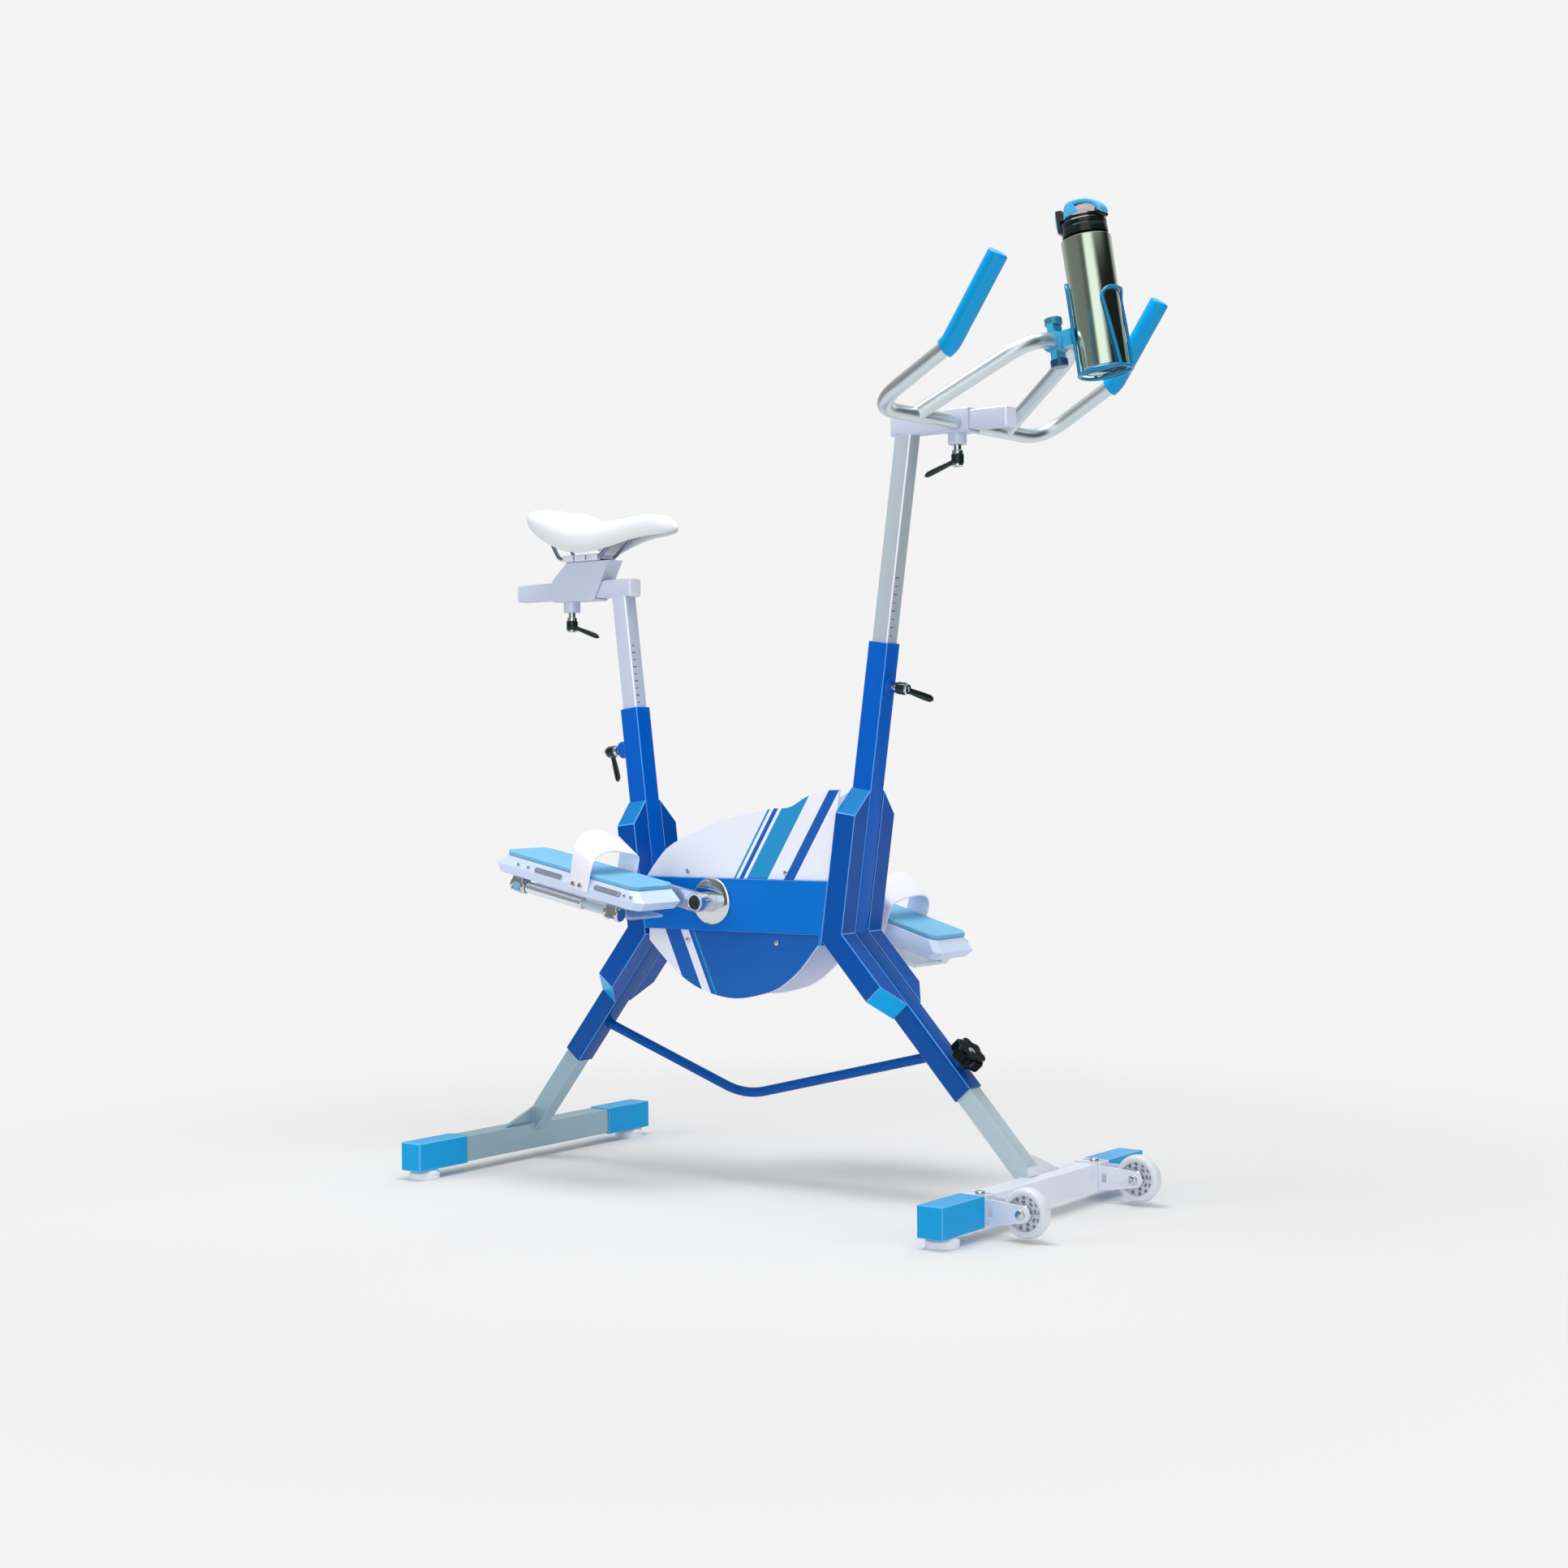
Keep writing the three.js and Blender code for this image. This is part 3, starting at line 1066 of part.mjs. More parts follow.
function railPath(hand, over) {
  const y = (hand * RAIL_SPACING) / 2;
  const noseLift = SADDLE_HEIGHT / 2;
  const rearLift = SADDLE_HEIGHT * RAIL_REAR_RISE_SHARE;
  const places = [
    [SADDLE_TAIL + RAIL_REAR_SHARE * SADDLE_LENGTH - over, railZ + rearLift + over],
    [clampRear - RAIL_SPACING / 4, railZ],
    [clampFront, railZ],
    [clampFront + RAIL_SPACING, railZ + noseLift * RAIL_RISE_SHARE],
    [SADDLE_TAIL + RAIL_NOSE_SHARE * SADDLE_LENGTH + over, railZ + noseLift],
  ];
  const points = places.map(([x, z], i) => new THREE.Vector3(x, y * RAIL_SPREAD_SHARES[i], z));
  const reach = RAIL_SPACING / 5;
  return rounded(points, [reach, reach, reach], WIRE_BEND_STEPS);
}

function saddleRails() {
  const half = RAIL_SPACING / 2 + SADDLE_CLAMP_THICKNESS / 2;
  const clamp = block(clampRear, clampFront, -half, half, clampBottom, clampBottom + SADDLE_CLAMP_THICKNESS);
  const rails = [-1, 1].map((hand) => pipe(railPath(hand, 0), RAIL_RADIUS, WIRE_SIDES));
  return joined(clamp, ...rails);
}

// Saddle: a crowned cushion, broad at the tail and narrow at the nose, hollow underneath
const SADDLE_STATION_SHARES = [
  [0, 0.52, 0.7, 0.88], [0.03, 0.86, 0.6, 0.965], [0.1, 0.99, 0.46, 1], [0.19, 1, 0.28, 0.96],
  [0.3, 0.9, 0.12, 0.82], [0.42, 0.69, 0.08, 0.72], [0.54, 0.5, 0.17, 0.7], [0.66, 0.39, 0.27, 0.74],
  [0.78, 0.34, 0.34, 0.78], [0.88, 0.3, 0.37, 0.76], [0.96, 0.2, 0.4, 0.64], [1, 0.07, 0.44, 0.52],
];
const SADDLE_RING_SHARES = [
  [-0.8, 0], [-0.95, 0.22], [-1, 0.55], [-0.93, 0.82], [-0.72, 0.95], [-0.4, 1], [0, 0.985],
  [0.4, 1], [0.72, 0.95], [0.93, 0.82], [1, 0.55], [0.95, 0.22], [0.8, 0], [0, 0.02],
];

const SADDLE_RECESS_SHARE = 0.45;
const SADDLE_RECESS_WIDTH_SHARE = 0.8;

function saddleRing([along, width, low, high]) {
  const bottom = clampBottom;
  const x = SADDLE_TAIL + along * SADDLE_LENGTH;
  return SADDLE_RING_SHARES.map(([y, z]) => new THREE.Vector3(
    x, y * width * SADDLE_HALF_WIDTH, bottom + (low + z * (high - low)) * SADDLE_HEIGHT + SADDLE_SEAT_GAP));
}

function saddle() {
  const cushion = skin(SADDLE_STATION_SHARES.map(saddleRing));
  const hollowAt = ([along, width, low, high]) => {
    const half = Math.max(width * SADDLE_HALF_WIDTH - SADDLE_SHELL, RAIL_RADIUS);
    const x = SADDLE_TAIL + along * SADDLE_LENGTH;
    const floor = clampBottom - OVERRUN;
    const rise = low + SADDLE_RECESS_SHARE * (high - low);
    const top = clampBottom + SADDLE_SEAT_GAP + rise * SADDLE_HEIGHT;
    const narrow = half * SADDLE_RECESS_WIDTH_SHARE;
    const at = (y, z) => new THREE.Vector3(x, y, z);
    return [at(-half, floor), at(half, floor), at(narrow, top), at(-narrow, top)];
  };
  const recess = skin(SADDLE_STATION_SHARES.slice(2, -2).map(hollowAt));
  const pockets = [-1, 1].map((hand) => pipe(railPath(hand, GAP), RAIL_RADIUS + GAP, WIRE_SIDES));
  return pockets.reduce((body, pocket) => body.subtract(pocket), cushion.subtract(recess));
}

// Handlebar post: a square tube that slides in the mast, with the level head tube on top
const headTubeTop = HEAD_TUBE_BOTTOM + POST_SIZE;
const barPostRise = (HEAD_TUBE_BOTTOM - FRONT_KNEE_Z) / Math.cos(radians(MAST_LEAN_DEG));

function handlebarPost() {
  const half = POST_HALF;
  const inner = half - POST_WALL;
  const bottom = MAST_LENGTH - BAR_POST_OVERLAP;
  const post = block(-half, half, -half, half, bottom, barPostRise + half / 2, mastFrame);
  const bore = block(-inner, inner, -inner, inner, bottom - OVERRUN, barPostRise - half, mastFrame);
  const head = block(HEAD_TUBE_REAR, HEAD_TUBE_FRONT, -half, half, HEAD_TUBE_BOTTOM, headTubeTop);
  const hollow = block(HEAD_TUBE_REAR - OVERRUN, HEAD_TUBE_FRONT - HEAD_TUBE_CAP, -inner, inner,
    HEAD_TUBE_BOTTOM + POST_WALL, headTubeTop - POST_WALL);
  return joined(post.subtract(bore), head).subtract(hollow);
}

// Handlebar: a sleeve on the head tube with the outer bar and the inner loop welded to it
const handleX = SLEEVE_REAR + SLEEVE_LENGTH / 2;
const handleZ = HEAD_TUBE_BOTTOM + POST_HALF - SLEEVE_WALL;

function risingPoint(hand, y, along, degrees) {
  const angle = radians(degrees);
  return new THREE.Vector3(
    handleX + along * Math.cos(angle), hand * y, handleZ + along * Math.sin(angle));
}

function gripPoint(hand, along) {
  const start = risingPoint(hand, HANDLE_REACH, HANDLE_ARM_LENGTH, HANDLE_ARM_DEG);
  const angle = radians(GRIP_DEG);
  return start.add(new THREE.Vector3(along * Math.cos(angle), 0, along * Math.sin(angle)));
}

function outerBarPath(over) {
  const side = (hand) => [
    gripPoint(hand, GRIP_LENGTH + over),
    gripPoint(hand, 0),
    risingPoint(hand, HANDLE_REACH, 0, HANDLE_ARM_DEG),
  ];
  const bends = [GRIP_BEND_REACH, HANDLE_BEND_REACH, HANDLE_BEND_REACH, GRIP_BEND_REACH];
  return rounded([...side(-1), ...side(1).reverse()], bends);
}

function innerLoopPath() {
  const side = (hand) => [
    risingPoint(hand, LOOP_FOOT_HALF, 0, LOOP_DEG),
    risingPoint(hand, LOOP_TOP_HALF, LOOP_LENGTH, LOOP_DEG),
  ];
  return rounded([...side(-1), ...side(1).reverse()], [LOOP_CORNER_REACH, LOOP_CORNER_REACH]);
}

function handlebar() {
  const inner = HANDLE_TUBE_RADIUS - HANDLE_TUBE_WALL;
  const outerBar = pipe(outerBarPath(0), HANDLE_TUBE_RADIUS, BAR_SIDES);
  const loop = pipe(innerLoopPath(), HANDLE_TUBE_RADIUS, BAR_SIDES);
  const hollow = pipe(outerBarPath(OVERRUN), inner, BAR_SIDES);
  const half = POST_HALF + SLIDE_GAP + SLEEVE_WALL;
  const bottom = HEAD_TUBE_BOTTOM - SLIDE_GAP - SLEEVE_WALL;
  const top = headTubeTop + SLIDE_GAP + SLEEVE_WALL;
  const front = SLEEVE_REAR + SLEEVE_LENGTH;
  const sleeve = block(SLEEVE_REAR, front, -half, half, bottom, top);
  const bore = POST_HALF + SLIDE_GAP;
  const through = block(SLEEVE_REAR - OVERRUN, front + OVERRUN, -bore, bore,
    HEAD_TUBE_BOTTOM - SLIDE_GAP, headTubeTop + SLIDE_GAP);
  const bars = joined(outerBar, loop).subtract(hollow);
  const welded = joined(bars, sleeve).subtract(through);
  const base = new THREE.Vector3(SLEEVE_REAR + SLEEVE_BOSS_SETBACK, 0, bottom);
  const down = new THREE.Vector3(0, 0, -1);
  return withBoss(welded, base, down, LEVER_BOSS_RADIUS, SLEEVE_BOSS_HEIGHT, SLEEVE_WALL);
}

function gripSleeve() {
  const straight = HANDLE_ARM_LENGTH - GRIP_BEND_REACH - GRIP_LEAD;
  const start = risingPoint(1, HANDLE_REACH, straight, HANDLE_ARM_DEG);
  const end = gripPoint(1, GRIP_LENGTH + GAP + GRIP_END);
  const bore = HANDLE_TUBE_RADIUS + 2 * GAP;
  const outside = rounded([start, gripPoint(1, 0), end], [GRIP_BEND_REACH]);
  const outer = pipe(outside, bore + GRIP_THICKNESS, PIN_SIDES);
  const lead = risingPoint(1, HANDLE_REACH, straight - OVERRUN, HANDLE_ARM_DEG);
  const inside = rounded([lead, gripPoint(1, 0), gripPoint(1, GRIP_LENGTH + GAP)], [GRIP_BEND_REACH]);
  return outer.subtract(pipe(inside, bore, PIN_SIDES));
}

// Bottle clamp: a split collar on the loop's apex, with an arm to the cage's back
const apex = risingPoint(1, 0, LOOP_LENGTH, LOOP_DEG);

function bottlePlace() {
  const clear = HANDLE_TUBE_RADIUS + GAP + CLAMP_WALL;
  const cageBack = BOTTLE_FOOT_RADIUS + CAGE_CLEARANCE + 2 * CAGE_WIRE_RADIUS;
  const ahead = clear + cageBack + CLAMP_ARM_LENGTH + GAP;
  const lean = radians(BOTTLE_LEAN_DEG);
  return {
    x: apex.x + ahead * Math.cos(lean) + BOTTLE_ABOVE_APEX * Math.sin(lean),
    z: apex.z - ahead * Math.sin(lean) + BOTTLE_ABOVE_APEX * Math.cos(lean),
    ahead,
  };
}

const bottle = bottlePlace();
const bottleFrame = frameAt(bottle.x, bottle.z, BOTTLE_LEAN_DEG);

// These shapes are built in the bottle's own frame, with its base at the origin
function bottleClamp() {
  const x = -bottle.ahead;
  const z = -BOTTLE_ABOVE_APEX;
  const half = CLAMP_WIDTH / 2;
  const bore = HANDLE_TUBE_RADIUS + 2 * GAP;
  const collar = crossRod(x, z, -half, half, bore + CLAMP_WALL, ROUND_SIDES);
  const lugHalf = CLAMP_LUG_HEIGHT / 2;
  const lugReach = bore + CLAMP_WALL + CLAMP_LUG_HEIGHT;
  const lug = block(x - lugHalf, x + lugHalf, -half, half, z - lugReach, z + lugReach);
  const armHalf = CLAMP_ARM_WIDTH / 2;
  const back = -BOTTLE_FOOT_RADIUS - CAGE_CLEARANCE - 2 * CAGE_WIRE_RADIUS - GAP;
  const arm = block(x + bore, back, -armHalf, armHalf, z - bore, z + bore);
  const reach = lugReach + CLAMP_SCREW_HEIGHT;
  const screw = rod(new THREE.Vector3(x, 0, z - reach), new THREE.Vector3(x, 0, z + reach),
    CLAMP_SCREW_RADIUS, PIN_SIDES);
  const hole = pipe(innerLoopPath(), bore, BAR_SIDES, bottleFrame.clone().invert());
  return joined(collar, lug, arm, screw).subtract(hole);
}

const cageReach = BOTTLE_FOOT_RADIUS + CAGE_CLEARANCE + CAGE_WIRE_RADIUS;

function cageHoop(side, foot, height) {
  const low = -2 * CAGE_WIRE_RADIUS - GAP;
  const at = (y, z) => new THREE.Vector3(0, y, z);
  const points = [
    at(-foot, low), at(-CAGE_HALF_WIDTH, height), at(CAGE_HALF_WIDTH, height), at(foot, low),
  ];
  const path = rounded(points, [CAGE_BEND_REACH, CAGE_BEND_REACH]);
  const round = path.map((point) => point.setX(side * Math.sqrt(cageReach ** 2 - point.y ** 2)));
  return pipe(round, CAGE_WIRE_RADIUS, WIRE_SIDES);
}

function cagePad() {
  const inner = cageReach - CAGE_WIRE_RADIUS;
  const outer = cageReach + CAGE_WIRE_RADIUS;
  const low = -BOTTLE_ABOVE_APEX - CLAMP_ARM_WIDTH / 2;
  const high = low + CLAMP_ARM_WIDTH;
  const ring = turned([[inner, low], [outer, low], [outer, high], [inner, high], [inner, low]], FINE_SIDES);
  const half = CAGE_HALF_WIDTH + CAGE_WIRE_RADIUS / 2;
  return ring.intersect(block(-outer - OVERRUN, 0, -half, half, low - OVERRUN, high + OVERRUN));
}

function bottleCage() {
  const low = -CAGE_WIRE_RADIUS - GAP;
  const ring = new THREE.TorusGeometry(cageReach, CAGE_WIRE_RADIUS, WIRE_SIDES, FINE_SIDES);
  ring.translate(0, 0, low);
  const end = Math.sqrt(cageReach ** 2 - CAGE_HALF_WIDTH ** 2);
  const bars = [-1, 1].map((hand) => {
    const y = hand * CAGE_HALF_WIDTH;
    return rod(new THREE.Vector3(-end, y, low), new THREE.Vector3(end, y, low), CAGE_WIRE_RADIUS, WIRE_SIDES);
  });
  const rear = cageHoop(-1, CAGE_HALF_WIDTH, CAGE_REAR_HEIGHT);
  const front = cageHoop(1, CAGE_FRONT_FOOT, CAGE_FRONT_HEIGHT);
  return joined(solid(ring), ...bars, rear, front, cagePad());
}

function bottleBody() {
  const inner = BOTTLE_RADIUS - BOTTLE_WALL;
  const foot = BOTTLE_FOOT_RADIUS;
  const neck = BOTTLE_NECK_RADIUS;
  const top = BOTTLE_HEIGHT + BOTTLE_NECK_HEIGHT;
  return turned([
    [0, 0], [foot - BOTTLE_WALL, 0], [foot, BOTTLE_WALL],
    [BOTTLE_RADIUS, BOTTLE_HEIGHT - BOTTLE_SHOULDER], [neck, BOTTLE_HEIGHT], [neck, top],
    [neck - BOTTLE_WALL, top], [neck - BOTTLE_WALL, BOTTLE_HEIGHT],
    [inner, BOTTLE_HEIGHT - BOTTLE_SHOULDER], [foot - BOTTLE_WALL, BOTTLE_WALL], [0, BOTTLE_WALL],
  ], FINE_SIDES);
}

const collarTop = BOTTLE_HEIGHT - BOTTLE_SHOULDER + COLLAR_HEIGHT;

function bottleCollar() {
  const bore = BOTTLE_NECK_RADIUS + GAP;
  const slope = BOTTLE_SHOULDER / (BOTTLE_RADIUS - BOTTLE_NECK_RADIUS);
  const seatAt = (radius) => BOTTLE_HEIGHT - BOTTLE_SHOULDER + (BOTTLE_RADIUS - radius) * slope + 2 * GAP;
  const edge = COLLAR_RADIUS - BOTTLE_WALL;
  const bottom = seatAt(edge);
  const top = collarTop;
  const neckTop = BOTTLE_HEIGHT + BOTTLE_NECK_HEIGHT + GAP;
  const spout = BOTTLE_NECK_RADIUS / 3;
  return turned([
    [COLLAR_RADIUS, bottom], [COLLAR_RADIUS, top - BOTTLE_WALL], [COLLAR_RADIUS - BOTTLE_WALL, top],
    [spout, top], [spout, neckTop], [bore, neckTop], [bore, seatAt(bore)],
    [edge, bottom], [COLLAR_RADIUS, bottom],
  ], FINE_SIDES);
}

const LID_LOOP_SHARES = [
  [-0.84, 0], [-0.84, 0.64], [-0.6, 1], [0.1, 0.98], [0.62, 0.7], [1.1, 0.12], [1.12, 0],
];
const LID_OPENING_SHARES = [[-0.26, 0.06], [-0.26, 0.74], [0.08, 0.73], [0.46, 0.5], [0.82, 0.06]];

function bottleLid() {
  const bottom = collarTop + GAP;
  const top = bottom + LID_HEIGHT;
  const cap = turned([
    [0, bottom], [LID_RADIUS, bottom], [LID_RADIUS, top - BOTTLE_WALL], [LID_RADIUS - BOTTLE_WALL, top],
    [0, top],
  ], FINE_SIDES);
  const half = LID_LOOP_WIDTH / 2;
  const place = ([x, z]) => new THREE.Vector2(x * LID_RADIUS, top - BOTTLE_WALL / 2 + z * LID_LOOP_HEIGHT);
  const loop = plate(LID_LOOP_SHARES.map(place), -half, half);
  const opening = plate(LID_OPENING_SHARES.map(place), -half - OVERRUN, half + OVERRUN);
  return joined(cap, loop.subtract(opening));
}

const LATCH_BELOW_SHARE = 0.3;

function bottleLatch() {
  const half = LATCH_WIDTH / 2;
  const middle = collarTop;
  const near = -COLLAR_RADIUS - GAP;
  const low = middle - LATCH_HEIGHT * LATCH_BELOW_SHARE;
  const tab = block(near - LATCH_THICKNESS, near, -half, half, low, low + LATCH_HEIGHT);
  const top = middle + GAP + LID_HEIGHT;
  const hook = block(near - LATCH_THICKNESS / 2, -LID_RADIUS - GAP, -half, half, top - LATCH_THICKNESS, top);
  return joined(tab, hook);
}

// The whole bike
const bike = new THREE.Group();

function addPiece(parent, name, body, material) {
  parent.add(meshOf(name, body, material));
}

function sideName(side) {
  return side > 0 ? "left" : "right";
}

function turnedGroup(parent, x, z, degrees) {
  const group = new THREE.Group();
  group.position.set(x, 0, z);
  group.rotation.y = radians(degrees);
  parent.add(group);
  return group;
}

// A group whose Z points out of the face that a lever or knob is screwed into
function fastenerGroup(base, outward, along) {
  const group = new THREE.Group();
  const z = outward.clone().normalize();
  const x = along.clone().addScaledVector(z, -along.dot(z)).normalize();
  const y = z.clone().cross(x);
  group.applyMatrix4(new THREE.Matrix4().makeBasis(x, y, z).setPosition(base));
  bike.add(group);
  return group;
}

function addFrame() {
  addPiece(bike, "front_frame", frontFrame(), royalBlue);
  addPiece(bike, "rear_frame", rearFrame(), royalBlue);
  addPiece(bike, "main_beam", mainBeam(), royalBlue);
  addPiece(bike, "brace_tube", braceTube(), royalBlue);
  const frontBox = sideBox(mastFrame, frontLegFrame, frontKnee, FRONT_BOX_RISE, FRONT_BOX_DROP);
  const rearBox = sideBox(seatTubeFrame, rearLegFrame, rearKnee, REAR_BOX_RISE, REAR_BOX_DROP);
  for (const side of [1, -1]) {
    const hand = sideName(side);
    addPiece(bike, `front_side_box_${hand}`, onSide(frontBox, side), royalBlue);
    addPiece(bike, `rear_side_box_${hand}`, onSide(rearBox, side), royalBlue);
    addPiece(bike, `upper_cover_${hand}`, onSide(upperCover(), side), whitePlastic);
    addPiece(bike, `lower_cover_${hand}`, onSide(lowerCover(), side), whitePlastic);
  }
}

function addPedal(side, arm) {
  const hand = sideName(side);
  const pitch = side > 0 ? PEDAL_PITCH_LEFT_DEG : PEDAL_PITCH_RIGHT_DEG;
  const angle = radians(arm);
  const x = CRANK_X + CRANK_RADIUS * Math.cos(angle);
  const z = CRANK_Z - CRANK_RADIUS * Math.sin(angle);
  const pedal = turnedGroup(bike, x, z, pitch);
  addPiece(pedal, `pedal_body_${hand}`, onSide(pedalBody(), side), lavender);
  addPiece(pedal, `pedal_tread_${hand}`, onSide(pedalTread(), side), treadBlue);
  addPiece(pedal, `foot_strap_${hand}`, onSide(footStrap(), side), whitePlastic);
  addPiece(pedal, `flap_hanger_${hand}`, onSide(flapHanger(), side), satinSteel);
  addPiece(pedal, `resistance_flap_${hand}`, onSide(resistanceFlap(), side), clearPlastic);
}

function addCrank() {
  const crank = turnedGroup(bike, CRANK_X, CRANK_Z, CRANK_REAR_TILT_DEG);
  addPiece(crank, "crank_axle", crankAxle(), chrome);
  for (const side of [1, -1]) {
    const hand = sideName(side);
    const arm = CRANK_REAR_TILT_DEG + (side > 0 ? 0 : 180);
    addPiece(crank, `crank_bearing_${hand}`, onSide(crankBearing(), side), chrome);
    const armGroup = turnedGroup(bike, CRANK_X, CRANK_Z, arm);
    addPiece(armGroup, `crank_arm_${hand}`, onSide(crankArm(), side), chrome);
    addPedal(side, arm);
  }
}

function addFeet() {
  addPiece(bike, "front_foot", foot(1, frontLegFrame, frontLegDrop, FRONT_SLEEVE_LENGTH), paleGrey);
  addPiece(bike, "rear_foot", foot(-1, rearLegFrame, rearLegDrop, REAR_SLEEVE_LENGTH), paleGrey);
  for (const side of [1, -1]) {
    const hand = sideName(side);
    addPiece(bike, `front_foot_cap_${hand}`, onSide(footCap(1), side), skyBlue);
    addPiece(bike, `rear_foot_cap_${hand}`, onSide(footCap(-1), side), skyBlue);
    addPiece(bike, `front_foot_pad_${hand}`, onSide(footPad(1), side), whitePlastic);
    addPiece(bike, `rear_foot_pad_${hand}`, onSide(footPad(-1), side), whitePlastic);
    addPiece(bike, `wheel_fork_${hand}`, onSide(wheelFork(), side), chrome);
    addPiece(bike, `transport_wheel_${hand}`, onSide(transportWheel(), side), wheelPlastic);
  }
}

function addFasteners() {
  const down = new THREE.Vector3(0, 0, -1);
  const ahead = new THREE.Vector3(1, 0, 0);
  const left = new THREE.Vector3(0, 1, 0);
  const knobBase = pointIn(frontLegFrame, TUBE_HALF + KNOB_BOSS_HEIGHT, -KNOB_DOWN);
  const knob = fastenerGroup(knobBase, directionIn(frontLegFrame, 1, 0), left);
  addPiece(knob, "leg_lock_knob", lockKnob(), blackPlastic);
  const mastBase = pointIn(mastFrame, TUBE_HALF + MAST_LEVER_BOSS, MAST_LEVER_RISE);
  const mastLever = fastenerGroup(mastBase, directionIn(mastFrame, 1, 0), new THREE.Vector3(0, 1, -0.25));
  addPiece(mastLever, "handlebar_post_lever", clampLever(MAST_LEVER_BOSS), blackPlastic);
  const seatBase = pointIn(seatTubeFrame, -TUBE_HALF - SEAT_LEVER_BOSS, SEAT_LEVER_RISE);
  const seatLever = fastenerGroup(seatBase, directionIn(seatTubeFrame, -1, 0), new THREE.Vector3(0, 0.7, -1));
  addPiece(seatLever, "seat_post_lever", clampLever(SEAT_LEVER_BOSS), blackPlastic);
  const carriageBottom = SEAT_RAIL_BOTTOM - SLIDE_GAP - CARRIAGE_WALL - CARRIAGE_BOSS_HEIGHT;
  const carriageBase = new THREE.Vector3(CARRIAGE_REAR + CARRIAGE_LEVER_SETBACK, 0, carriageBottom);
  const carriageLever = fastenerGroup(carriageBase, down, ahead);
  addPiece(carriageLever, "saddle_slide_lever", clampLever(CARRIAGE_BOSS_HEIGHT), blackPlastic);
  const sleeveBottom = HEAD_TUBE_BOTTOM - SLIDE_GAP - SLEEVE_WALL - SLEEVE_BOSS_HEIGHT;
  const sleeveBase = new THREE.Vector3(SLEEVE_REAR + SLEEVE_BOSS_SETBACK, 0, sleeveBottom);
  const sleeveLever = fastenerGroup(sleeveBase, down, ahead.clone().negate());
  addPiece(sleeveLever, "handlebar_slide_lever", clampLever(SLEEVE_BOSS_HEIGHT), blackPlastic);
}

function addSeat() {
  addPiece(bike, "seat_post", seatPost(), paleGrey);
  addPiece(bike, "saddle_carriage", saddleCarriage(), paleGrey);
  addPiece(bike, "saddle_rails", saddleRails(), satinSteel);
  addPiece(bike, "saddle", saddle(), whitePlastic);
}

function addHandlebar() {
  addPiece(bike, "handlebar_post", handlebarPost(), paleGrey);
  addPiece(bike, "handlebar", handlebar(), satinSteel);
  for (const side of [1, -1]) {
    addPiece(bike, `grip_${sideName(side)}`, onSide(gripSleeve(), side), skyBlue);
  }
}

function addBottle() {
  const group = turnedGroup(bike, bottle.x, bottle.z, BOTTLE_LEAN_DEG);
  addPiece(group, "bottle_clamp", bottleClamp(), skyBlue);
  addPiece(group, "bottle_cage", bottleCage(), skyBlue);
  addPiece(group, "bottle_body", bottleBody(), satinSteel);
  addPiece(group, "bottle_collar", bottleCollar(), blackPlastic);
  addPiece(group, "bottle_lid", bottleLid(), skyBlue);
  addPiece(group, "bottle_latch", bottleLatch(), blackPlastic);
}

addFrame();
addCrank();
addFeet();
addFasteners();
addSeat();
addHandlebar();
addBottle();

// The origin goes under the middle of the whole part
const extent = new THREE.Box3().setFromObject(bike);
const middle = extent.getCenter(new THREE.Vector3());
bike.position.set(-middle.x, -middle.y, -extent.min.z);

const part = new THREE.Group();
part.add(bike);

export default part;
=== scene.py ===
"""Aqua bike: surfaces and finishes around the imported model, in millimetres unless a line says otherwise."""

import json
import math

import bmesh
import bpy
import numpy as np
from mathutils import Matrix, Vector

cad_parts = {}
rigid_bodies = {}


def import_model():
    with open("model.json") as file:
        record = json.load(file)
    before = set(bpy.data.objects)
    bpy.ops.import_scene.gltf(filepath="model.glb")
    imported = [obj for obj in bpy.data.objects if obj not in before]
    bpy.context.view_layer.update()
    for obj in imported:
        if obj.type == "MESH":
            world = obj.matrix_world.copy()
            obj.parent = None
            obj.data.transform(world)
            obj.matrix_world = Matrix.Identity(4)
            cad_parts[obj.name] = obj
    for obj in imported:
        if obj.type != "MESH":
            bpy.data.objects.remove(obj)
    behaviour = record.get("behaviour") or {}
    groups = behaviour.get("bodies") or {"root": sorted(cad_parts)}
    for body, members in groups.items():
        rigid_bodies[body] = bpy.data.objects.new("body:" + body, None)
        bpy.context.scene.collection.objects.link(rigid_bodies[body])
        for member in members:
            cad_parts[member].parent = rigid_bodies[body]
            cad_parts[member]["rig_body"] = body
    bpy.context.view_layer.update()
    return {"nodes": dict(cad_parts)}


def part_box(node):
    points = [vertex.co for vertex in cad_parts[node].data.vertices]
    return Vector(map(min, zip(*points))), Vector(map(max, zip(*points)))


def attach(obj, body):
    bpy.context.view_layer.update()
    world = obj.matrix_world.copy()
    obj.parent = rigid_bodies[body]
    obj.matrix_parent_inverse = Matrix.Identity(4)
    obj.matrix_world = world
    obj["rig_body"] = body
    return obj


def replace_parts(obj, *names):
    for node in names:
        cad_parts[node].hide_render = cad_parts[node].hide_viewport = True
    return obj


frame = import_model()

# Viewpoint
# The photograph was taken from the bike's right, a little ahead of it, about 4.3 m away and
# above the cranks. Lengths are counted from the middle between the two foot bars.
MM = 0.001
PHOTO_SIZE = 1932
FOCAL_PX = 3000
SENSOR_WIDTH = 36
CAMERA_PLACE = (2561.6, -3419.3, 760.5)
CAMERA_HEADING_DEG = 36.301
CAMERA_PITCH_DEG = -0.762
CAMERA_ROLL_DEG = -0.558


def node_middle(node):
    """The middle of a CAD node's box, in metres."""
    low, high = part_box(node)
    return (low + high) / 2


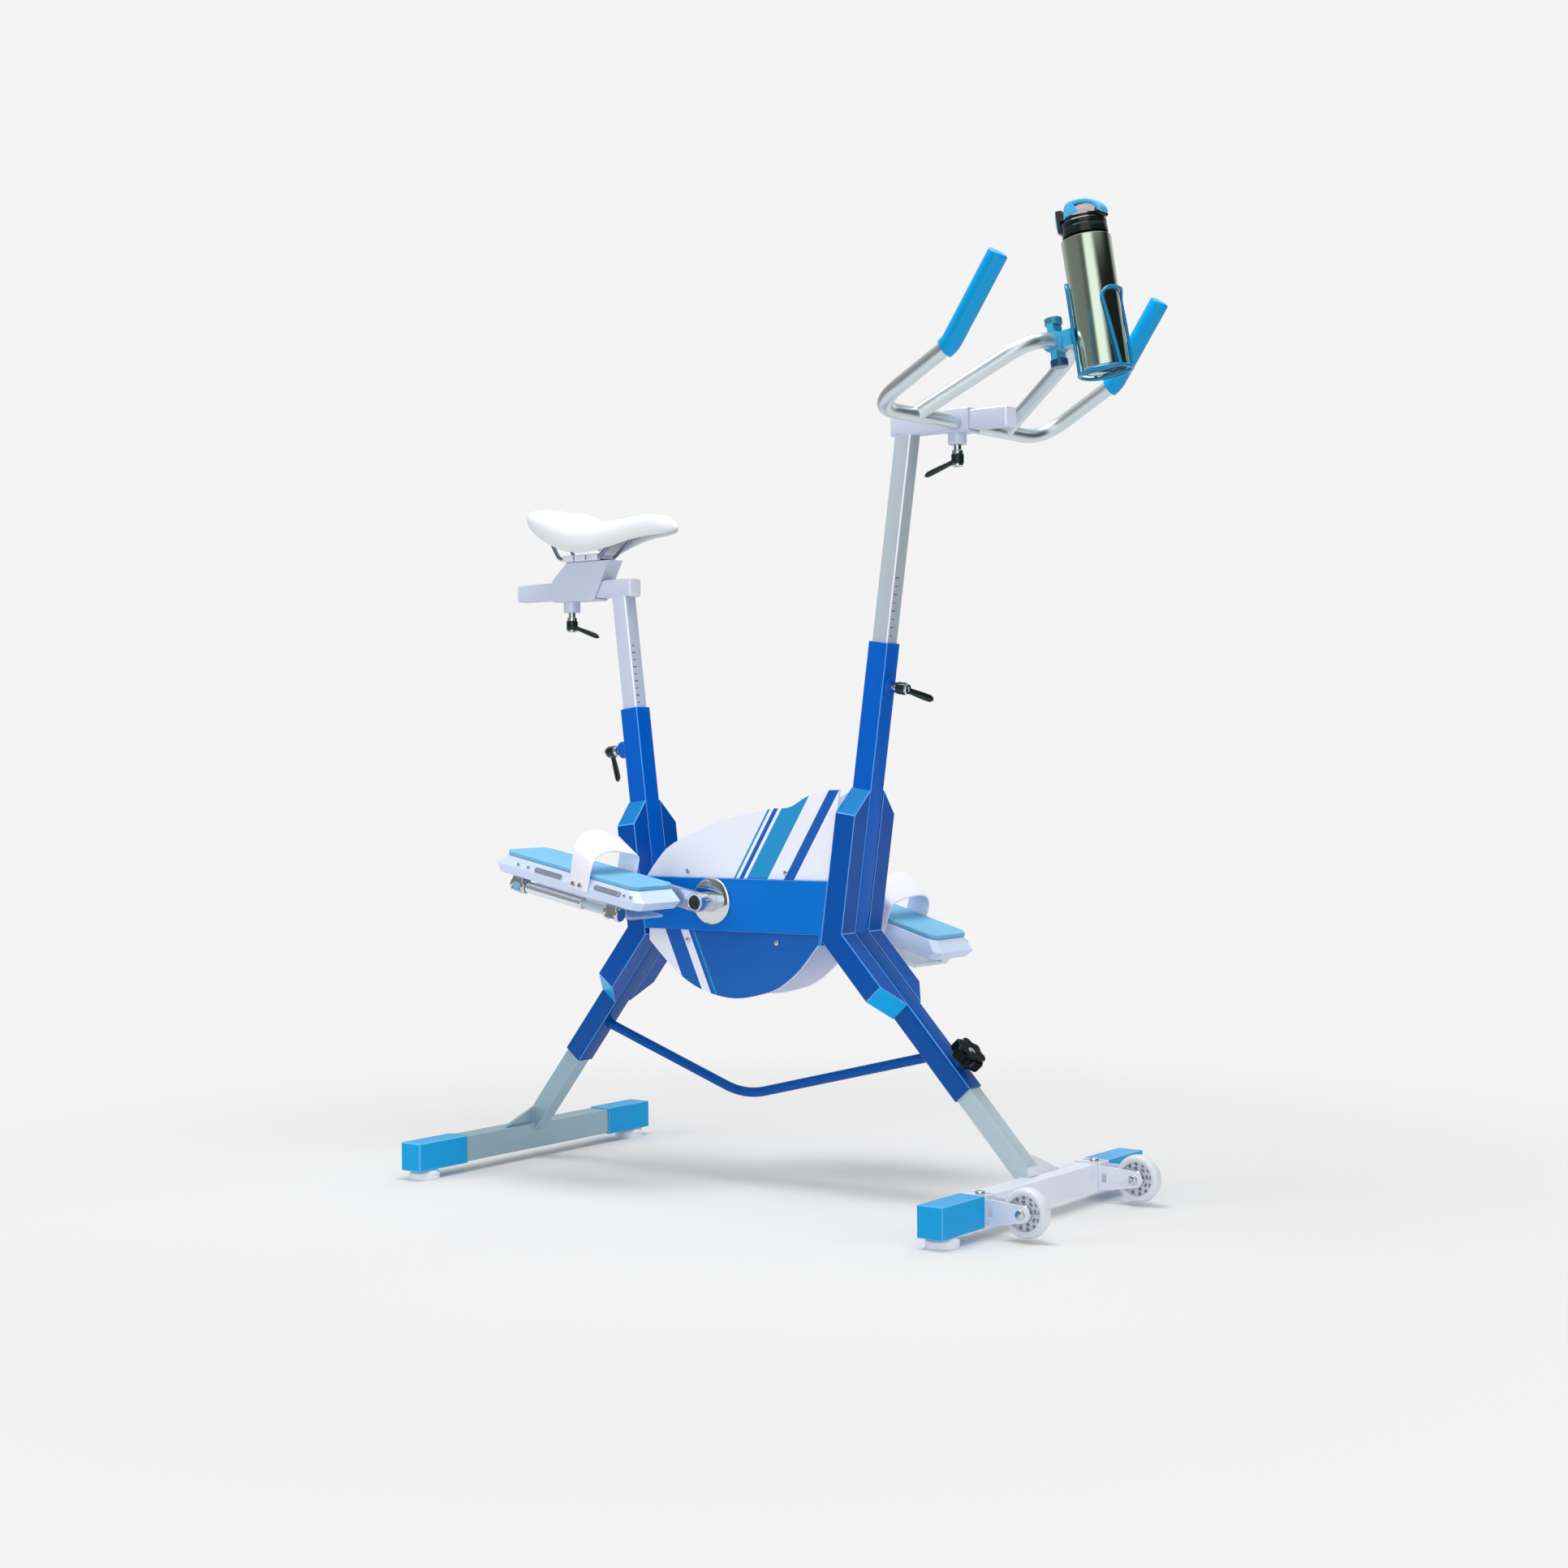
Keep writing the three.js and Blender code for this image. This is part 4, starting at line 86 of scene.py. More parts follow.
FEET_MIDDLE_X = (node_middle("front_foot_cap_left").x + node_middle("rear_foot_cap_left").x) / 2


def placed(points):
    """Points of the bike in millimetres, as points of the model in metres."""
    return np.asarray(points, float) * MM + (FEET_MIDDLE_X, 0, 0)


def photo_camera():
    """Heading, then pitch up from straight down, then roll, at the place the photograph was taken from."""
    camera = bpy.data.objects.new("photo_camera", bpy.data.cameras.new("photo_camera"))
    bpy.context.scene.collection.objects.link(camera)
    camera.data.sensor_width = SENSOR_WIDTH
    camera.data.lens = FOCAL_PX * SENSOR_WIDTH / PHOTO_SIZE
    heading = Matrix.Rotation(math.radians(CAMERA_HEADING_DEG), 4, "Z")
    pitch = Matrix.Rotation(math.radians(90 + CAMERA_PITCH_DEG), 4, "X")
    roll = Matrix.Rotation(math.radians(CAMERA_ROLL_DEG), 4, "Z")
    camera.matrix_world = Matrix.Translation(placed(CAMERA_PLACE)) @ heading @ pitch @ roll
    bpy.context.scene.camera = camera


photo_camera()


# Studio
# A seamless pale floor in a white room. Bright work mirrors a broad white light at one side, dark
# hangings beside it and a bright ceiling. Of the wide soft lamps, only the one overhead shows in mirrors.
ROOM_WHITE = 0.9
FLOOR_GREY = 0.66
FLOOR_GLOW = 0.085
FLOOR_FADE = (0.75, 2.0)
FLOOR_HALF = 3.4
LIGHT_WAY = (0.48, -0.877, 0)
LIGHT_BESIDE = (0.877, 0.48, 0)
ROUND_LEVELS = (
    (0, 0.55), (0.12, 0.5), (0.19, 0.277), (0.35, 0.24), (0.39, 0.129), (0.42, 0.166), (0.45, 1.35),
    (0.54, 1.35), (0.585, 0.277), (0.61, 0.0185), (0.84, 0.0185), (0.88, 0.4), (1, 0.55))
CEILING_LEVEL = 0.85
CEILING_SPAN = (0.55, 0.88)
PANELS = (
    ("overhead_panel", (0.1, -0.35, 3.2), (0, 0, 0.6), (1.5, 0.9), 50),
    ("left_panel", (-2.4, -2.9, 1.9), (0, 0, 0.8), (1.6, 2.0), 32),
    ("right_panel", (3.8, -0.6, 1.5), (0, 0, 0.8), (1.6, 2.0), 30),
    ("rear_panel", (1.0, 3.6, 2.2), (0, 0, 0.8), (1.6, 1.6), 15))


def colour(rgb):
    """A colour read from 0 to 255, as linear light."""
    level = np.array(rgb) / 255
    return (*np.where(level > 0.04045, ((level + 0.055) / 1.055) ** 2.4, level / 12.92), 1)


def link(name, mesh):
    piece = bpy.data.objects.new(name, mesh)
    bpy.context.scene.collection.objects.link(piece)
    return piece


def smooth_step(tree, value, low, high):
    """A smooth step from 0 to 1 as the value goes from low to high."""
    step = tree.nodes.new("ShaderNodeMapRange")
    step.interpolation_type = "SMOOTHSTEP"
    step.inputs["From Min"].default_value = low
    step.inputs["From Max"].default_value = high
    tree.links.new(value, step.inputs["Value"])
    return step.outputs[0]


def studio_floor():
    """Grey paper with a glow of its own, which fades with distance to the room's even white."""
    half = FLOOR_HALF
    corners = [(-half, -half, 0), (half, -half, 0), (half, half, 0), (-half, half, 0)]
    mesh = bpy.data.meshes.new("studio_floor")
    mesh.from_pydata(corners, [], [(0, 1, 2, 3)])
    paper = bpy.data.materials.new("pale_paper")
    paper.use_nodes = True
    tree = paper.node_tree
    shader = tree.nodes["Principled BSDF"]
    shader.inputs["Base Color"].default_value = (FLOOR_GREY, FLOOR_GREY, FLOOR_GREY, 1)
    shader.inputs["Roughness"].default_value = 0.9
    shader.inputs["Specular IOR Level"].default_value = 0
    shader.inputs["Emission Color"].default_value = (1, 1, 1, 1)
    shader.inputs["Emission Strength"].default_value = FLOOR_GLOW
    far = tree.nodes.new("ShaderNodeEmission")
    far.inputs["Strength"].default_value = ROOM_WHITE
    distance = tree.nodes.new("ShaderNodeVectorMath")
    distance.operation = "LENGTH"
    blend = tree.nodes.new("ShaderNodeMixShader")
    tree.links.new(tree.nodes.new("ShaderNodeTexCoord").outputs["Object"], distance.inputs[0])
    tree.links.new(smooth_step(tree, distance.outputs["Value"], *FLOOR_FADE), blend.inputs[0])
    tree.links.new(shader.outputs[0], blend.inputs[1])
    tree.links.new(far.outputs[0], blend.inputs[2])
    tree.links.new(blend.outputs[0], tree.nodes["Material Output"].inputs["Surface"])
    mesh.materials.append(paper)
    link("studio_floor", mesh)


def panel(name, place, aim, size, power):
    """A wide soft lamp at a place, turned to face its aim, in metres and watts."""
    light = bpy.data.objects.new(name, bpy.data.lights.new(name, "AREA"))
    bpy.context.scene.collection.objects.link(light)
    light.data.shape = "RECTANGLE"
    light.data.size, light.data.size_y = size
    light.data.energy = power
    light.visible_glossy = name == "overhead_panel"
    toward = Vector(aim) - Vector(place)
    light.matrix_world = Matrix.Translation(place) @ toward.to_track_quat("-Z", "Y").to_matrix().to_4x4()


def along_way(tree, value, way):
    """How far a direction points along a fixed one."""
    share = tree.nodes.new("ShaderNodeVectorMath")
    share.operation = "DOT_PRODUCT"
    share.inputs[1].default_value = way
    tree.links.new(value, share.inputs[0])
    return share.outputs["Value"]


def surround():
    """The camera sees even white. The bike sees a ceiling, and walls whose light follows their heading."""
    world = bpy.data.worlds.new("surround")
    world.use_nodes = True
    tree = world.node_tree
    heading = tree.nodes.new("ShaderNodeTexCoord").outputs["Generated"]
    turn = tree.nodes.new("ShaderNodeMath")
    turn.operation = "ARCTAN2"
    tree.links.new(along_way(tree, heading, LIGHT_BESIDE), turn.inputs[0])
    tree.links.new(along_way(tree, heading, LIGHT_WAY), turn.inputs[1])
    share = tree.nodes.new("ShaderNodeMapRange")
    share.inputs["From Min"].default_value = -math.pi
    share.inputs["From Max"].default_value = math.pi
    tree.links.new(turn.outputs[0], share.inputs["Value"])
    walls = tree.nodes.new("ShaderNodeValToRGB")
    ramp = walls.color_ramp.elements
    for number, (place, level) in enumerate(ROUND_LEVELS):
        stop = ramp[0] if number == 0 else ramp.new(place)
        stop.position = place
        stop.color = (level, level, level, 1)
    ramp.remove(ramp[-1])
    tree.links.new(share.outputs[0], walls.inputs["Fac"])
    room = tree.nodes.new("ShaderNodeMix")
    ceiling = smooth_step(tree, along_way(tree, heading, (0, 0, 1)), *CEILING_SPAN)
    tree.links.new(ceiling, room.inputs["Factor"])
    tree.links.new(walls.outputs["Color"], room.inputs["A"])
    room.inputs["B"].default_value = CEILING_LEVEL
    view = tree.nodes.new("ShaderNodeMix")
    tree.links.new(tree.nodes.new("ShaderNodeLightPath").outputs["Is Camera Ray"], view.inputs["Factor"])
    tree.links.new(room.outputs["Result"], view.inputs["A"])
    view.inputs["B"].default_value = ROOM_WHITE
    tree.links.new(view.outputs["Result"], tree.nodes["Background"].inputs["Color"])
    bpy.context.scene.world = world


studio_floor()
surround()
for values in PANELS:
    panel(*values)
bpy.context.scene.view_settings.view_transform = "Standard"


# Frame tubes
# Two square steel tubes, each bent once at its knee: the upper run takes a sliding post, the lower
# run a leg. They are powder coated in blue; below the knee the blue is painted darker as painted shade,
# and the corners' middle facets are painted lighter as painted highlights. Their bosses are welded on.
TUBE_HALF = 20
TUBE_CORNER = 4.5
TUBE_WALL = 3.6
TUBE_RIM = 0.9
CORNER_STEPS = 5
KNEES = {"front": (190, 445), "rear": (-238, 442)}
UPPER_LEAN_DEGS = {"front": 8.34, "rear": -6.79}
LOWER_LEAN_DEGS = {"front": -42.447, "rear": 38.628}
UPPER_LENGTHS = {"front": 503.8, "rear": 402.8}
LOWER_LENGTHS = {"front": 344, "rear": 306}
FINE_GRAIN = (900, 900, 0.04)


def finish(name, rgb, roughness, metallic=0.0, coat=0.0, grain=None, alpha=1.0, gloss=0.5):
    """A finish. Its grain is noise in the surface: the scale across Z, the scale along Z, and the depth."""
    material = bpy.data.materials.new(name)
    material.use_nodes = True
    tree = material.node_tree
    shader = tree.nodes["Principled BSDF"]
    shader.inputs["Base Color"].default_value = colour(rgb)
    shader.inputs["Roughness"].default_value = roughness
    shader.inputs["Metallic"].default_value = metallic
    shader.inputs["Specular IOR Level"].default_value = gloss
    shader.inputs["Coat Weight"].default_value = coat
    shader.inputs["Coat Roughness"].default_value = 0.08
    shader.inputs["Alpha"].default_value = alpha
    if grain:
        across, along, depth = grain
        stretch = tree.nodes.new("ShaderNodeMapping")
        stretch.inputs["Scale"].default_value = (across, across, along)
        noise = tree.nodes.new("ShaderNodeTexNoise")
        noise.inputs["Scale"].default_value = 1
        noise.inputs["Detail"].default_value = 3
        bump = tree.nodes.new("ShaderNodeBump")
        bump.inputs["Strength"].default_value = depth
        bump.inputs["Distance"].default_value = 0.5 * MM
        tree.links.new(tree.nodes.new("ShaderNodeTexCoord").outputs["Object"], stretch.inputs["Vector"])
        tree.links.new(stretch.outputs["Vector"], noise.inputs["Vector"])
        tree.links.new(noise.outputs["Fac"], bump.inputs["Height"])
        tree.links.new(bump.outputs["Normal"], shader.inputs["Normal"])
    return material


def powder_coat(name, rgb, roughness=0.28, grain=FINE_GRAIN, gloss=0.12):
    """Low gloss paint under a thin clear coat."""
    return finish(name, rgb, roughness, coat=0.12, grain=grain, gloss=gloss)


def goes_with(piece, node):
    """The piece takes the motion of a CAD node."""
    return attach(piece, frame["nodes"][node]["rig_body"])


def stands_for(piece, node):
    """The piece also takes the CAD node's place."""
    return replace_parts(goes_with(piece, node), node)


def shaded(mesh, sharp_deg=32):
    """Faces are smooth except across edges that are sharper than the angle."""
    mesh.polygons.foreach_set("use_smooth", np.ones(len(mesh.polygons), bool))
    mesh.set_sharp_from_angle(angle=math.radians(sharp_deg))


def piece_of(name, points, faces, material, sharp_deg=32):
    """A closed piece from points in millimetres, with its faces turned outwards."""
    mesh = bpy.data.meshes.new(name)
    mesh.from_pydata(placed(np.reshape(points, (-1, 3))).tolist(), [], faces)
    shell = bmesh.new()
    shell.from_mesh(mesh)
    bmesh.ops.recalc_face_normals(shell, faces=shell.faces)
    shell.to_mesh(mesh)
    shell.free()
    mesh.materials.append(material)
    shaded(mesh, sharp_deg)
    return link(name, mesh)


def skinned(name, rings, material, closed=False, sharp_deg=32):
    """A skin over rings of points, rings[i, j]: flat at both ends, or closed on itself."""
    rings = np.asarray(rings, float)
    count, around = rings.shape[:2]
    ring = np.arange(count if closed else count - 1)[:, None] * around
    step = np.arange(around)[None, :]
    ahead, beside = (ring + around) % (count * around), (step + 1) % around
    faces = np.stack([ring + step, ring + beside, ahead + beside, ahead + step], -1).reshape(-1, 4).tolist()
    if not closed:
        faces += [list(range(around)), list(range((count - 1) * around, count * around))]
    return piece_of(name, rings, faces, material, sharp_deg)


def rounded_box(half_u, half_v, corner, steps=CORNER_STEPS):
    """A rectangle with round corners: each corner is a quarter circle about its own centre."""
    turn = np.radians(np.linspace(0, 90, steps + 1)[None, :] + np.array([0, 90, 180, 270])[:, None])
    centre_u = np.array([1, -1, -1, 1])[:, None] * (half_u - corner)
    centre_v = np.array([1, 1, -1, -1])[:, None] * (half_v - corner)
    outline = np.stack([centre_u + corner * np.cos(turn), centre_v + corner * np.sin(turn)], -1)
    return outline.reshape(-1, 2)


def upward(lean_deg):
    """The way up along a leaning tube, as X and Z."""
    turn = math.radians(lean_deg)
    return np.array([math.sin(turn), math.cos(turn)])


def forward_of(way):
    """The way forwards, a quarter turn from a way up, as X and Z."""
    return np.array([way[1], -way[0]])


def knee_ways(end):
    """The ways up a bent tube's lower and upper runs, and the way across it on the knee's mitre."""
    lower, upper = upward(LOWER_LEAN_DEGS[end]), upward(UPPER_LEAN_DEGS[end])
    mitre = forward_of(lower) + forward_of(upper)
    return lower, upper, mitre / (mitre @ forward_of(lower))


def station(point, across, profile):
    """A ring where a profile's first axis runs across the tube in the bike's plane and its second along Y."""
    return np.stack([
        point[0] + profile[:, 0] * across[0], profile[:, 1], point[1] + profile[:, 0] * across[1]], -1)


def bent_tube(end, material):
    """Rings go up the outside from the leg's mouth over the mitred knee to the post's, and back inside."""
    knee = np.array(KNEES[end], float)
    lower, upper, mitre = knee_ways(end)
    ahead_low, ahead_high = forward_of(lower), forward_of(upper)
    foot, top = knee - LOWER_LENGTHS[end] * lower, knee + UPPER_LENGTHS[end] * upper
    stops = [
        (foot, ahead_low, TUBE_RIM), (foot + lower * TUBE_RIM, ahead_low, 0), (knee, mitre, 0),
        (top - upper * TUBE_RIM, ahead_high, 0), (top, ahead_high, TUBE_RIM),
        (top, ahead_high, TUBE_WALL), (knee, mitre, TUBE_WALL), (foot, ahead_low, TUBE_WALL)]
    rings = []
    for point, across, inset in stops:
        outline = rounded_box(TUBE_HALF - inset, TUBE_HALF - inset, max(TUBE_CORNER - inset, 1.2))
        rings.append(station(point, across, outline))
    return skinned(f"{end}_tube", rings, material, closed=True)


def leaning(points, x, z, degrees):
    """Points along a leaning frame's own X, Y and Z, as points of the bike."""
    turn = math.radians(degrees)
    points = np.asarray(points, float)
    return np.stack([
        x + points[..., 0] * math.cos(turn) + points[..., 2] * math.sin(turn),
        points[..., 1],
        z - points[..., 0] * math.sin(turn) + points[..., 2] * math.cos(turn)], -1)


def turned_rings(profile, around=36):
    """A profile of radius and height, turned about Z."""
    profile = np.asarray(profile, float)
    turn = np.linspace(0, 2 * np.pi, around, endpoint=False)
    radius, height = profile[:, :1], profile[:, 1:]
    return np.stack([radius * np.cos(turn), radius * np.sin(turn), height + 0 * turn], -1)


def aimed(points, origin, axis):
    """Points about Z, turned so that Z runs along the axis, with the origin as their zero."""
    turn = Vector((0, 0, 1)).rotation_difference(Vector(axis)).to_matrix()
    return np.asarray(points) @ np.array(turn).T + np.asarray(origin, float)


def turned(name, profile, origin, axis, material, closed=False, around=36, sharp_deg=32):
    """A profile of radius and height, turned about an axis through the origin."""
    rings = aimed(turned_rings(profile, around), origin, axis)
    return skinned(name, rings, material, closed, sharp_deg)


def thin_edges(piece, edge_material, first=2, count=1):
    """The middle facets of each rounded corner of a square tube take a lighter finish, a painted highlight
    where the light catches.
    """
    piece.data.materials.append(edge_material)
    number = len(piece.data.materials) - 1
    steps = CORNER_STEPS + 1
    for face in piece.data.polygons:
        places = [corner % (4 * steps) for corner in face.vertices]
        beside = len(places) == 4 and max(places) - min(places) == 1
        if beside and first <= min(places) % steps < first + count:
            face.material_index = number
    return piece


def below(piece, height, material):
    """Faces below a height in millimetres take another finish."""
    piece.data.materials.append(material)
    for face in piece.data.polygons:
        if face.center.z < height * MM:
            face.material_index = len(piece.data.materials) - 1
    return piece


FRAME_BLUE = powder_coat("frame_blue", (0, 94, 196))
LEG_BLUE = powder_coat("leg_painted_shade_blue", (0, 78, 158))
EDGE_BLUE = powder_coat("painted_highlight_blue", (104, 164, 234), 0.2, None)
# Faces below the knee take a darker blue as painted shade, and the corners' middle facets take a lighter blue
# as a painted highlight.
for end in ("front", "rear"):
    tube = below(bent_tube(end, FRAME_BLUE), KNEES[end][1], LEG_BLUE)
    stands_for(thin_edges(tube, EDGE_BLUE), f"{end}_frame")

LEVER_BOSS_RADIUS = 15.5
STUD_BORE = 5.3
MAST_BOSS_ALONG = 431
SEAT_BOSS_ALONG = 331
LEG_BOSS_ALONG = -296


def boss(name, end, leans, along, side, height, radius, material):
    """A short welded cylinder with an eased rim, on the front (side 1) or back (side -1) of a tube."""
    base = leaning([side * TUBE_HALF, 0, along], *KNEES[end], leans[end])
    axis = leaning([side, 0, 0], 0, 0, leans[end])
    profile = [(radius, -2), (radius, height - 1), (radius - 1, height), (STUD_BORE, height)]
    goes_with(turned(name, profile, base, axis, material), f"{end}_frame")


boss("mast_boss", "front", UPPER_LEAN_DEGS, MAST_BOSS_ALONG, 1, 3, LEVER_BOSS_RADIUS, FRAME_BLUE)
boss("seat_tube_boss", "rear", UPPER_LEAN_DEGS, SEAT_BOSS_ALONG, -1, 20, LEVER_BOSS_RADIUS, FRAME_BLUE)
boss("leg_boss", "front", LOWER_LEAN_DEGS, LEG_BOSS_ALONG, 1, 9, 14, LEG_BLUE)


# Side boxes
# Pressed steel boxes welded on both sides of each knee make it 120 mm wide. Their outer slanted
# ends are painted lighter as painted highlights, a teal blue at the top and a sky blue at the bottom,
# and their rounded edges take the lighter painted highlight blue.
UPPER_CHAMFER_BLUE = powder_coat("upper_chamfer_painted_highlight", (0, 118, 186), 0.3, None)
LOWER_CHAMFER_BLUE = powder_coat("lower_chamfer_painted_highlight", (0, 170, 240), 0.3, None)
BOX_BLUE = powder_coat("box_blue", (0, 80, 168), 0.3)
BOX_INNER = TUBE_HALF + 0.3
BOX_REACH = 60
BOX_WALL = 3
BOX_CHAMFER = 42
BOX_SLOPE = BOX_CHAMFER / (BOX_REACH - BOX_INNER)
BOX_RUNS = {"front": (125, 212), "rear": (119, 191)}
HANDS = (("left", 1), ("right", -1))


def soft_edges(piece, width, segments=3, sharp_deg=30, material=None):
    """Edges sharper than the angle are rounded to a width in millimetres; the rounded faces may take a
    lighter finish as a painted highlight.
    """
    edge = piece.modifiers.new("edge", "BEVEL")
    if material:
        piece.data.materials.append(material)
        edge.material = len(piece.data.materials) - 1
    edge.width = width * MM
    edge.segments = segments
    edge.limit_method = "ANGLE"
    edge.angle_limit = math.radians(sharp_deg)
    edge.harden_normals = True
    return piece


def eased(node, material, width, segments=3, edge_material=None):
    """A CAD solid with its loose triangles merged, its flat faces made whole and its edges rounded."""
    mesh = frame["nodes"][node].data.copy()
    whole = bmesh.new()
    whole.from_mesh(mesh)
    bmesh.ops.remove_doubles(whole, verts=whole.verts, dist=0.01 * MM)
    bmesh.ops.dissolve_limit(whole, angle_limit=math.radians(0.6), verts=whole.verts, edges=whole.edges)
    whole.to_mesh(mesh)
    whole.free()
    mesh.materials.clear()
    mesh.materials.append(material)
    shaded(mesh, 30)
    piece = soft_edges(link(f"{node}_finished", mesh), width, segments, material=edge_material)
    return stands_for(piece, node)


def side_box(end, hand, side):
    """Rings of six points, the tube's outline at one Y: up the inside, over the mouth and up the outside."""
    drop, rise = BOX_RUNS[end]
    knee = np.array(KNEES[end], float)
    lower, upper, mitre = knee_ways(end)
    rows = [(BOX_REACH - BOX_WALL, BOX_WALL, -BOX_WALL),
            (BOX_INNER, BOX_WALL, BOX_CHAMFER - BOX_WALL * (1 + BOX_SLOPE)), (BOX_INNER, 0, BOX_CHAMFER),
            (BOX_REACH, 0, 0)]
    rings = []
    for y, inset, extra in rows:
        stops = [(knee - (drop + extra) * lower, forward_of(lower)), (knee, mitre),
                 (knee + (rise + extra) * upper, forward_of(upper))]
        ahead = [point + across * (TUBE_HALF - inset) for point, across in stops]
        behind = [point - across * (TUBE_HALF - inset) for point, across in stops[::-1]]
        rings.append([(x, side * y, z) for x, z in ahead + behind])
    box = skinned(f"{end}_side_box_{hand}_shell", rings, BOX_BLUE)
    box.data.materials.append(UPPER_CHAMFER_BLUE)
    box.data.materials.append(LOWER_CHAMFER_BLUE)
    # Outer slanted faces take the painted highlight blues, upward ones and downward ones; the rest keep the
    # box blue.
    for face in box.data.polygons:
        slanted = 0.25 < face.normal.y * side < 0.95
        face.material_index = (1 if face.normal.z > 0 else 2) if slanted else 0
    stands_for(soft_edges(box, 1.1, material=EDGE_BLUE), f"{end}_side_box_{hand}")


for hand, side in HANDS:
    side_box("front", hand, side)
    side_box("rear", hand, side)


# Main beam
# A welded box section between the knees, with a thicker flange bolted to the front tube. It is
# powder coated a lighter blue than the tubes.
BEAM_BLUE = powder_coat("beam_blue", (0, 112, 208))
# The beam's rounded edges take the lighter blue as a painted highlight.
eased("main_beam", BEAM_BLUE, 1.1, edge_material=EDGE_BLUE)


# Brace
# One round tube, bent once below the beam and welded between the two lower runs. It is painted
# in a darker blue than the upper runs, as painted shade like the lower runs.
BRACE_BLUE = powder_coat("brace_painted_shade_blue", (0, 80, 162), 0.3, None)
BRACE_RADIUS = 8.5
BRACE_BEND = (-41.8, 0, 154)
BRACE_BEND_REACH = 45
BRACE_ALONG = {"rear": -219.5, "front": -261}
BRACE_MEETS_TUBE_DEG = 26


def eased_path(points, reaches, steps=12):
    """Straight runs whose corners are rounded: each bend is a curve that starts and ends a reach from it."""
    points = np.asarray(points, float)
    share = np.linspace(0, 1, steps + 1)[:, None]
    rows = [points[:1]]
    for before, corner, after, reach in zip(points[:-2], points[1:-1], points[2:], reaches):
        start = corner + (before - corner) / np.linalg.norm(before - corner) * reach
        end = corner + (after - corner) / np.linalg.norm(after - corner) * reach
        rows.append((1 - share) ** 2 * start + 2 * share * (1 - share) * corner + share ** 2 * end)
    return np.concatenate(rows + [points[-1:]])


def carried(path, profile, up):
    """A profile at every point of a path, square to the run, with its second axis kept nearest to up."""
    path = np.asarray(path, float)
    heading = np.gradient(path, axis=0)
    heading /= np.linalg.norm(heading, axis=1, keepdims=True)
    side = np.cross(np.asarray(up, float), heading)
    side /= np.linalg.norm(side, axis=1, keepdims=True)
    rise = np.cross(heading, side)
    profile = np.broadcast_to(profile, (len(path),) + np.shape(profile)[-2:])
    return path[:, None] + profile[..., :1] * side[:, None] + profile[..., 1:] * rise[:, None]


def circle(radius, around=24):
    """Points spaced evenly round a circle."""
    turn = np.linspace(0, 2 * np.pi, around, endpoint=False)
    return np.stack([radius * np.cos(turn), radius * np.sin(turn)], -1)


def brace():
    """A circle along a line that starts and ends on the tubes' skins and turns at its bend."""
    bend = np.array(BRACE_BEND)
    from_axis = (TUBE_HALF - 1) / math.cos(math.radians(BRACE_MEETS_TUBE_DEG))
    ends = []
    for end, along in BRACE_ALONG.items():
        on_axis = leaning([0, 0, along], *KNEES[end], LOWER_LEAN_DEGS[end])
        ends.append(on_axis + (bend - on_axis) / np.linalg.norm(bend - on_axis) * from_axis)
    path = eased_path([ends[0], bend, ends[1]], [BRACE_BEND_REACH])
    return skinned("brace_tube_finished", carried(path, circle(BRACE_RADIUS), (0, 1, 0)), BRACE_BLUE)


stands_for(brace(), "brace_tube")


# Covers
# Flat white plastic sheets, 4 mm thick, stand on the beam and hang under it on both sides. The
# outer faces carry a plain design of slanted stripes, and small pan-head screws hold the sheets.
COVER_FACE = 55
SHEET_WHITE = (238, 241, 252)
STRIPE_BLUE = (40, 147, 205)
STRIPE_DEEP = (24, 96, 182)
COVER_WHITE = finish("cover_white", SHEET_WHITE, 0.42, coat=0.2)
SCREW_STEEL = finish("screw_steel", (205, 210, 215), 0.25, 1)
SCREW_RADIUS = 4.6
SCREW_PLACES = (
    ("upper", -121.7, 551.5), ("lower", -123.3, 429.4), ("lower", 71.2, 431.2), ("upper", 92, 552))


def striped_sheet(name, ground, slant_deg, middle, stripes):
    """Straight stripes: each covers a span of the distance from the middle, measured across the slant."""
    material = finish(name, ground, 0.35, coat=0.1, gloss=0.15)
    tree = material.node_tree
    across = tree.nodes.new("ShaderNodeMapping")
    across.vector_type = "TEXTURE"
    across.inputs["Location"].default_value = placed(middle)
    across.inputs["Rotation"].default_value = (0, math.radians(slant_deg), 0)
    across.inputs["Scale"].default_value = (MM, MM, MM)
    split = tree.nodes.new("ShaderNodeSeparateXYZ")
    tree.links.new(tree.nodes.new("ShaderNodeTexCoord").outputs["Object"], across.inputs["Vector"])
    tree.links.new(across.outputs["Vector"], split.inputs["Vector"])
    under = None
    for start, end, stripe in stripes:
        inside = tree.nodes.new("ShaderNodeMath")
        inside.operation = "COMPARE"
        tree.links.new(split.outputs["X"], inside.inputs[0])
        inside.inputs[1].default_value = (start + end) / 2
        inside.inputs[2].default_value = (end - start) / 2
        layer = tree.nodes.new("ShaderNodeMix")
        layer.data_type = "RGBA"
        layer.inputs["A"].default_value = colour(ground)
        layer.inputs["B"].default_value = colour(stripe)
        tree.links.new(inside.outputs[0], layer.inputs["Factor"])
        if under:
            tree.links.new(under, layer.inputs["A"])
        under = layer.outputs["Result"]
    tree.links.new(under, tree.nodes["Principled BSDF"].inputs["Base Color"])
    return material


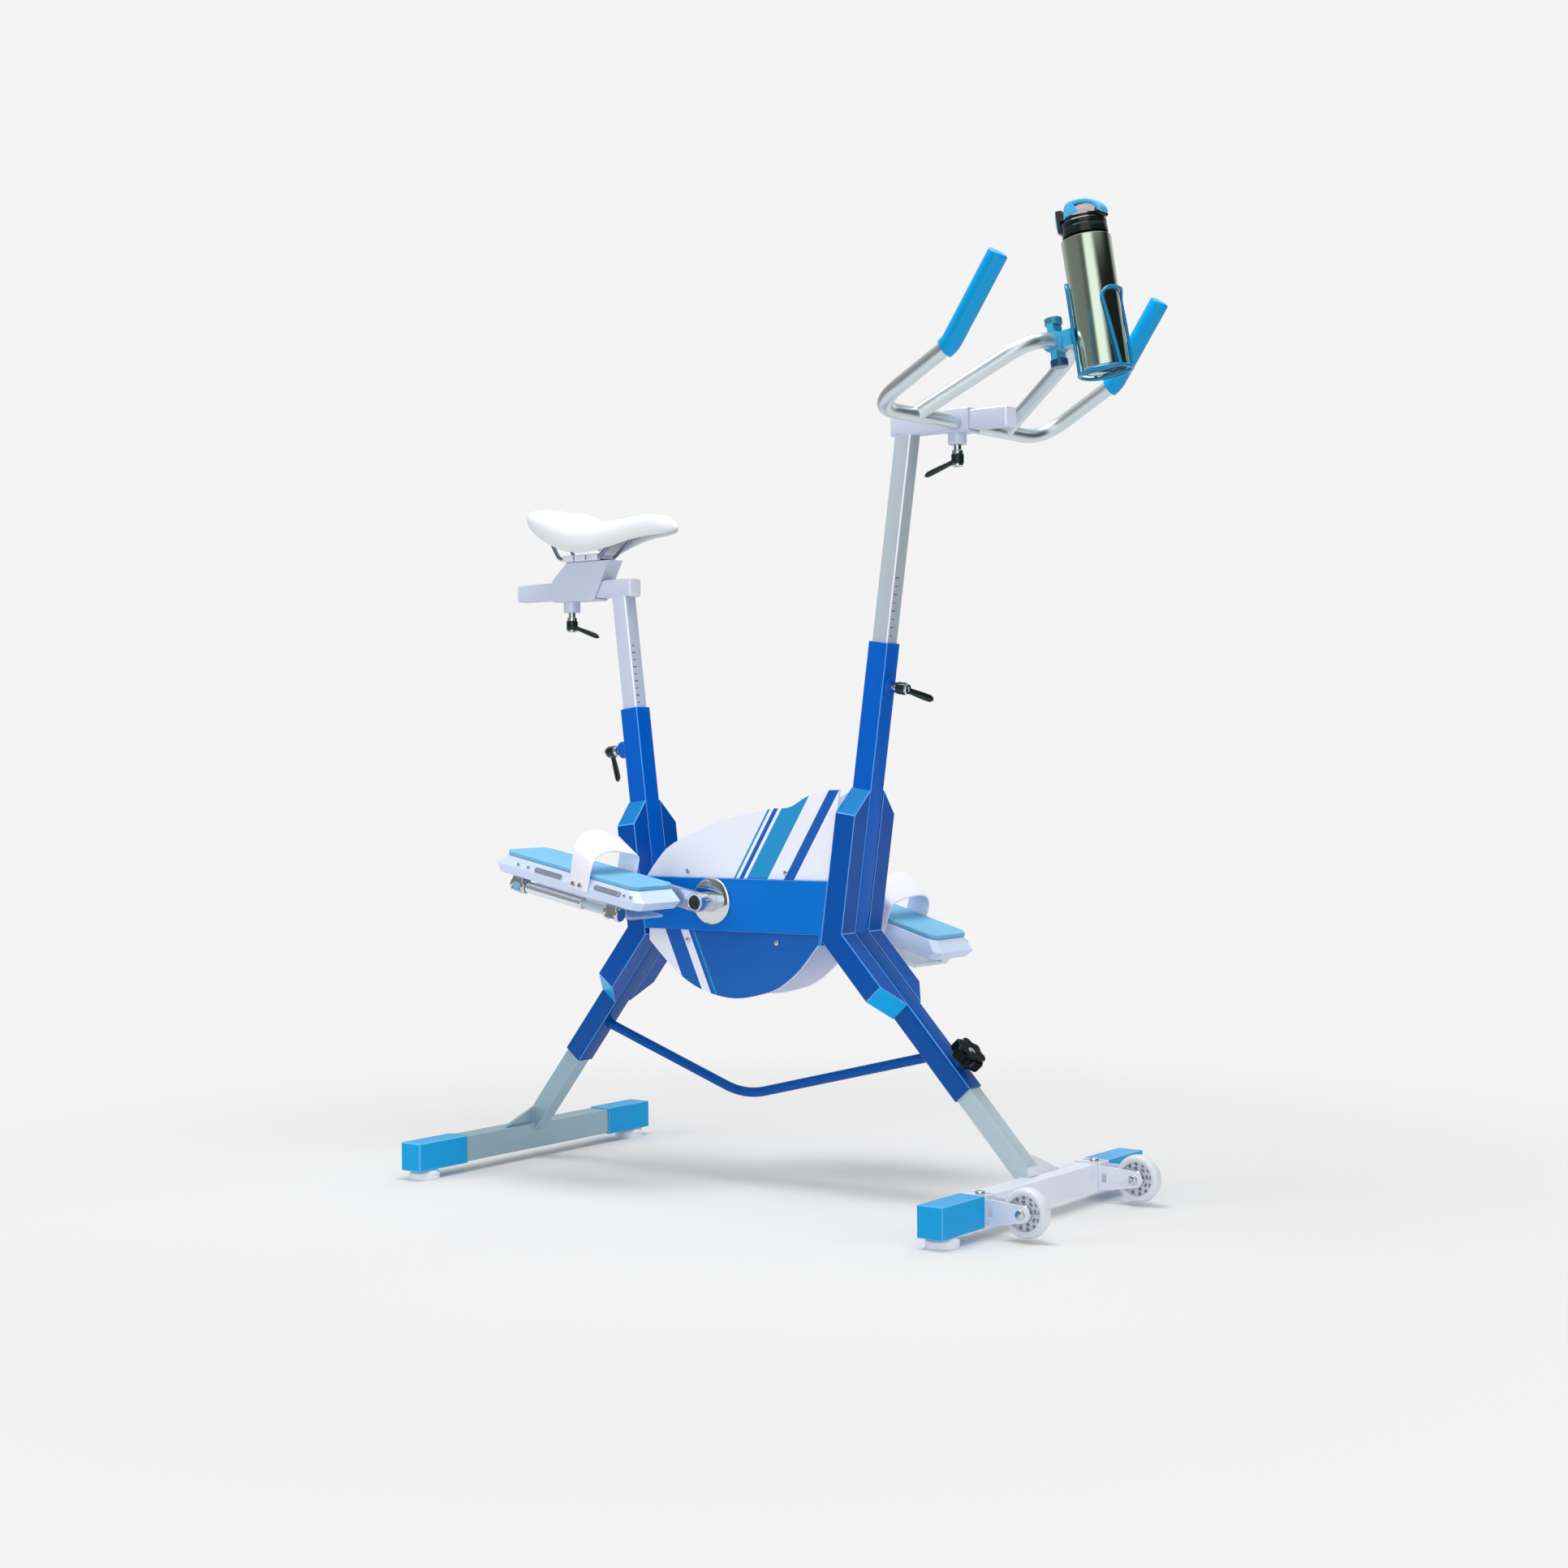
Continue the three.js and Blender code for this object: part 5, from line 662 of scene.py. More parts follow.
UPPER_STRIPES = striped_sheet(
    "upper_cover_stripes", SHEET_WHITE, 32, (70, 0, 610),
    [(-16, 22, STRIPE_BLUE), (-30, -22, STRIPE_DEEP), (-40, -36, STRIPE_BLUE), (52, 70, STRIPE_DEEP)])
LOWER_STRIPES = striped_sheet(
    "lower_cover_stripes", STRIPE_DEEP, -24, (-110, 0, 400),
    [(-160, -40, SHEET_WHITE), (-8, 8, SHEET_WHITE), (16, 20, STRIPE_BLUE)])


def cover(node, design):
    """A white sheet whose outward face carries the design."""
    sheet = eased(node, COVER_WHITE, 0.7, 2)
    sheet.data.materials.append(design)
    for face in sheet.data.polygons:
        outward = face.normal.y * face.center.y > 0 and abs(face.normal.y) > 0.9
        face.material_index = int(outward)


def pan_head(name, origin, axis, radius, node, material=SCREW_STEEL):
    """A low domed head with a straight rim, from its seat along the axis."""
    share = np.linspace(0, 1.45, 6)[:, None]
    dome = np.hstack([radius * np.cos(share), radius * (0.3 + 0.35 * np.sin(share))])
    goes_with(turned(name, np.vstack([[(radius, -1)], dome]), origin, axis, material, around=20), node)


for hand, side in HANDS:
    cover(f"upper_cover_{hand}", UPPER_STRIPES)
    cover(f"lower_cover_{hand}", LOWER_STRIPES)
    for number, (level, x, z) in enumerate(SCREW_PLACES):
        place, sheet = (x, side * COVER_FACE, z), f"{level}_cover_{hand}"
        pan_head(f"cover_screw_{hand}_{number}", place, (0, side, 0), SCREW_RADIUS, sheet)


# Crank
# A steel axle in two chromed flanged bearings, with a polished arm on each end. The arm's round
# boss ends in a chromed rim and a dark socket for its bolt.
CRANK_X = -66
CRANK_Z = 500
CRANK_RADIUS = 195
CRANK_TILT_DEG = 11.7
AXLE_BORE = 10.5
BEARING_INNER = 42
BEARING_FACE = 66.3
ARM_END = 108.3
SOCKET_RADIUS = 12.2
CHROME = finish("polished_chrome", (214, 219, 222), 0.07, 1)
ARM_SILVER = finish("arm_silver", (214, 222, 232), 0.24, 1, grain=(700, 700, 0.03))
SOCKET_BLACK = finish("socket_black", (18, 30, 36), 0.3)
BEARING_PROFILE = [
    (AXLE_BORE, BEARING_INNER), (22, BEARING_INNER), (22, 60.2), (41.2, 60.3), (41.5, 61.4), (40.6, 62.9),
    (37, 64.3), (30, 65.5), (20, BEARING_FACE), (AXLE_BORE, BEARING_FACE)]
RIM_PROFILE = [
    (SOCKET_RADIUS, ARM_END - 1), (16.6, ARM_END - 1), (16.6, ARM_END + 1.2), (15.6, ARM_END + 2.2),
    (13.2, ARM_END + 2.2), (SOCKET_RADIUS, ARM_END + 1.2)]
SOCKET_PROFILE = [
    (SOCKET_RADIUS + 0.1, ARM_END - 1), (SOCKET_RADIUS + 0.1, ARM_END + 0.3), (5, ARM_END + 0.3),
    (4.6, ARM_END + 1.2), (0.5, ARM_END + 1.2)]

frame["nodes"]["crank_axle"].material_slots[0].material = CHROME
for hand, side in HANDS:
    about_axle = ((CRANK_X, 0, CRANK_Z), (0, side, 0))
    arm = f"crank_arm_{hand}"
    bearing = turned(f"bearing_{hand}", BEARING_PROFILE, *about_axle, CHROME, True, 64, 50)
    stands_for(bearing, f"crank_bearing_{hand}")
    eased(arm, ARM_SILVER, 1.8)
    goes_with(turned(f"arm_rim_{hand}", RIM_PROFILE, *about_axle, CHROME, True, 48), arm)
    goes_with(turned(f"arm_socket_{hand}", SOCKET_PROFILE, *about_axle, SOCKET_BLACK, around=40), arm)


# Pedals
# Long moulded blocks of pale lavender plastic with a soft light blue tread on top. A white strap
# is bolted on both sides, and under the outer edge a polished rod carries a clear flap.
PEDAL_OUTER = 235.3
PEDAL_INNER = 113.3
PEDAL_WAIST = -2
PEDAL_SIDE_LEAN = 5 / 18
SIDE_LEVEL = 4.6
ROD_Y = PEDAL_OUTER - 13
ROD_Z = -32
ARM_X = CRANK_RADIUS * math.cos(math.radians(CRANK_TILT_DEG))
ARM_Z = CRANK_RADIUS * math.sin(math.radians(CRANK_TILT_DEG))
PEDAL_PLACES = {
    "left": (1, CRANK_X + ARM_X, CRANK_Z - ARM_Z, 16.5),
    "right": (-1, CRANK_X - ARM_X, CRANK_Z + ARM_Z, 11.4)}
RIVET_PLACES = (-108, -84, -6, 124, 140, 154)
STRAP_BOLT_PLACES = (27, 43)
SIDE_SLOTS = (("rear", -36, 66), ("front", 101, 62))
SPINE_RUN = (-88, 44)
COLLAR_PLACES = (-118, -93.5, 101.5, 126)
COLLAR_HALF = 4
ROD_SLEEVE_RUN = (-114, -97.5)
STRAP_THICKNESS = 3.2
STRAP_FOOT = (18, 60)
STRAP_TOP = (14, 63)
STRAP_HEIGHTS = (90, 62)
STRAP_FOOT_LEVEL = -7
STRAP_WIDTH = 46
STRAP_ARCH_SHARES = (
    (0, 0), (0, 0.25), (0, 0.5), (0.03, 0.76), (0.14, 0.93), (0.3, 0.995), (0.5, 0.99), (0.72, 0.94),
    (0.9, 0.88), (0.975, 0.82), (1, 0.74), (1, 0.5), (1, 0.25), (1, 0))
PEDAL_LAVENDER = finish("pedal_lavender", (208, 224, 250), 0.4, coat=0.2, grain=(500, 500, 0.05))
TREAD_BLUE = finish("tread_blue", (112, 184, 222), 0.55, grain=(1400, 1400, 0.25))
STRAP_WHITE = finish("strap_white", (240, 240, 252), 0.4, coat=0.25)
FLAP_CLEAR = finish("flap_clear", (205, 224, 242), 0.12, coat=0.3, alpha=0.5)
SLEEVE_BLUE = finish("sleeve_blue", (120, 184, 230), 0.15, coat=0.4, alpha=0.85)
SLOT_GREY = finish("slot_grey", (142, 148, 172), 0.4, 0.3)
SLOT_RIM = finish("slot_rim", (214, 218, 236), 0.3, coat=0.3)
ROD_SILVER = finish("rod_silver", (226, 232, 240), 0.16, 0.85)


def smooth_through(points, steps):
    """A smooth line through points: on each stretch, the cubic that passes its neighbours' headings."""
    points = np.asarray(points, float)
    ahead = np.vstack([points[:1], points, points[-1:]])
    share = np.linspace(0, 1, steps, endpoint=False)[None, :, None]
    a, b, c, d = (ahead[i:len(ahead) - 3 + i, None] for i in range(4))
    rows = 0.5 * (2 * b + (c - a) * share + (2 * a - 5 * b + 4 * c - d) * share ** 2
                  + (3 * b - a - 3 * c + d) * share ** 3)
    return np.vstack([rows.reshape(-1, points.shape[1]), points[-1:]])


def on_pedal(points, hand):
    """Points in a pedal's own frame, its Y counted outwards from the bike's middle, as points of the bike."""
    side, x, z, pitch = PEDAL_PLACES[hand]
    return leaning(np.asarray(points, float) * (1, side, 1), x, z, pitch)


def strap(hand):
    """Along the arch and across the band: P = side line at that rise, plus thickness along its normal."""
    arch = smooth_through(STRAP_ARCH_SHARES, 8)
    across, rise = arch[:, 0], np.clip(arch[:, 1], 0, None)
    edge = np.radians(np.linspace(-90, 90, 7))
    half = STRAP_THICKNESS / 2
    inset = half / STRAP_WIDTH * (1 - np.cos(edge))
    section_s = np.concatenate([inset, 1 - inset[::-1]])
    section_h = half + half * np.sin(np.concatenate([edge, edge[::-1]]))
    rear = STRAP_FOOT[0] + (STRAP_TOP[0] - STRAP_FOOT[0]) * rise
    front = STRAP_FOOT[1] + (STRAP_TOP[1] - STRAP_FOOT[1]) * rise
    x = rear[:, None] + (front - rear)[:, None] * section_s[None, :]
    height = STRAP_HEIGHTS[0] + (STRAP_HEIGHTS[1] - STRAP_HEIGHTS[0]) * section_s
    outer, inner = PEDAL_OUTER + 0.3, PEDAL_INNER - 0.3
    y = (outer + (inner - outer) * across)[:, None] + 0 * x
    z = STRAP_FOOT_LEVEL + rise[:, None] * (height - STRAP_FOOT_LEVEL)[None, :]
    run_y, run_z = np.gradient(y, axis=0), np.gradient(z, axis=0)
    size = np.hypot(run_y, run_z)
    points = np.stack([x, y + run_z / size * section_h, z - run_y / size * section_h], -1)
    return skinned(f"foot_strap_{hand}_finished", on_pedal(points, hand), STRAP_WHITE, sharp_deg=60)


def pedal_turned(name, profile, place, axis, around, hand, material, node):
    """A profile turned about an axis of the pedal's own frame."""
    rings = aimed(turned_rings(profile, around), place, axis)
    goes_with(skinned(name, on_pedal(rings, hand), material), node)


def pedal_rod(name, x0, x1, radius, hand, material, node):
    """A cylinder along the flap's rod, with eased ends."""
    ease = min(1.5, radius / 3)
    profile = [(radius - ease, 0), (radius, ease), (radius, x1 - x0 - ease), (radius - ease, x1 - x0)]
    pedal_turned(name, profile, (x0, ROD_Y, ROD_Z), (1, 0, 0), 28, hand, material, node)


def pedal_button(name, place, radius, height, hand, material):
    """A round head on the pedal's outer side, with an eased rim."""
    profile = [(radius, -1.5), (radius, height - 0.8), (radius - 0.9, height), (0.4, height + 0.3)]
    pedal_turned(name, profile, place, (0, 1, 0), 20, hand, material, f"pedal_body_{hand}")


def pedal_side(z):
    """The outer side's Y above the pedal's waist, where it leans inwards to the tread."""
    return PEDAL_OUTER - PEDAL_SIDE_LEAN * (z - PEDAL_WAIST)


def side_slot(name, x, length, height, hand, material, proud):
    """A stadium that follows the leaning side, from 2 mm inside it to a little proud of it."""
    outline = rounded_box(length / 2, height / 2, height / 2 - 0.01, 8)
    z = SIDE_LEVEL + outline[:, 1]
    ring = np.stack([x + outline[:, 0], pedal_side(z), z], -1)
    rings = np.stack([ring - (0, 2, 0), ring + (0, proud, 0)])
    goes_with(skinned(name, on_pedal(rings, hand), material), f"pedal_body_{hand}")


for hand in ("left", "right"):
    flap, hanger = f"resistance_flap_{hand}", f"flap_hanger_{hand}"
    eased(f"pedal_body_{hand}", PEDAL_LAVENDER, 2.4)
    eased(f"pedal_tread_{hand}", TREAD_BLUE, 2.2)
    stands_for(strap(hand), f"foot_strap_{hand}")
    eased(flap, FLAP_CLEAR, 0.8, 2)
    eased(hanger, CHROME, 1.2)
    pedal_rod(f"flap_spine_{hand}", *SPINE_RUN, 10.2, hand, ROD_SILVER, flap)
    for number, x in enumerate(COLLAR_PLACES):
        run = (x - COLLAR_HALF, x + COLLAR_HALF)
        pedal_rod(f"rod_collar_{hand}_{number}", *run, 12.8, hand, CHROME, hanger)
    pedal_rod(f"rod_sleeve_rear_{hand}", *ROD_SLEEVE_RUN, 13.4, hand, SLEEVE_BLUE, hanger)
    for number, x in enumerate(STRAP_BOLT_PLACES):
        place = (x, PEDAL_OUTER + STRAP_THICKNESS, 1)
        pedal_button(f"strap_bolt_{hand}_{number}", place, 5.2, 2.6, hand, CHROME)
    for number, x in enumerate(RIVET_PLACES):
        place = (x, pedal_side(SIDE_LEVEL), SIDE_LEVEL)
        pedal_button(f"pedal_rivet_{hand}_{number}", place, 3.6, 1.6, hand, SCREW_STEEL)
    for name, x, length in SIDE_SLOTS:
        side_slot(f"slot_rim_{name}_{hand}", x, length + 3, 12.4, hand, SLOT_RIM, 0.5)
        side_slot(f"side_slot_{name}_{hand}", x, length, 9.4, hand, SLOT_GREY, 0.8)


# Feet
# Each leg is a square stainless post welded on a cross bar, with a gusset plate and a plate over its
# cut toe. Blue plastic caps close the bar's ends, over white rubber pads.
PICKLED_STEEL = finish("pickled_steel", (164, 192, 206), 0.36, 0.6, grain=(500, 90, 0.12), gloss=0.3)
BRIGHT_STEEL = finish("bright_steel", (232, 237, 248), 0.3, 0.2, grain=(300, 300, 0.05), gloss=0.4)
LEG_STEEL = finish("leg_steel", (184, 203, 211), 0.34, 0.2, grain=(500, 90, 0.12), gloss=0.3)
FOOT_EDGE = finish("foot_painted_highlight", (232, 238, 248), 0.25, 0.1, 0.2)
CAP_BLUE = powder_coat("cap_blue", (0, 160, 224), 0.32, (800, 800, 0.04), 0.15)
CAP_EDGE = powder_coat("cap_painted_highlight", (96, 190, 240), 0.3, None, 0.15)
PAD_WHITE = finish("pad_white", (236, 238, 244), 0.5)
POST_HALF = 16
BAR_TOP = 65.3
GUSSET_TOP = BAR_TOP + 40
TOE_X = 544
TOE_PLATE = 3


def toe_plate(end, side, material):
    """A plate that closes the leg's cut toe, up to just below the leg's outer face."""
    way = upward(LOWER_LEAN_DEGS[end])
    face = np.array(KNEES[end]) + side * POST_HALF * forward_of(way)
    top = face[1] + (side * TOE_X - face[0]) * way[1] / way[0]
    outline = rounded_box(POST_HALF - 1.4, (top - BAR_TOP) / 2 - 0.6, 1.2)
    rings = [np.stack([0 * outline[:, 0] + side * x, outline[:, 0], (top + BAR_TOP) / 2 + outline[:, 1]], -1)
             for x in (TOE_X - TOE_PLATE, TOE_X + 0.3)]
    goes_with(skinned(f"{end}_toe_plate", rings, material), f"{end}_foot")


# The rounded edges of the feet and of the caps take lighter finishes as painted highlights.
for end, side, leg, cross_bar in (
        ("front", 1, LEG_STEEL, BRIGHT_STEEL), ("rear", -1, PICKLED_STEEL, PICKLED_STEEL)):
    toe_plate(end, side, cross_bar)
    below(eased(f"{end}_foot", leg, 1.1, edge_material=FOOT_EDGE), GUSSET_TOP, cross_bar)
    for hand in ("left", "right"):
        eased(f"{end}_foot_cap_{hand}", CAP_BLUE, 2.2, edge_material=CAP_EDGE)
        eased(f"{end}_foot_pad_{hand}", PAD_WHITE, 1.2)


# Transport wheels
# Milky moulded wheels with two rows of slots and a steel hub, each bolted through a bright steel
# fork on the front foot.
WHEEL_MILK = finish("wheel_milk", (218, 223, 232), 0.3, coat=0.3)
CORE_GREY = finish("core_grey", (138, 148, 168), 0.5)
HUB_STEEL = finish("hub_steel", (190, 196, 206), 0.22, 1)
WHEEL_X = 640
WHEEL_Y = 182
WHEEL_Z = 45
WHEEL_HALF = 11
WEB_RADII = (12.5, 14.5, 19.5, 21.5, 27.5, 29)
WEB_SECTORS = 72
WEB_THICKNESS = 8
FORK_HALF = 20
FORK_BOLT_X = 556
FORK_TOP = 67.2
TYRE_SEAT = [(28, -9.5), (30, -10.9)]
CORE_PROFILE = [(12, -1), (28.6, -1), (28.6, 1), (12, 1)]
HUB_PROFILE = [
    (5.5, -WHEEL_HALF), (10.5, -WHEEL_HALF), (13.2, -8), (13.2, 8), (10.5, WHEEL_HALF), (5.5, WHEEL_HALF)]


def wheel_web(name, centre):
    """A disc on a polar grid: cells are left out where a row of slots runs, and a wall gives it thickness."""
    radii = np.array(WEB_RADII)[:, None]
    turn = np.linspace(0, 2 * np.pi, WEB_SECTORS, endpoint=False)
    points = np.stack([radii * np.cos(turn), 0 * radii + 0 * turn, radii * np.sin(turn)], -1)
    row, column = np.meshgrid(np.arange(len(radii) - 1), np.arange(WEB_SECTORS), indexing="ij")
    kept = ~((row == 1) & (column % 9 < 5) | (row == 3) & (column % 6 < 3))
    start = row * WEB_SECTORS + column
    beside = row * WEB_SECTORS + (column + 1) % WEB_SECTORS
    faces = np.stack([start, beside, beside + WEB_SECTORS, start + WEB_SECTORS], -1)[kept].tolist()
    web = piece_of(name, points + np.array(centre, float), faces, WHEEL_MILK)
    wall = web.modifiers.new("wall", "SOLIDIFY")
    wall.thickness = WEB_THICKNESS * MM
    wall.offset = 0
    return web


def transport_wheel(hand, side):
    """A rounded tyre, a slotted web over a grey core and a hub, which turn together."""
    node = f"transport_wheel_{hand}"
    centre = (WHEEL_X, side * WHEEL_Y, WHEEL_Z)
    bend = np.radians(np.linspace(-90, 90, 11))
    crown = np.stack([34 + 6 * np.cos(bend), 10.9 * np.sin(bend)], -1)
    tyre = np.vstack([TYRE_SEAT, crown, [(radius, -y) for radius, y in TYRE_SEAT[::-1]]])
    stands_for(turned(f"wheel_tyre_{hand}", tyre, centre, (0, 1, 0), WHEEL_MILK, True, 72, 50), node)
    goes_with(wheel_web(f"wheel_web_{hand}", centre), node)
    goes_with(turned(f"wheel_core_{hand}", CORE_PROFILE, centre, (0, 1, 0), CORE_GREY, True, 72), node)
    goes_with(turned(f"wheel_hub_{hand}", HUB_PROFILE, centre, (0, 1, 0), HUB_STEEL, True, 72), node)


for hand, side in HANDS:
    fork = f"wheel_fork_{hand}"
    transport_wheel(hand, side)
    eased(fork, BRIGHT_STEEL, 0.8, 2)
    pan_head(f"fork_top_bolt_{hand}", (FORK_BOLT_X, side * WHEEL_Y, FORK_TOP), (0, 0, 1), 8, fork)
    for face in (-1, 1):
        place = (WHEEL_X, side * WHEEL_Y + face * (FORK_HALF - 0.4), WHEEL_Z)
        pan_head(f"wheel_bolt_{hand}_{face + 1}", place, (0, face, 0), 8, fork)


# Knob
# A lobed knob of glossy black plastic on the front leg's boss, with a steel insert in its face and
# a steel stud that presses the leg.
KNOB_BLACK = finish("knob_black", (4, 8, 10), 0.16, coat=0.04, gloss=0.12)
KNOB_RADIUS = 31
KNOB_LOBES = 7
KNOB_LOBE_DEPTH = 5
KNOB_EASE = 5
KNOB_TOP = 26
KNOB_BOSS = 9
KNOB_TRIM = (
    ("lock_knob_neck", [(10.5, 0.3), (10.5, 6), (5, 6)], KNOB_BLACK),
    ("lock_knob_insert", [(6.5, KNOB_TOP - 2), (6.5, 25.6), (5.5, 26.2), (0.6, 26.2)], HUB_STEEL),
    ("lock_knob_stud", [(5, -12.5), (5, 1)], HUB_STEEL))


def lock_knob():
    """Radius by angle: the full radius less a lobe wave, drawn in towards the rim by a quarter circle."""
    turn = np.linspace(0, 2 * np.pi, 140, endpoint=False)
    wave = KNOB_RADIUS - KNOB_LOBE_DEPTH / 2 * (1 - np.cos(KNOB_LOBES * turn))
    bend = np.radians(np.linspace(0, 90, 7))
    inset = np.concatenate([KNOB_EASE * (1 - np.sin(bend)), KNOB_EASE * (1 - np.cos(bend)), [12, 13, 14]])
    height = np.concatenate([4 + KNOB_EASE * (1 - np.cos(bend)), KNOB_TOP - KNOB_EASE * (1 - np.sin(bend)),
                             [KNOB_TOP, KNOB_TOP - 1, KNOB_TOP - 1]])
    radius = wave[None, :] - inset[:, None]
    rings = np.stack([radius * np.cos(turn), radius * np.sin(turn), height[:, None] + 0 * turn], -1)
    base = leaning([TUBE_HALF + KNOB_BOSS, 0, LEG_BOSS_ALONG], *KNEES["front"], LOWER_LEAN_DEGS["front"])
    axis = leaning([1, 0, 0], 0, 0, LOWER_LEAN_DEGS["front"])
    stands_for(skinned("lock_knob_grip", aimed(rings, base, axis), KNOB_BLACK), "leg_lock_knob")
    for name, profile, material in KNOB_TRIM:
        goes_with(turned(name, profile, base, axis, material), "leg_lock_knob")


lock_knob()


# Clamping levers
# Four levers of dark moulded plastic on chromed hubs. Each turns a steel stud that presses on the post,
# rail or head tube inside.
LEVER_GREEN = finish("lever_green", (20, 36, 34), 0.22, coat=0.15, gloss=0.3)
LEVER_LENGTH = 64
LEVER_RISE = 22
LEVER_ROOT = 25
LEVER_TAPER_SHARES = ((0, 0.72), (0.12, 0.86), (0.3, 0.84), (0.55, 0.96), (0.82, 1), (0.93, 0.86), (1, 0.3))
CUFF_PROFILE = [(9.6, 15), (10.6, 16.5), (10.6, 30), (9.6, 32)]
HUB_TOP = 36
LEVER_HUB_PROFILE = [
    (6.5, 0.3), (6.5, 8), (8.6, 9), (9.3, 12), (9.3, HUB_TOP - 1.5), (8, HUB_TOP), (4.4, HUB_TOP),
    (4, HUB_TOP - 2), (0.4, HUB_TOP - 2)]
SADDLE_LEVER_PLACE = (-435, 0, 1022)
BAR_LEVER_PLACE = (412, 0, 1264.5)


def clamp_lever(node, base, outward, along, stud_depth):
    """The arm is an ellipse whose size follows the taper, carried along a rising line from the hub."""
    z_way = np.array(outward, float) / np.linalg.norm(outward)
    x_way = np.array(along, float) - np.dot(along, z_way) * z_way
    x_way /= np.linalg.norm(x_way)
    shares = smooth_through(LEVER_TAPER_SHARES, 6)
    turn = np.linspace(0, 2 * np.pi, 24, endpoint=False)
    x = shares[:, :1] * LEVER_LENGTH + 0 * turn
    y = shares[:, 1:] * 6.5 * np.cos(turn)
    z = LEVER_ROOT + shares[:, :1] * LEVER_RISE + shares[:, 1:] * 5 * np.sin(turn)
    arm = np.stack([x, y, z], -1) @ np.stack([x_way, np.cross(z_way, x_way), z_way]) + base
    stands_for(skinned(f"{node}_arm", arm, LEVER_GREEN, sharp_deg=50), node)
    goes_with(turned(f"{node}_cuff", CUFF_PROFILE, base, outward, LEVER_GREEN), node)
    goes_with(turned(f"{node}_hub", LEVER_HUB_PROFILE, base, outward, CHROME), node)
    goes_with(turned(f"{node}_stud", [(4.8, 0.5 - stud_depth), (4.8, 1)], base, outward, HUB_STEEL), node)


for node, end, side, boss_height, boss_along, way, stud_depth in (
        ("handlebar_post_lever", "front", 1, 3, MAST_BOSS_ALONG, (0, 1, -0.25), 7),
        ("seat_post_lever", "rear", -1, 20, SEAT_BOSS_ALONG, (0, 0.7, -1), 24)):
    base = leaning([side * (TUBE_HALF + boss_height), 0, boss_along], *KNEES[end], UPPER_LEAN_DEGS[end])
    clamp_lever(node, base, leaning([side, 0, 0], 0, 0, UPPER_LEAN_DEGS[end]), way, stud_depth)
clamp_lever("saddle_slide_lever", SADDLE_LEVER_PLACE, (0, 0, -1), (1, 0, 0), 24)
clamp_lever("handlebar_slide_lever", BAR_LEVER_PLACE, (0, 0, -1), (-1, 0, 0), 22)


# Seat post
# A square stainless tube that slides in the seat tube, with a level rail welded across its top.
# Small marks down its front face show the height, and light plastic plugs close the rail.
POST_CORNER = 3.2
POST_WALL = 2.5
POST_RIM = 0.7
POST_DEPTH = {"front": 200, "rear": 180}
SEAT_RAIL_BOTTOM = 1046
SEAT_RAIL_Z = SEAT_RAIL_BOTTOM + POST_HALF
SEAT_RAIL_REAR = -555
SEAT_RAIL_FRONT = -284
MARK_HALF_WIDTHS = (3, 5)
MARK_HALF_HEIGHT = 1.1
MARK_ASIDE = 7
POST_LAVENDER = finish("post_lavender", (202, 211, 232), 0.3, 0.15, grain=(420, 90, 0.10), gloss=0.3)
PLUG_WHITE = finish("plug_white", (232, 236, 250), 0.4, coat=0.2)
MARK_GREY = finish("mark_grey", (96, 106, 132), 0.5)
EDGE_WHITE = finish("painted_highlight_white", (244, 247, 255), 0.2, coat=0.2)


def square_tube(name, start, end, material, half=POST_HALF, corner=POST_CORNER, wall=POST_WALL):
    """An open square tube between two points of the bike's middle plane, with eased rims."""
    start, end = np.array(start, float), np.array(end, float)
    way = (end - start) / np.linalg.norm(end - start)
    across = forward_of(way)
    rows = [(start, POST_RIM), (start + way * POST_RIM, 0), (end - way * POST_RIM, 0), (end, POST_RIM),
            (end, wall), (start, wall)]
    rings = [station(point, across, rounded_box(half - inset, half - inset, max(corner - inset, 0.8)))
             for point, inset in rows]
    return skinned(name, rings, material, closed=True)


def sliding_post(name, end, top_z, material):
    """A post from deep inside its tube up the tube's middle line to a height, with a painted highlight down
    each corner.
    """
    way = upward(UPPER_LEAN_DEGS[end])
    low = np.array(KNEES[end]) + way * (UPPER_LENGTHS[end] - POST_DEPTH[end])
    top = np.array(KNEES[end], float) + way * (top_z - KNEES[end][1]) / way[1]
    return thin_edges(square_tube(name, low, top, material), EDGE_WHITE, 1, 3)


def height_marks(name, end, first, pitch, count, node):
    """Thin dark dashes beside the middle of the front face, every other one wider."""
    for number in range(count):
        half, along = MARK_HALF_WIDTHS[number % 2], first + number * pitch
        low, high = along - MARK_HALF_HEIGHT, along + MARK_HALF_HEIGHT
        near, far = half - MARK_ASIDE, -half - MARK_ASIDE
        corners = ((far, low), (near, low), (near, high), (far, high))
        ring = np.array([(POST_HALF - 0.28, y, z) for y, z in corners])
        rings = leaning(np.stack([ring, ring + (0.45, 0, 0)]), *KNEES[end], UPPER_LEAN_DEGS[end])
        goes_with(skinned(f"{name}_{number}", rings, MARK_GREY), node)


def end_plug(name, x, z, outward, node, lip=2.2):
    """A plastic plug with a pillowed face in the end of a level square tube."""
    rings = []
    for reach, inset in ((-14, 2.9), (0, 2.9), (0, 0.1), (lip - 0.9, 0.1), (lip, 1.1)):
        outline = rounded_box(POST_HALF - inset, POST_HALF - inset, max(POST_CORNER - inset, 0.7))
        y, rise = outline.T
        rings.append(np.stack([0 * y + x + outward * reach, y, z + rise], -1))
    goes_with(skinned(name, rings, PLUG_WHITE), node)


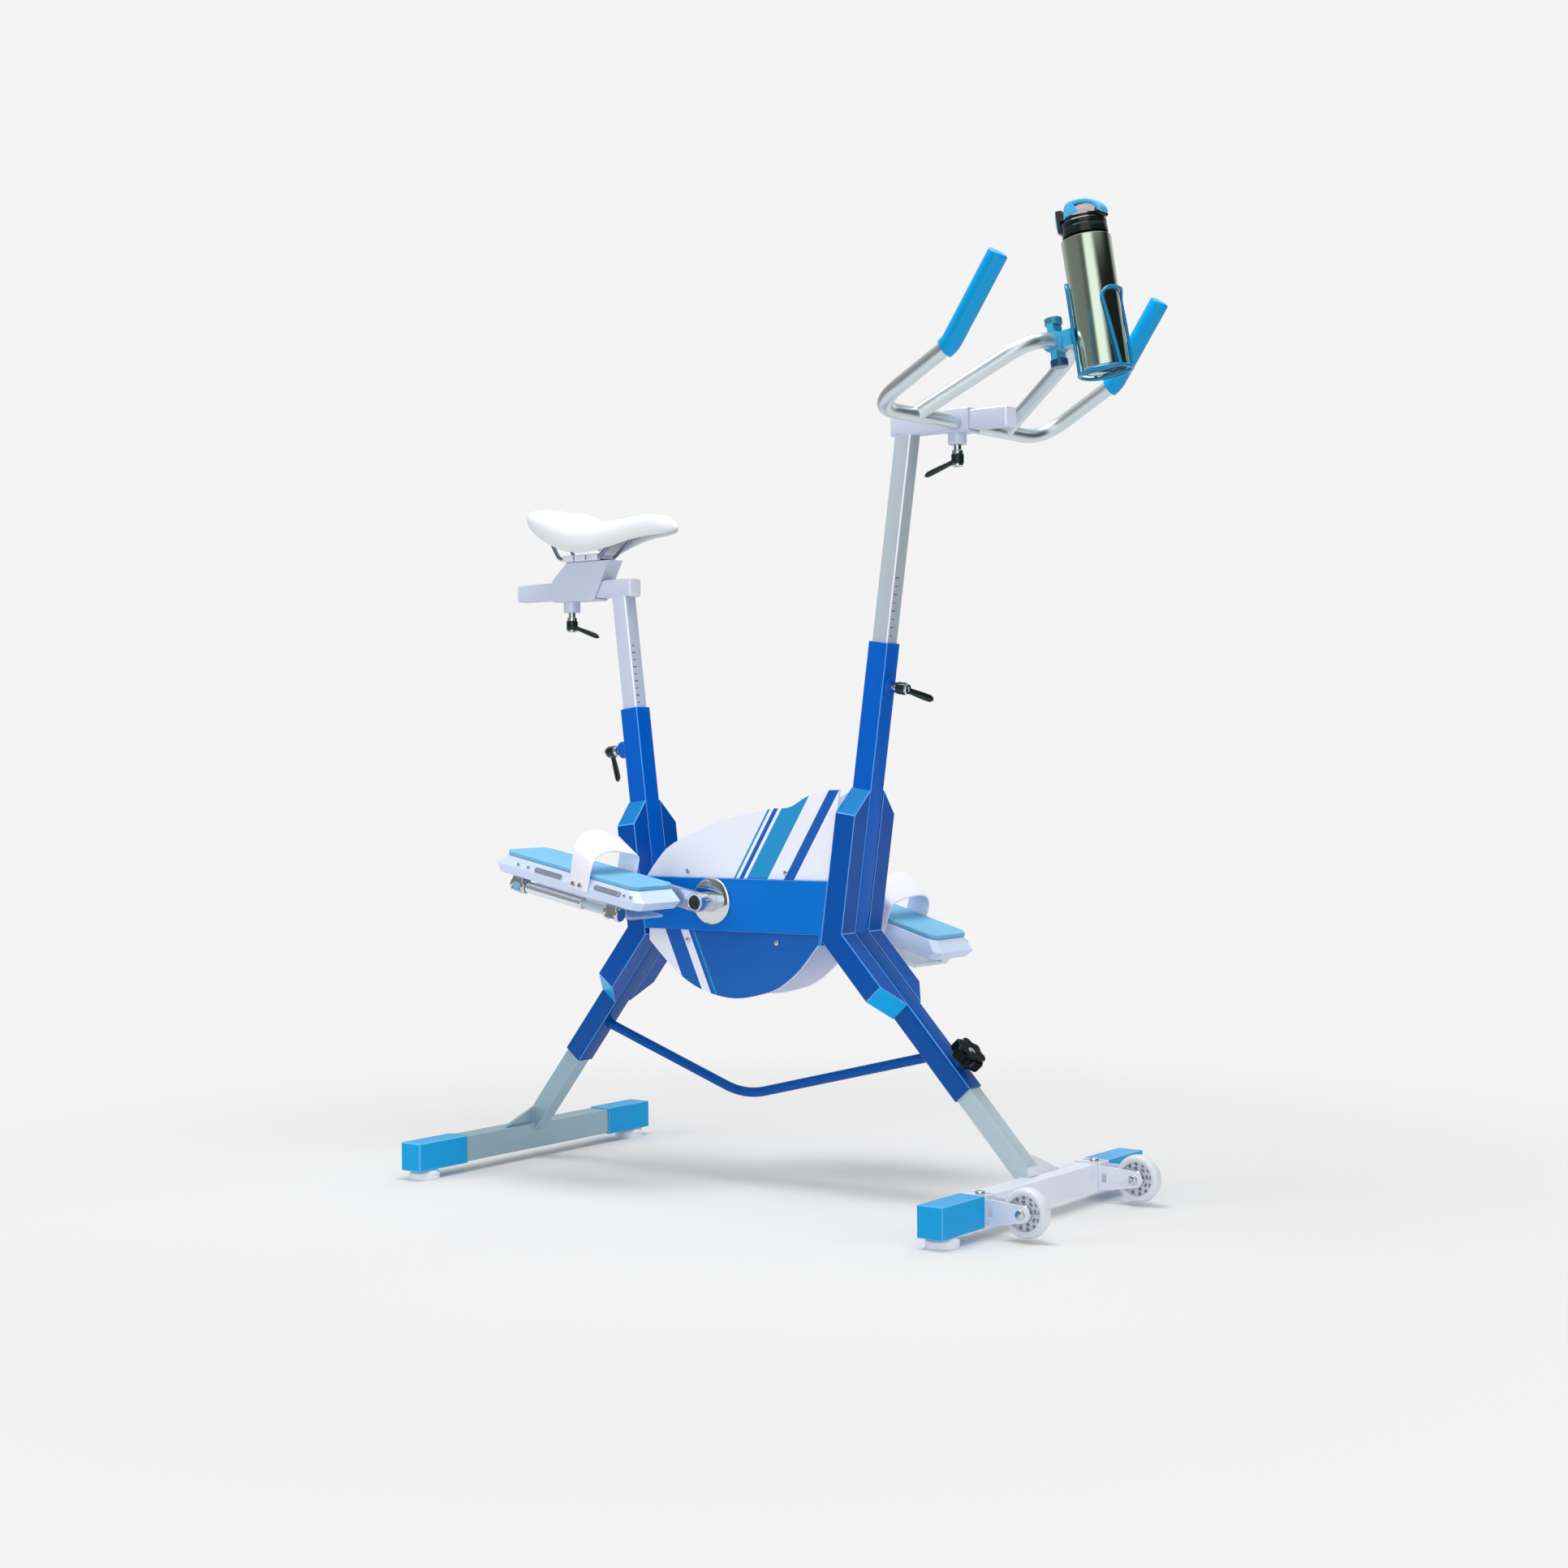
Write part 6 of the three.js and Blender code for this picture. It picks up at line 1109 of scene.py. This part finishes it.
stands_for(sliding_post("seat_post_tube", "rear", SEAT_RAIL_BOTTOM + 3, POST_LAVENDER), "seat_post")
seat_rail_ends = ((SEAT_RAIL_REAR, SEAT_RAIL_Z), (SEAT_RAIL_FRONT, SEAT_RAIL_Z))
goes_with(square_tube("seat_rail", *seat_rail_ends, POST_LAVENDER), "seat_post")
height_marks("seat_post_mark", "rear", 412, 13, 9, "seat_post")
end_plug("seat_rail_front_plug", SEAT_RAIL_FRONT, SEAT_RAIL_Z, 1, "seat_post")
end_plug("seat_rail_rear_plug", SEAT_RAIL_REAR, SEAT_RAIL_Z, -1, "seat_post")


# Saddle carriage and rails
# A bent stainless bracket slides on the rail and carries a clamp. Two steel wires run through the
# clamp's blocks and up into the saddle.
RAIL_STEEL = finish("rail_steel", (150, 158, 172), 0.25, 1)
RAIL_RADIUS = 3.5
RAIL_SPACING = 44
RAIL_Z = 1120.3
RAIL_REAR_LIFT = 64
CLAMP_REAR = -434.4
CLAMP_FRONT = -350.4
CLAMP_BOTTOM = 1114.4
CLAMP_BLOCK = 26
CLAMP_BLOCK_HALF = 28
CLAMP_BLOCK_TOP = 1126.2
CLAMP_PLATE_HALF = 20
CLAMP_PLATE_TOP = 1118.4
SADDLE_TAIL = -492
SADDLE_LENGTH = 308
SADDLE_HEIGHT = 92


def rail(hand, side):
    """A wire from the saddle's tail down through the clamp and up to its nose."""
    lift = SADDLE_HEIGHT / 2
    y = side * RAIL_SPACING / 2
    points = [
        (SADDLE_TAIL + 0.044 * SADDLE_LENGTH, 1.3 * y, RAIL_Z + RAIL_REAR_LIFT), (CLAMP_REAR - 11, y, RAIL_Z),
        (CLAMP_FRONT, y, RAIL_Z), (CLAMP_FRONT + 44, 0.9 * y, RAIL_Z + 0.72 * lift),
        (SADDLE_TAIL + 0.788 * SADDLE_LENGTH, 0.5 * y, RAIL_Z + lift)]
    path = eased_path(points, [9, 9, 9], 6)
    wire = skinned(f"saddle_rail_{hand}", carried(path, circle(RAIL_RADIUS, 16), (0, 1, 0)), RAIL_STEEL)
    goes_with(wire, "saddle_rails")


def rail_block(name, rear, length, half_width, top):
    """A box with round upright corners and eased top and bottom rims."""
    rings = []
    for z, inset in ((CLAMP_BOTTOM, 1), (CLAMP_BOTTOM + 1, 0), (top - 1, 0), (top, 1)):
        outline = rounded_box(length / 2 - inset, half_width - inset, 3 - inset)
        x, y = outline.T
        rings.append(np.column_stack([rear + length / 2 + x, y, 0 * x + z]))
    return skinned(name, rings, BRIGHT_STEEL)


eased("saddle_carriage", POST_LAVENDER, 1.2)
for hand, side in HANDS:
    rail(hand, side)
block_rears = (CLAMP_REAR, (CLAMP_REAR + CLAMP_FRONT - CLAMP_BLOCK) / 2, CLAMP_FRONT - CLAMP_BLOCK)
for number, rear in enumerate(block_rears):
    block = rail_block(f"rail_clamp_{number}", rear, CLAMP_BLOCK, CLAMP_BLOCK_HALF, CLAMP_BLOCK_TOP)
    if number:
        goes_with(block, "saddle_rails")
    else:
        stands_for(block, "saddle_rails")
plate_length = CLAMP_FRONT - CLAMP_REAR
plate = rail_block("rail_clamp_plate", CLAMP_REAR, plate_length, CLAMP_PLATE_HALF, CLAMP_PLATE_TOP)
goes_with(plate, "saddle_rails")
for number, rear in enumerate((CLAMP_REAR, CLAMP_FRONT - CLAMP_BLOCK)):
    place = (rear + CLAMP_BLOCK / 2, 0, CLAMP_BLOCK_TOP - 0.2)
    pan_head(f"rail_clamp_bolt_{number}", place, (0, 0, 1), 5, "saddle_rails", CHROME)


# Saddle
# Foam on a moulded shell under smooth white vinyl: broad and humped at the tail, dipped in the
# middle, with a long narrow nose, and hollow underneath where the wires go in.
SADDLE_WHITE = finish("saddle_white", (226, 229, 232), 0.42, coat=0.05, grain=(900, 900, 0.06), gloss=0.2)
SADDLE_HALF_WIDTH = 82
SADDLE_BASE = 1119.3
SADDLE_STATION_SHARES = (
    (0, 0.40, 0.73, 0.84), (0.012, 0.62, 0.69, 0.93), (0.04, 0.88, 0.6, 0.97), (0.1, 0.99, 0.47, 1),
    (0.19, 1, 0.29, 0.96), (0.3, 0.9, 0.13, 0.82), (0.42, 0.69, 0.09, 0.72), (0.54, 0.5, 0.17, 0.7),
    (0.66, 0.39, 0.27, 0.74), (0.78, 0.34, 0.34, 0.78), (0.88, 0.3, 0.37, 0.76), (0.95, 0.22, 0.4, 0.67),
    (0.985, 0.13, 0.43, 0.58), (1, 0.05, 0.46, 0.5))
SADDLE_RING_SHARES = (
    (-0.82, 0), (-0.95, 0.2), (-1, 0.5), (-0.95, 0.76), (-0.8, 0.92), (-0.5, 1), (-0.2, 0.985), (0, 0.97),
    (0.2, 0.985), (0.5, 1), (0.8, 0.92), (0.95, 0.76), (1, 0.5), (0.95, 0.2), (0.82, 0), (0.7, 0.06),
    (0.62, 0.36), (0, 0.45), (-0.62, 0.36), (-0.7, 0.06), (-0.82, 0))


def saddle():
    """Rings across the saddle: Y = ring share by width, Z = from the skirt's line up to the crown's line."""
    stations = smooth_through(SADDLE_STATION_SHARES, 7)
    ring = smooth_through(SADDLE_RING_SHARES, 5)[:-1]
    along, width, low, high = (stations[:, i, None] for i in range(4))
    x = SADDLE_TAIL + along * SADDLE_LENGTH + 0 * ring[None, :, 0]
    y = ring[None, :, 0] * width * SADDLE_HALF_WIDTH
    z = SADDLE_BASE + (low + ring[None, :, 1] * (high - low)) * SADDLE_HEIGHT
    return skinned("saddle_cushion", np.stack([x, y, z], -1), SADDLE_WHITE, sharp_deg=70)


cushion = stands_for(saddle(), "saddle")


# Handlebar post
# A square stainless tube that slides in the mast, marked down its front face, with a level head
# tube welded on top.
POST_GREY = finish("post_grey", (186, 200, 208), 0.3, 0.2, grain=(420, 90, 0.12), gloss=0.3)
HEAD_BOTTOM = 1286.5
HEAD_Z = HEAD_BOTTOM + POST_HALF
HEAD_REAR = 290
HEAD_FRONT = 513
stands_for(sliding_post("handlebar_post_tube", "front", HEAD_BOTTOM + 3, POST_GREY), "handlebar_post")
head_tube = square_tube("head_tube", (HEAD_REAR, HEAD_Z), (HEAD_FRONT, HEAD_Z), POST_LAVENDER)
goes_with(head_tube, "handlebar_post")
end_plug("head_tube_plug", HEAD_FRONT, HEAD_Z, 1, "handlebar_post", 3)
end_plug("head_tube_rear_plug", HEAD_REAR + 2, HEAD_Z, -1, "handlebar_post", 2)
height_marks("bar_post_mark", "front", 516, 14, 8, "handlebar_post")


# Handlebar
# A stainless sleeve on the head tube, with a wide outer bar and a narrower inner loop, both of
# bent round tube with a satin polish and welded to the sleeve.
SATIN_STEEL = finish("satin_steel", (212, 222, 226), 0.36, 0.95, grain=(260, 260, 0.03))
SLEEVE_REAR = 397
SLEEVE_LENGTH = 47
SLEEVE_HALF = 20
SLEEVE_CORNER = 3.5
SLEEVE_BOSS_HEIGHT = 18
HANDLE_X = SLEEVE_REAR + SLEEVE_LENGTH / 2
HANDLE_Z = HEAD_Z - 3.6
HANDLE_RADIUS = 12.5
HANDLE_REACH = 260
HANDLE_BEND_REACH = 60
HANDLE_ARM = (165, 29.7)
GRIP_RUN = (152, 55.9)
GRIP_BEND_REACH = 10
LOOP_DEG = 32.2
LOOP_LENGTH = 213
LOOP_FOOT_HALF = 139
LOOP_TOP_HALF = 70
LOOP_BEND_REACH = 52
BAR_UP = (-math.sin(math.radians(30)), 0, math.cos(math.radians(30)))


def rising(y, along, degrees):
    """A point at Y, so far up a line that rises forwards from the sleeve."""
    turn = math.radians(degrees)
    return np.array([HANDLE_X + along * math.cos(turn), y, HANDLE_Z + along * math.sin(turn)])


def grip_point(side, along):
    """A point so far up the bar's end from its upper bend."""
    turn = math.radians(GRIP_RUN[1])
    climb = np.array([along * math.cos(turn), 0, along * math.sin(turn)])
    return rising(side * HANDLE_REACH, *HANDLE_ARM) + climb


def bar(name, points, reaches):
    """A circle carried along straight runs with rounded corners."""
    path = eased_path(points, reaches)
    return skinned(name, carried(path, circle(HANDLE_RADIUS, 32), BAR_UP), SATIN_STEEL)


stands_for(bar("outer_bar", [
    grip_point(-1, GRIP_RUN[0]), grip_point(-1, 0), rising(-HANDLE_REACH, 0, HANDLE_ARM[1]),
    rising(HANDLE_REACH, 0, HANDLE_ARM[1]), grip_point(1, 0), grip_point(1, GRIP_RUN[0])],
    [GRIP_BEND_REACH, HANDLE_BEND_REACH, HANDLE_BEND_REACH, GRIP_BEND_REACH]), "handlebar")
goes_with(bar("inner_loop", [
    rising(-LOOP_FOOT_HALF, 0, LOOP_DEG), rising(-LOOP_TOP_HALF, LOOP_LENGTH, LOOP_DEG),
    rising(LOOP_TOP_HALF, LOOP_LENGTH, LOOP_DEG), rising(LOOP_FOOT_HALF, 0, LOOP_DEG)],
    [LOOP_BEND_REACH, LOOP_BEND_REACH]), "handlebar")
sleeve_ends = ((SLEEVE_REAR, HEAD_Z), (SLEEVE_REAR + SLEEVE_LENGTH, HEAD_Z))
sleeve_wall = SLEEVE_HALF - POST_HALF - 0.5
bar_sleeve = square_tube("bar_sleeve", *sleeve_ends, POST_LAVENDER, SLEEVE_HALF, SLEEVE_CORNER, sleeve_wall)
goes_with(bar_sleeve, "handlebar")
sleeve_boss = [(LEVER_BOSS_RADIUS, -1), (LEVER_BOSS_RADIUS, SLEEVE_BOSS_HEIGHT - 1),
               (LEVER_BOSS_RADIUS - 1, SLEEVE_BOSS_HEIGHT), (STUD_BORE, SLEEVE_BOSS_HEIGHT)]
sleeve_bottom = (BAR_LEVER_PLACE[0], 0, HEAD_Z - SLEEVE_HALF)
goes_with(turned("bar_sleeve_boss", sleeve_boss, sleeve_bottom, (0, 0, -1), POST_LAVENDER), "handlebar")


# Grips
# Smooth sleeves of sky blue plastic, pushed over the ends of the outer bar. Each follows the bar's
# upper bend and is closed and rounded at its tip.
GRIP_BLUE = finish("grip_blue", (0, 152, 216), 0.32, coat=0.08, gloss=0.2)
GRIP_RADIUS = 16.3
GRIP_MOUTH = 154
GRIP_PAST_BAR = 4.3
GRIP_TIP = 4


def grip(hand, side):
    """A round section carried up the bar's end: its radius swells from the mouth and closes over the tip."""
    path = eased_path([rising(side * HANDLE_REACH, GRIP_MOUTH, HANDLE_ARM[1]), grip_point(side, 0),
                       grip_point(side, GRIP_RUN[0] + GRIP_PAST_BAR)], [GRIP_BEND_REACH], 14)
    heading = path[-1] - path[-2]
    heading /= np.linalg.norm(heading)
    bend = np.radians(np.linspace(10, 85, 7))
    mouth = np.linspace(path[0], path[1], 5)[1:-1]
    tip = path[-1] - heading * GRIP_TIP * (1 - np.sin(bend))[:, None]
    straight = np.linspace(path[-2], path[-1] - heading * GRIP_TIP, 8)
    run = np.vstack([path[:1], mouth, path[1:-2], straight, tip])
    radius = np.full(len(run), GRIP_RADIUS)
    radius[0] = GRIP_RADIUS - 1.2
    radius[-len(tip):] = GRIP_RADIUS - GRIP_TIP + GRIP_TIP * np.cos(bend)
    profile = circle(1, 32)[None] * radius[:, None, None]
    sleeve = skinned(f"grip_{hand}_sleeve", carried(run, profile, BAR_UP), GRIP_BLUE, sharp_deg=60)
    stands_for(sleeve, f"grip_{hand}")


for hand, side in HANDS:
    grip(hand, side)


# Bottle
# A polished steel bottle with a black plastic collar. Its lid has a light blue carrying loop over a
# grey mouthpiece, and a dark latch with a blue button holds the lid at the back.
BOTTLE_X = 689.7
BOTTLE_Z = 1359.57
BOTTLE_LEAN_DEG = -9
BOTTLE_RADIUS = 40.1
BOTTLE_FOOT_RADIUS = 37.9
BOTTLE_FOOT_CORNER = 4
BOTTLE_SHOULDER_Z = 214
# The steel's green tint is a painted reflection of green surroundings.
BOTTLE_STEEL = finish("bottle_steel", (198, 214, 196), 0.13, 1, grain=(60, 900, 0.03))
COLLAR_BLACK = finish("collar_black", (14, 28, 26), 0.2, coat=0.15, gloss=0.3)
LATCH_BLACK = finish("latch_black", (10, 24, 28), 0.22, coat=0.15, gloss=0.3)
LID_BLUE = finish("lid_blue", (84, 176, 224), 0.28, coat=0.15, gloss=0.3)
SPOUT_GREY = finish("spout_grey", (200, 190, 194), 0.6, gloss=0.2)
COLLAR_PROFILE = [
    (35, 218.9), (36.5, 218.5), (36.6, 220), (36.6, 231), (36, 232), (35.4, 232.6), (35.4, 234),
    (36.3, 234.6), (36.3, 240), (35, 242), (10, 242), (10, 240.3), (29.4, 240.3), (29.4, 226.8)]
LID_PROFILE = [(31, 242.3), (31.2, 243), (31.2, 248), (29.6, 250.3), (1, 250.3)]
HINGE_PROFILE = [(3.2, 0), (3.8, 0.7), (3.8, 27.3), (3.2, 28)]
HINGE_PLACE = (34.6, -14, 246.4)
LOOP_LINE = [
    (-23, 0, 247), (-23, 0, 269), (-17, 0, 275), (10, 0, 274), (28, 0, 266), (36.5, 0, 254), (35, 0, 247)]
LOOP_REACHES = [6, 6, 9, 7, 4]
ROOT_OUTLINE = [(-28, 248), (-26, 266), (-20, 274), (-9, 275), (-4, 264), (1, 250)]
SPOUT_LINE = [(-8, 0, 259), (4, 0, 260), (16, 0, 258), (27, 0, 252)]


def on_bottle(points):
    """Points about the bottle's own axis, counted up from its foot, as points of the bike."""
    return leaning(points, BOTTLE_X, BOTTLE_Z, BOTTLE_LEAN_DEG)


def bottle_skin(name, rings, material, closed=False, sharp_deg=32):
    """A skin over rings that are given about the bottle's own axis."""
    return skinned(name, on_bottle(rings), material, closed, sharp_deg)


def arc_block(name, inner, outer, low, high, middle_deg, half_deg, material):
    """A curved plate about the bottle's axis, between two radii and two heights."""
    turn = np.radians(np.linspace(middle_deg - half_deg, middle_deg + half_deg, 24))[:, None]
    ease = min(1.2, (outer - inner) / 3)
    radius, z = np.array([
        (inner, low), (outer - ease, low), (outer, low + ease), (outer, high - ease), (outer - ease, high),
        (inner, high)]).T
    rings = np.stack([radius * np.cos(turn), radius * np.sin(turn), z + 0 * turn], -1)
    return bottle_skin(name, rings, material)


def vessel():
    """A turned wall, up the outside from a hollow foot to the neck and down the inside."""
    bend = np.radians(np.linspace(0, 90, 8))
    corner = BOTTLE_FOOT_CORNER
    foot = np.stack([BOTTLE_FOOT_RADIUS - corner + corner * np.sin(bend), corner - corner * np.cos(bend)], -1)
    profile = np.vstack([[(1, 2.5), (26, 2.5), (28, 0.4), (30, 0)], foot, [
        (BOTTLE_RADIUS, BOTTLE_SHOULDER_Z - 2), (BOTTLE_RADIUS - 0.6, BOTTLE_SHOULDER_Z - 0.4),
        (BOTTLE_RADIUS - 2, BOTTLE_SHOULDER_Z), (30, 225), (29, 226), (29, 240), (27.4, 240), (27.4, 226),
        (30, 218), (38.3, 212), (36.3, 4), (1, 4)]])
    return bottle_skin("bottle_vessel", turned_rings(profile, 64), BOTTLE_STEEL, sharp_deg=40)


def loop_root():
    """The loop's broad root at the back of the lid: an outline in the bottle's plane, carried across it."""
    outline = np.array(ROOT_OUTLINE)
    middle = outline.mean(0)
    rings = []
    for y, share in ((-13.5, 0.92), (-12.3, 1), (12.3, 1), (13.5, 0.92)):
        ring = middle + (outline - middle) * share
        rings.append(np.stack([ring[:, 0], 0 * ring[:, 0] + y, ring[:, 1]], -1))
    return bottle_skin("lid_loop_root", rings, LID_BLUE)


stands_for(vessel(), "bottle_body")
collar = turned_rings(COLLAR_PROFILE, 64)
stands_for(bottle_skin("bottle_collar_ring", collar, COLLAR_BLACK, True), "bottle_collar")
stands_for(bottle_skin("lid_cap", turned_rings(LID_PROFILE, 64), COLLAR_BLACK), "bottle_lid")
hinge = aimed(turned_rings(HINGE_PROFILE, 24), HINGE_PLACE, (0, 1, 0))
goes_with(bottle_skin("lid_hinge", hinge, COLLAR_BLACK), "bottle_lid")
loop = carried(eased_path(LOOP_LINE, LOOP_REACHES, 6), rounded_box(4, 13, 3, 4), (0, 1, 0))
goes_with(bottle_skin("lid_carry_loop", loop, LID_BLUE), "bottle_lid")
goes_with(loop_root(), "bottle_lid")
spout = carried(smooth_through(SPOUT_LINE, 5), rounded_box(9.4, 11, 3, 4), (0, 1, 0))
goes_with(bottle_skin("lid_spout", spout, SPOUT_GREY), "bottle_lid")
stands_for(arc_block("latch_tab", 37.3, 42.6, 230.5, 262, 180, 24, LATCH_BLACK), "bottle_latch")
goes_with(arc_block("latch_hook", 32, 42.4, 251.5, 268, 180, 22, LATCH_BLACK), "bottle_latch")
goes_with(arc_block("latch_button", 42, 43.6, 238, 259, 194, 13, LID_BLUE), "bottle_latch")


# Bottle cage and clamp
# The bottle stands in a cage of coated wire: a ring and two wires under it, a tall hoop behind it and
# a lower one in front. A painted clamp with two round knobs holds the cage on the inner loop.
CAGE_BLUE = finish("cage_blue", (10, 128, 178), 0.25, 0.1, 0.2, gloss=0.3)
CLAMP_BLUE = finish("clamp_blue", (60, 174, 216), 0.25, 0.1, 0.2, gloss=0.3)
KNOB_TEAL = finish("knob_teal", (56, 134, 154), 0.25, 0.2, 0.3)
KNOB_NAVY = finish("knob_navy", (16, 66, 120), 0.25, 0.2, 0.3)
CAGE_REACH = 42.5
CAGE_WIRE = 2.8
CAGE_HALF_WIDTH = 27
CAGE_FOOT_Z = -3.1
CAGE_HOOPS = (("rear", -1, CAGE_HALF_WIDTH, CAGE_HALF_WIDTH, 149), ("front", 1, 19, 33, 124))
CLAMP_MIDDLE = (-79.6, 0, 66.1)
CLAMP_HALF_HEIGHT = 35.5
CLAMP_KNOB_PROFILE = [(12.6, -8), (14.4, -6.6), (14.4, 3.4), (12.6, 5), (0.5, 5.4)]


def cage_hoop(name, side, foot, half, height):
    """A wire that stands on the cage's foot, follows the bottle's round and bends over at its height."""
    flat = eased_path([(0, -foot, -3), (0, -half, height), (0, half, height), (0, foot, -3)], [22, 22], 14)
    climb = np.linspace(flat[0], flat[1], 12)[:-1]
    line = np.vstack([climb, flat[1:-1], np.linspace(flat[-2], flat[-1], 12)[1:]])
    line[:, 0] = side * np.sqrt(CAGE_REACH ** 2 - line[:, 1] ** 2)
    return bottle_skin(name, carried(line, circle(CAGE_WIRE, 16), (1, 0, 0.001)), CAGE_BLUE, sharp_deg=60)


ring_section = circle(CAGE_WIRE, 16) + (CAGE_REACH, CAGE_FOOT_Z)
stands_for(bottle_skin("cage_ring", turned_rings(ring_section, 64), CAGE_BLUE, True, 60), "bottle_cage")
for name, *sizes in CAGE_HOOPS:
    goes_with(cage_hoop(f"cage_hoop_{name}", *sizes), "bottle_cage")
for hand, side in HANDS:
    reach = math.sqrt(CAGE_REACH ** 2 - CAGE_HALF_WIDTH ** 2)
    place = (-reach, side * CAGE_HALF_WIDTH, CAGE_FOOT_Z)
    wire = aimed(turned_rings([(CAGE_WIRE, 0), (CAGE_WIRE, 2 * reach)], 16), place, (1, 0, 0))
    goes_with(bottle_skin(f"cage_foot_wire_{hand}", wire, CAGE_BLUE), "bottle_cage")
goes_with(arc_block("cage_pad", 40, 45.2, 54.5, 77.5, 180, 40, CAGE_BLUE), "bottle_cage")
eased("bottle_clamp", CLAMP_BLUE, 1)
for name, toward, paint in (("upper", 1, KNOB_TEAL), ("lower", -1, KNOB_NAVY)):
    base = on_bottle(np.array(CLAMP_MIDDLE) + (0, 0, toward * CLAMP_HALF_HEIGHT))
    axis = leaning([0, 0, toward], 0, 0, BOTTLE_LEAN_DEG)
    goes_with(turned(f"clamp_knob_{name}", CLAMP_KNOB_PROFILE, base, axis, paint), "bottle_clamp")
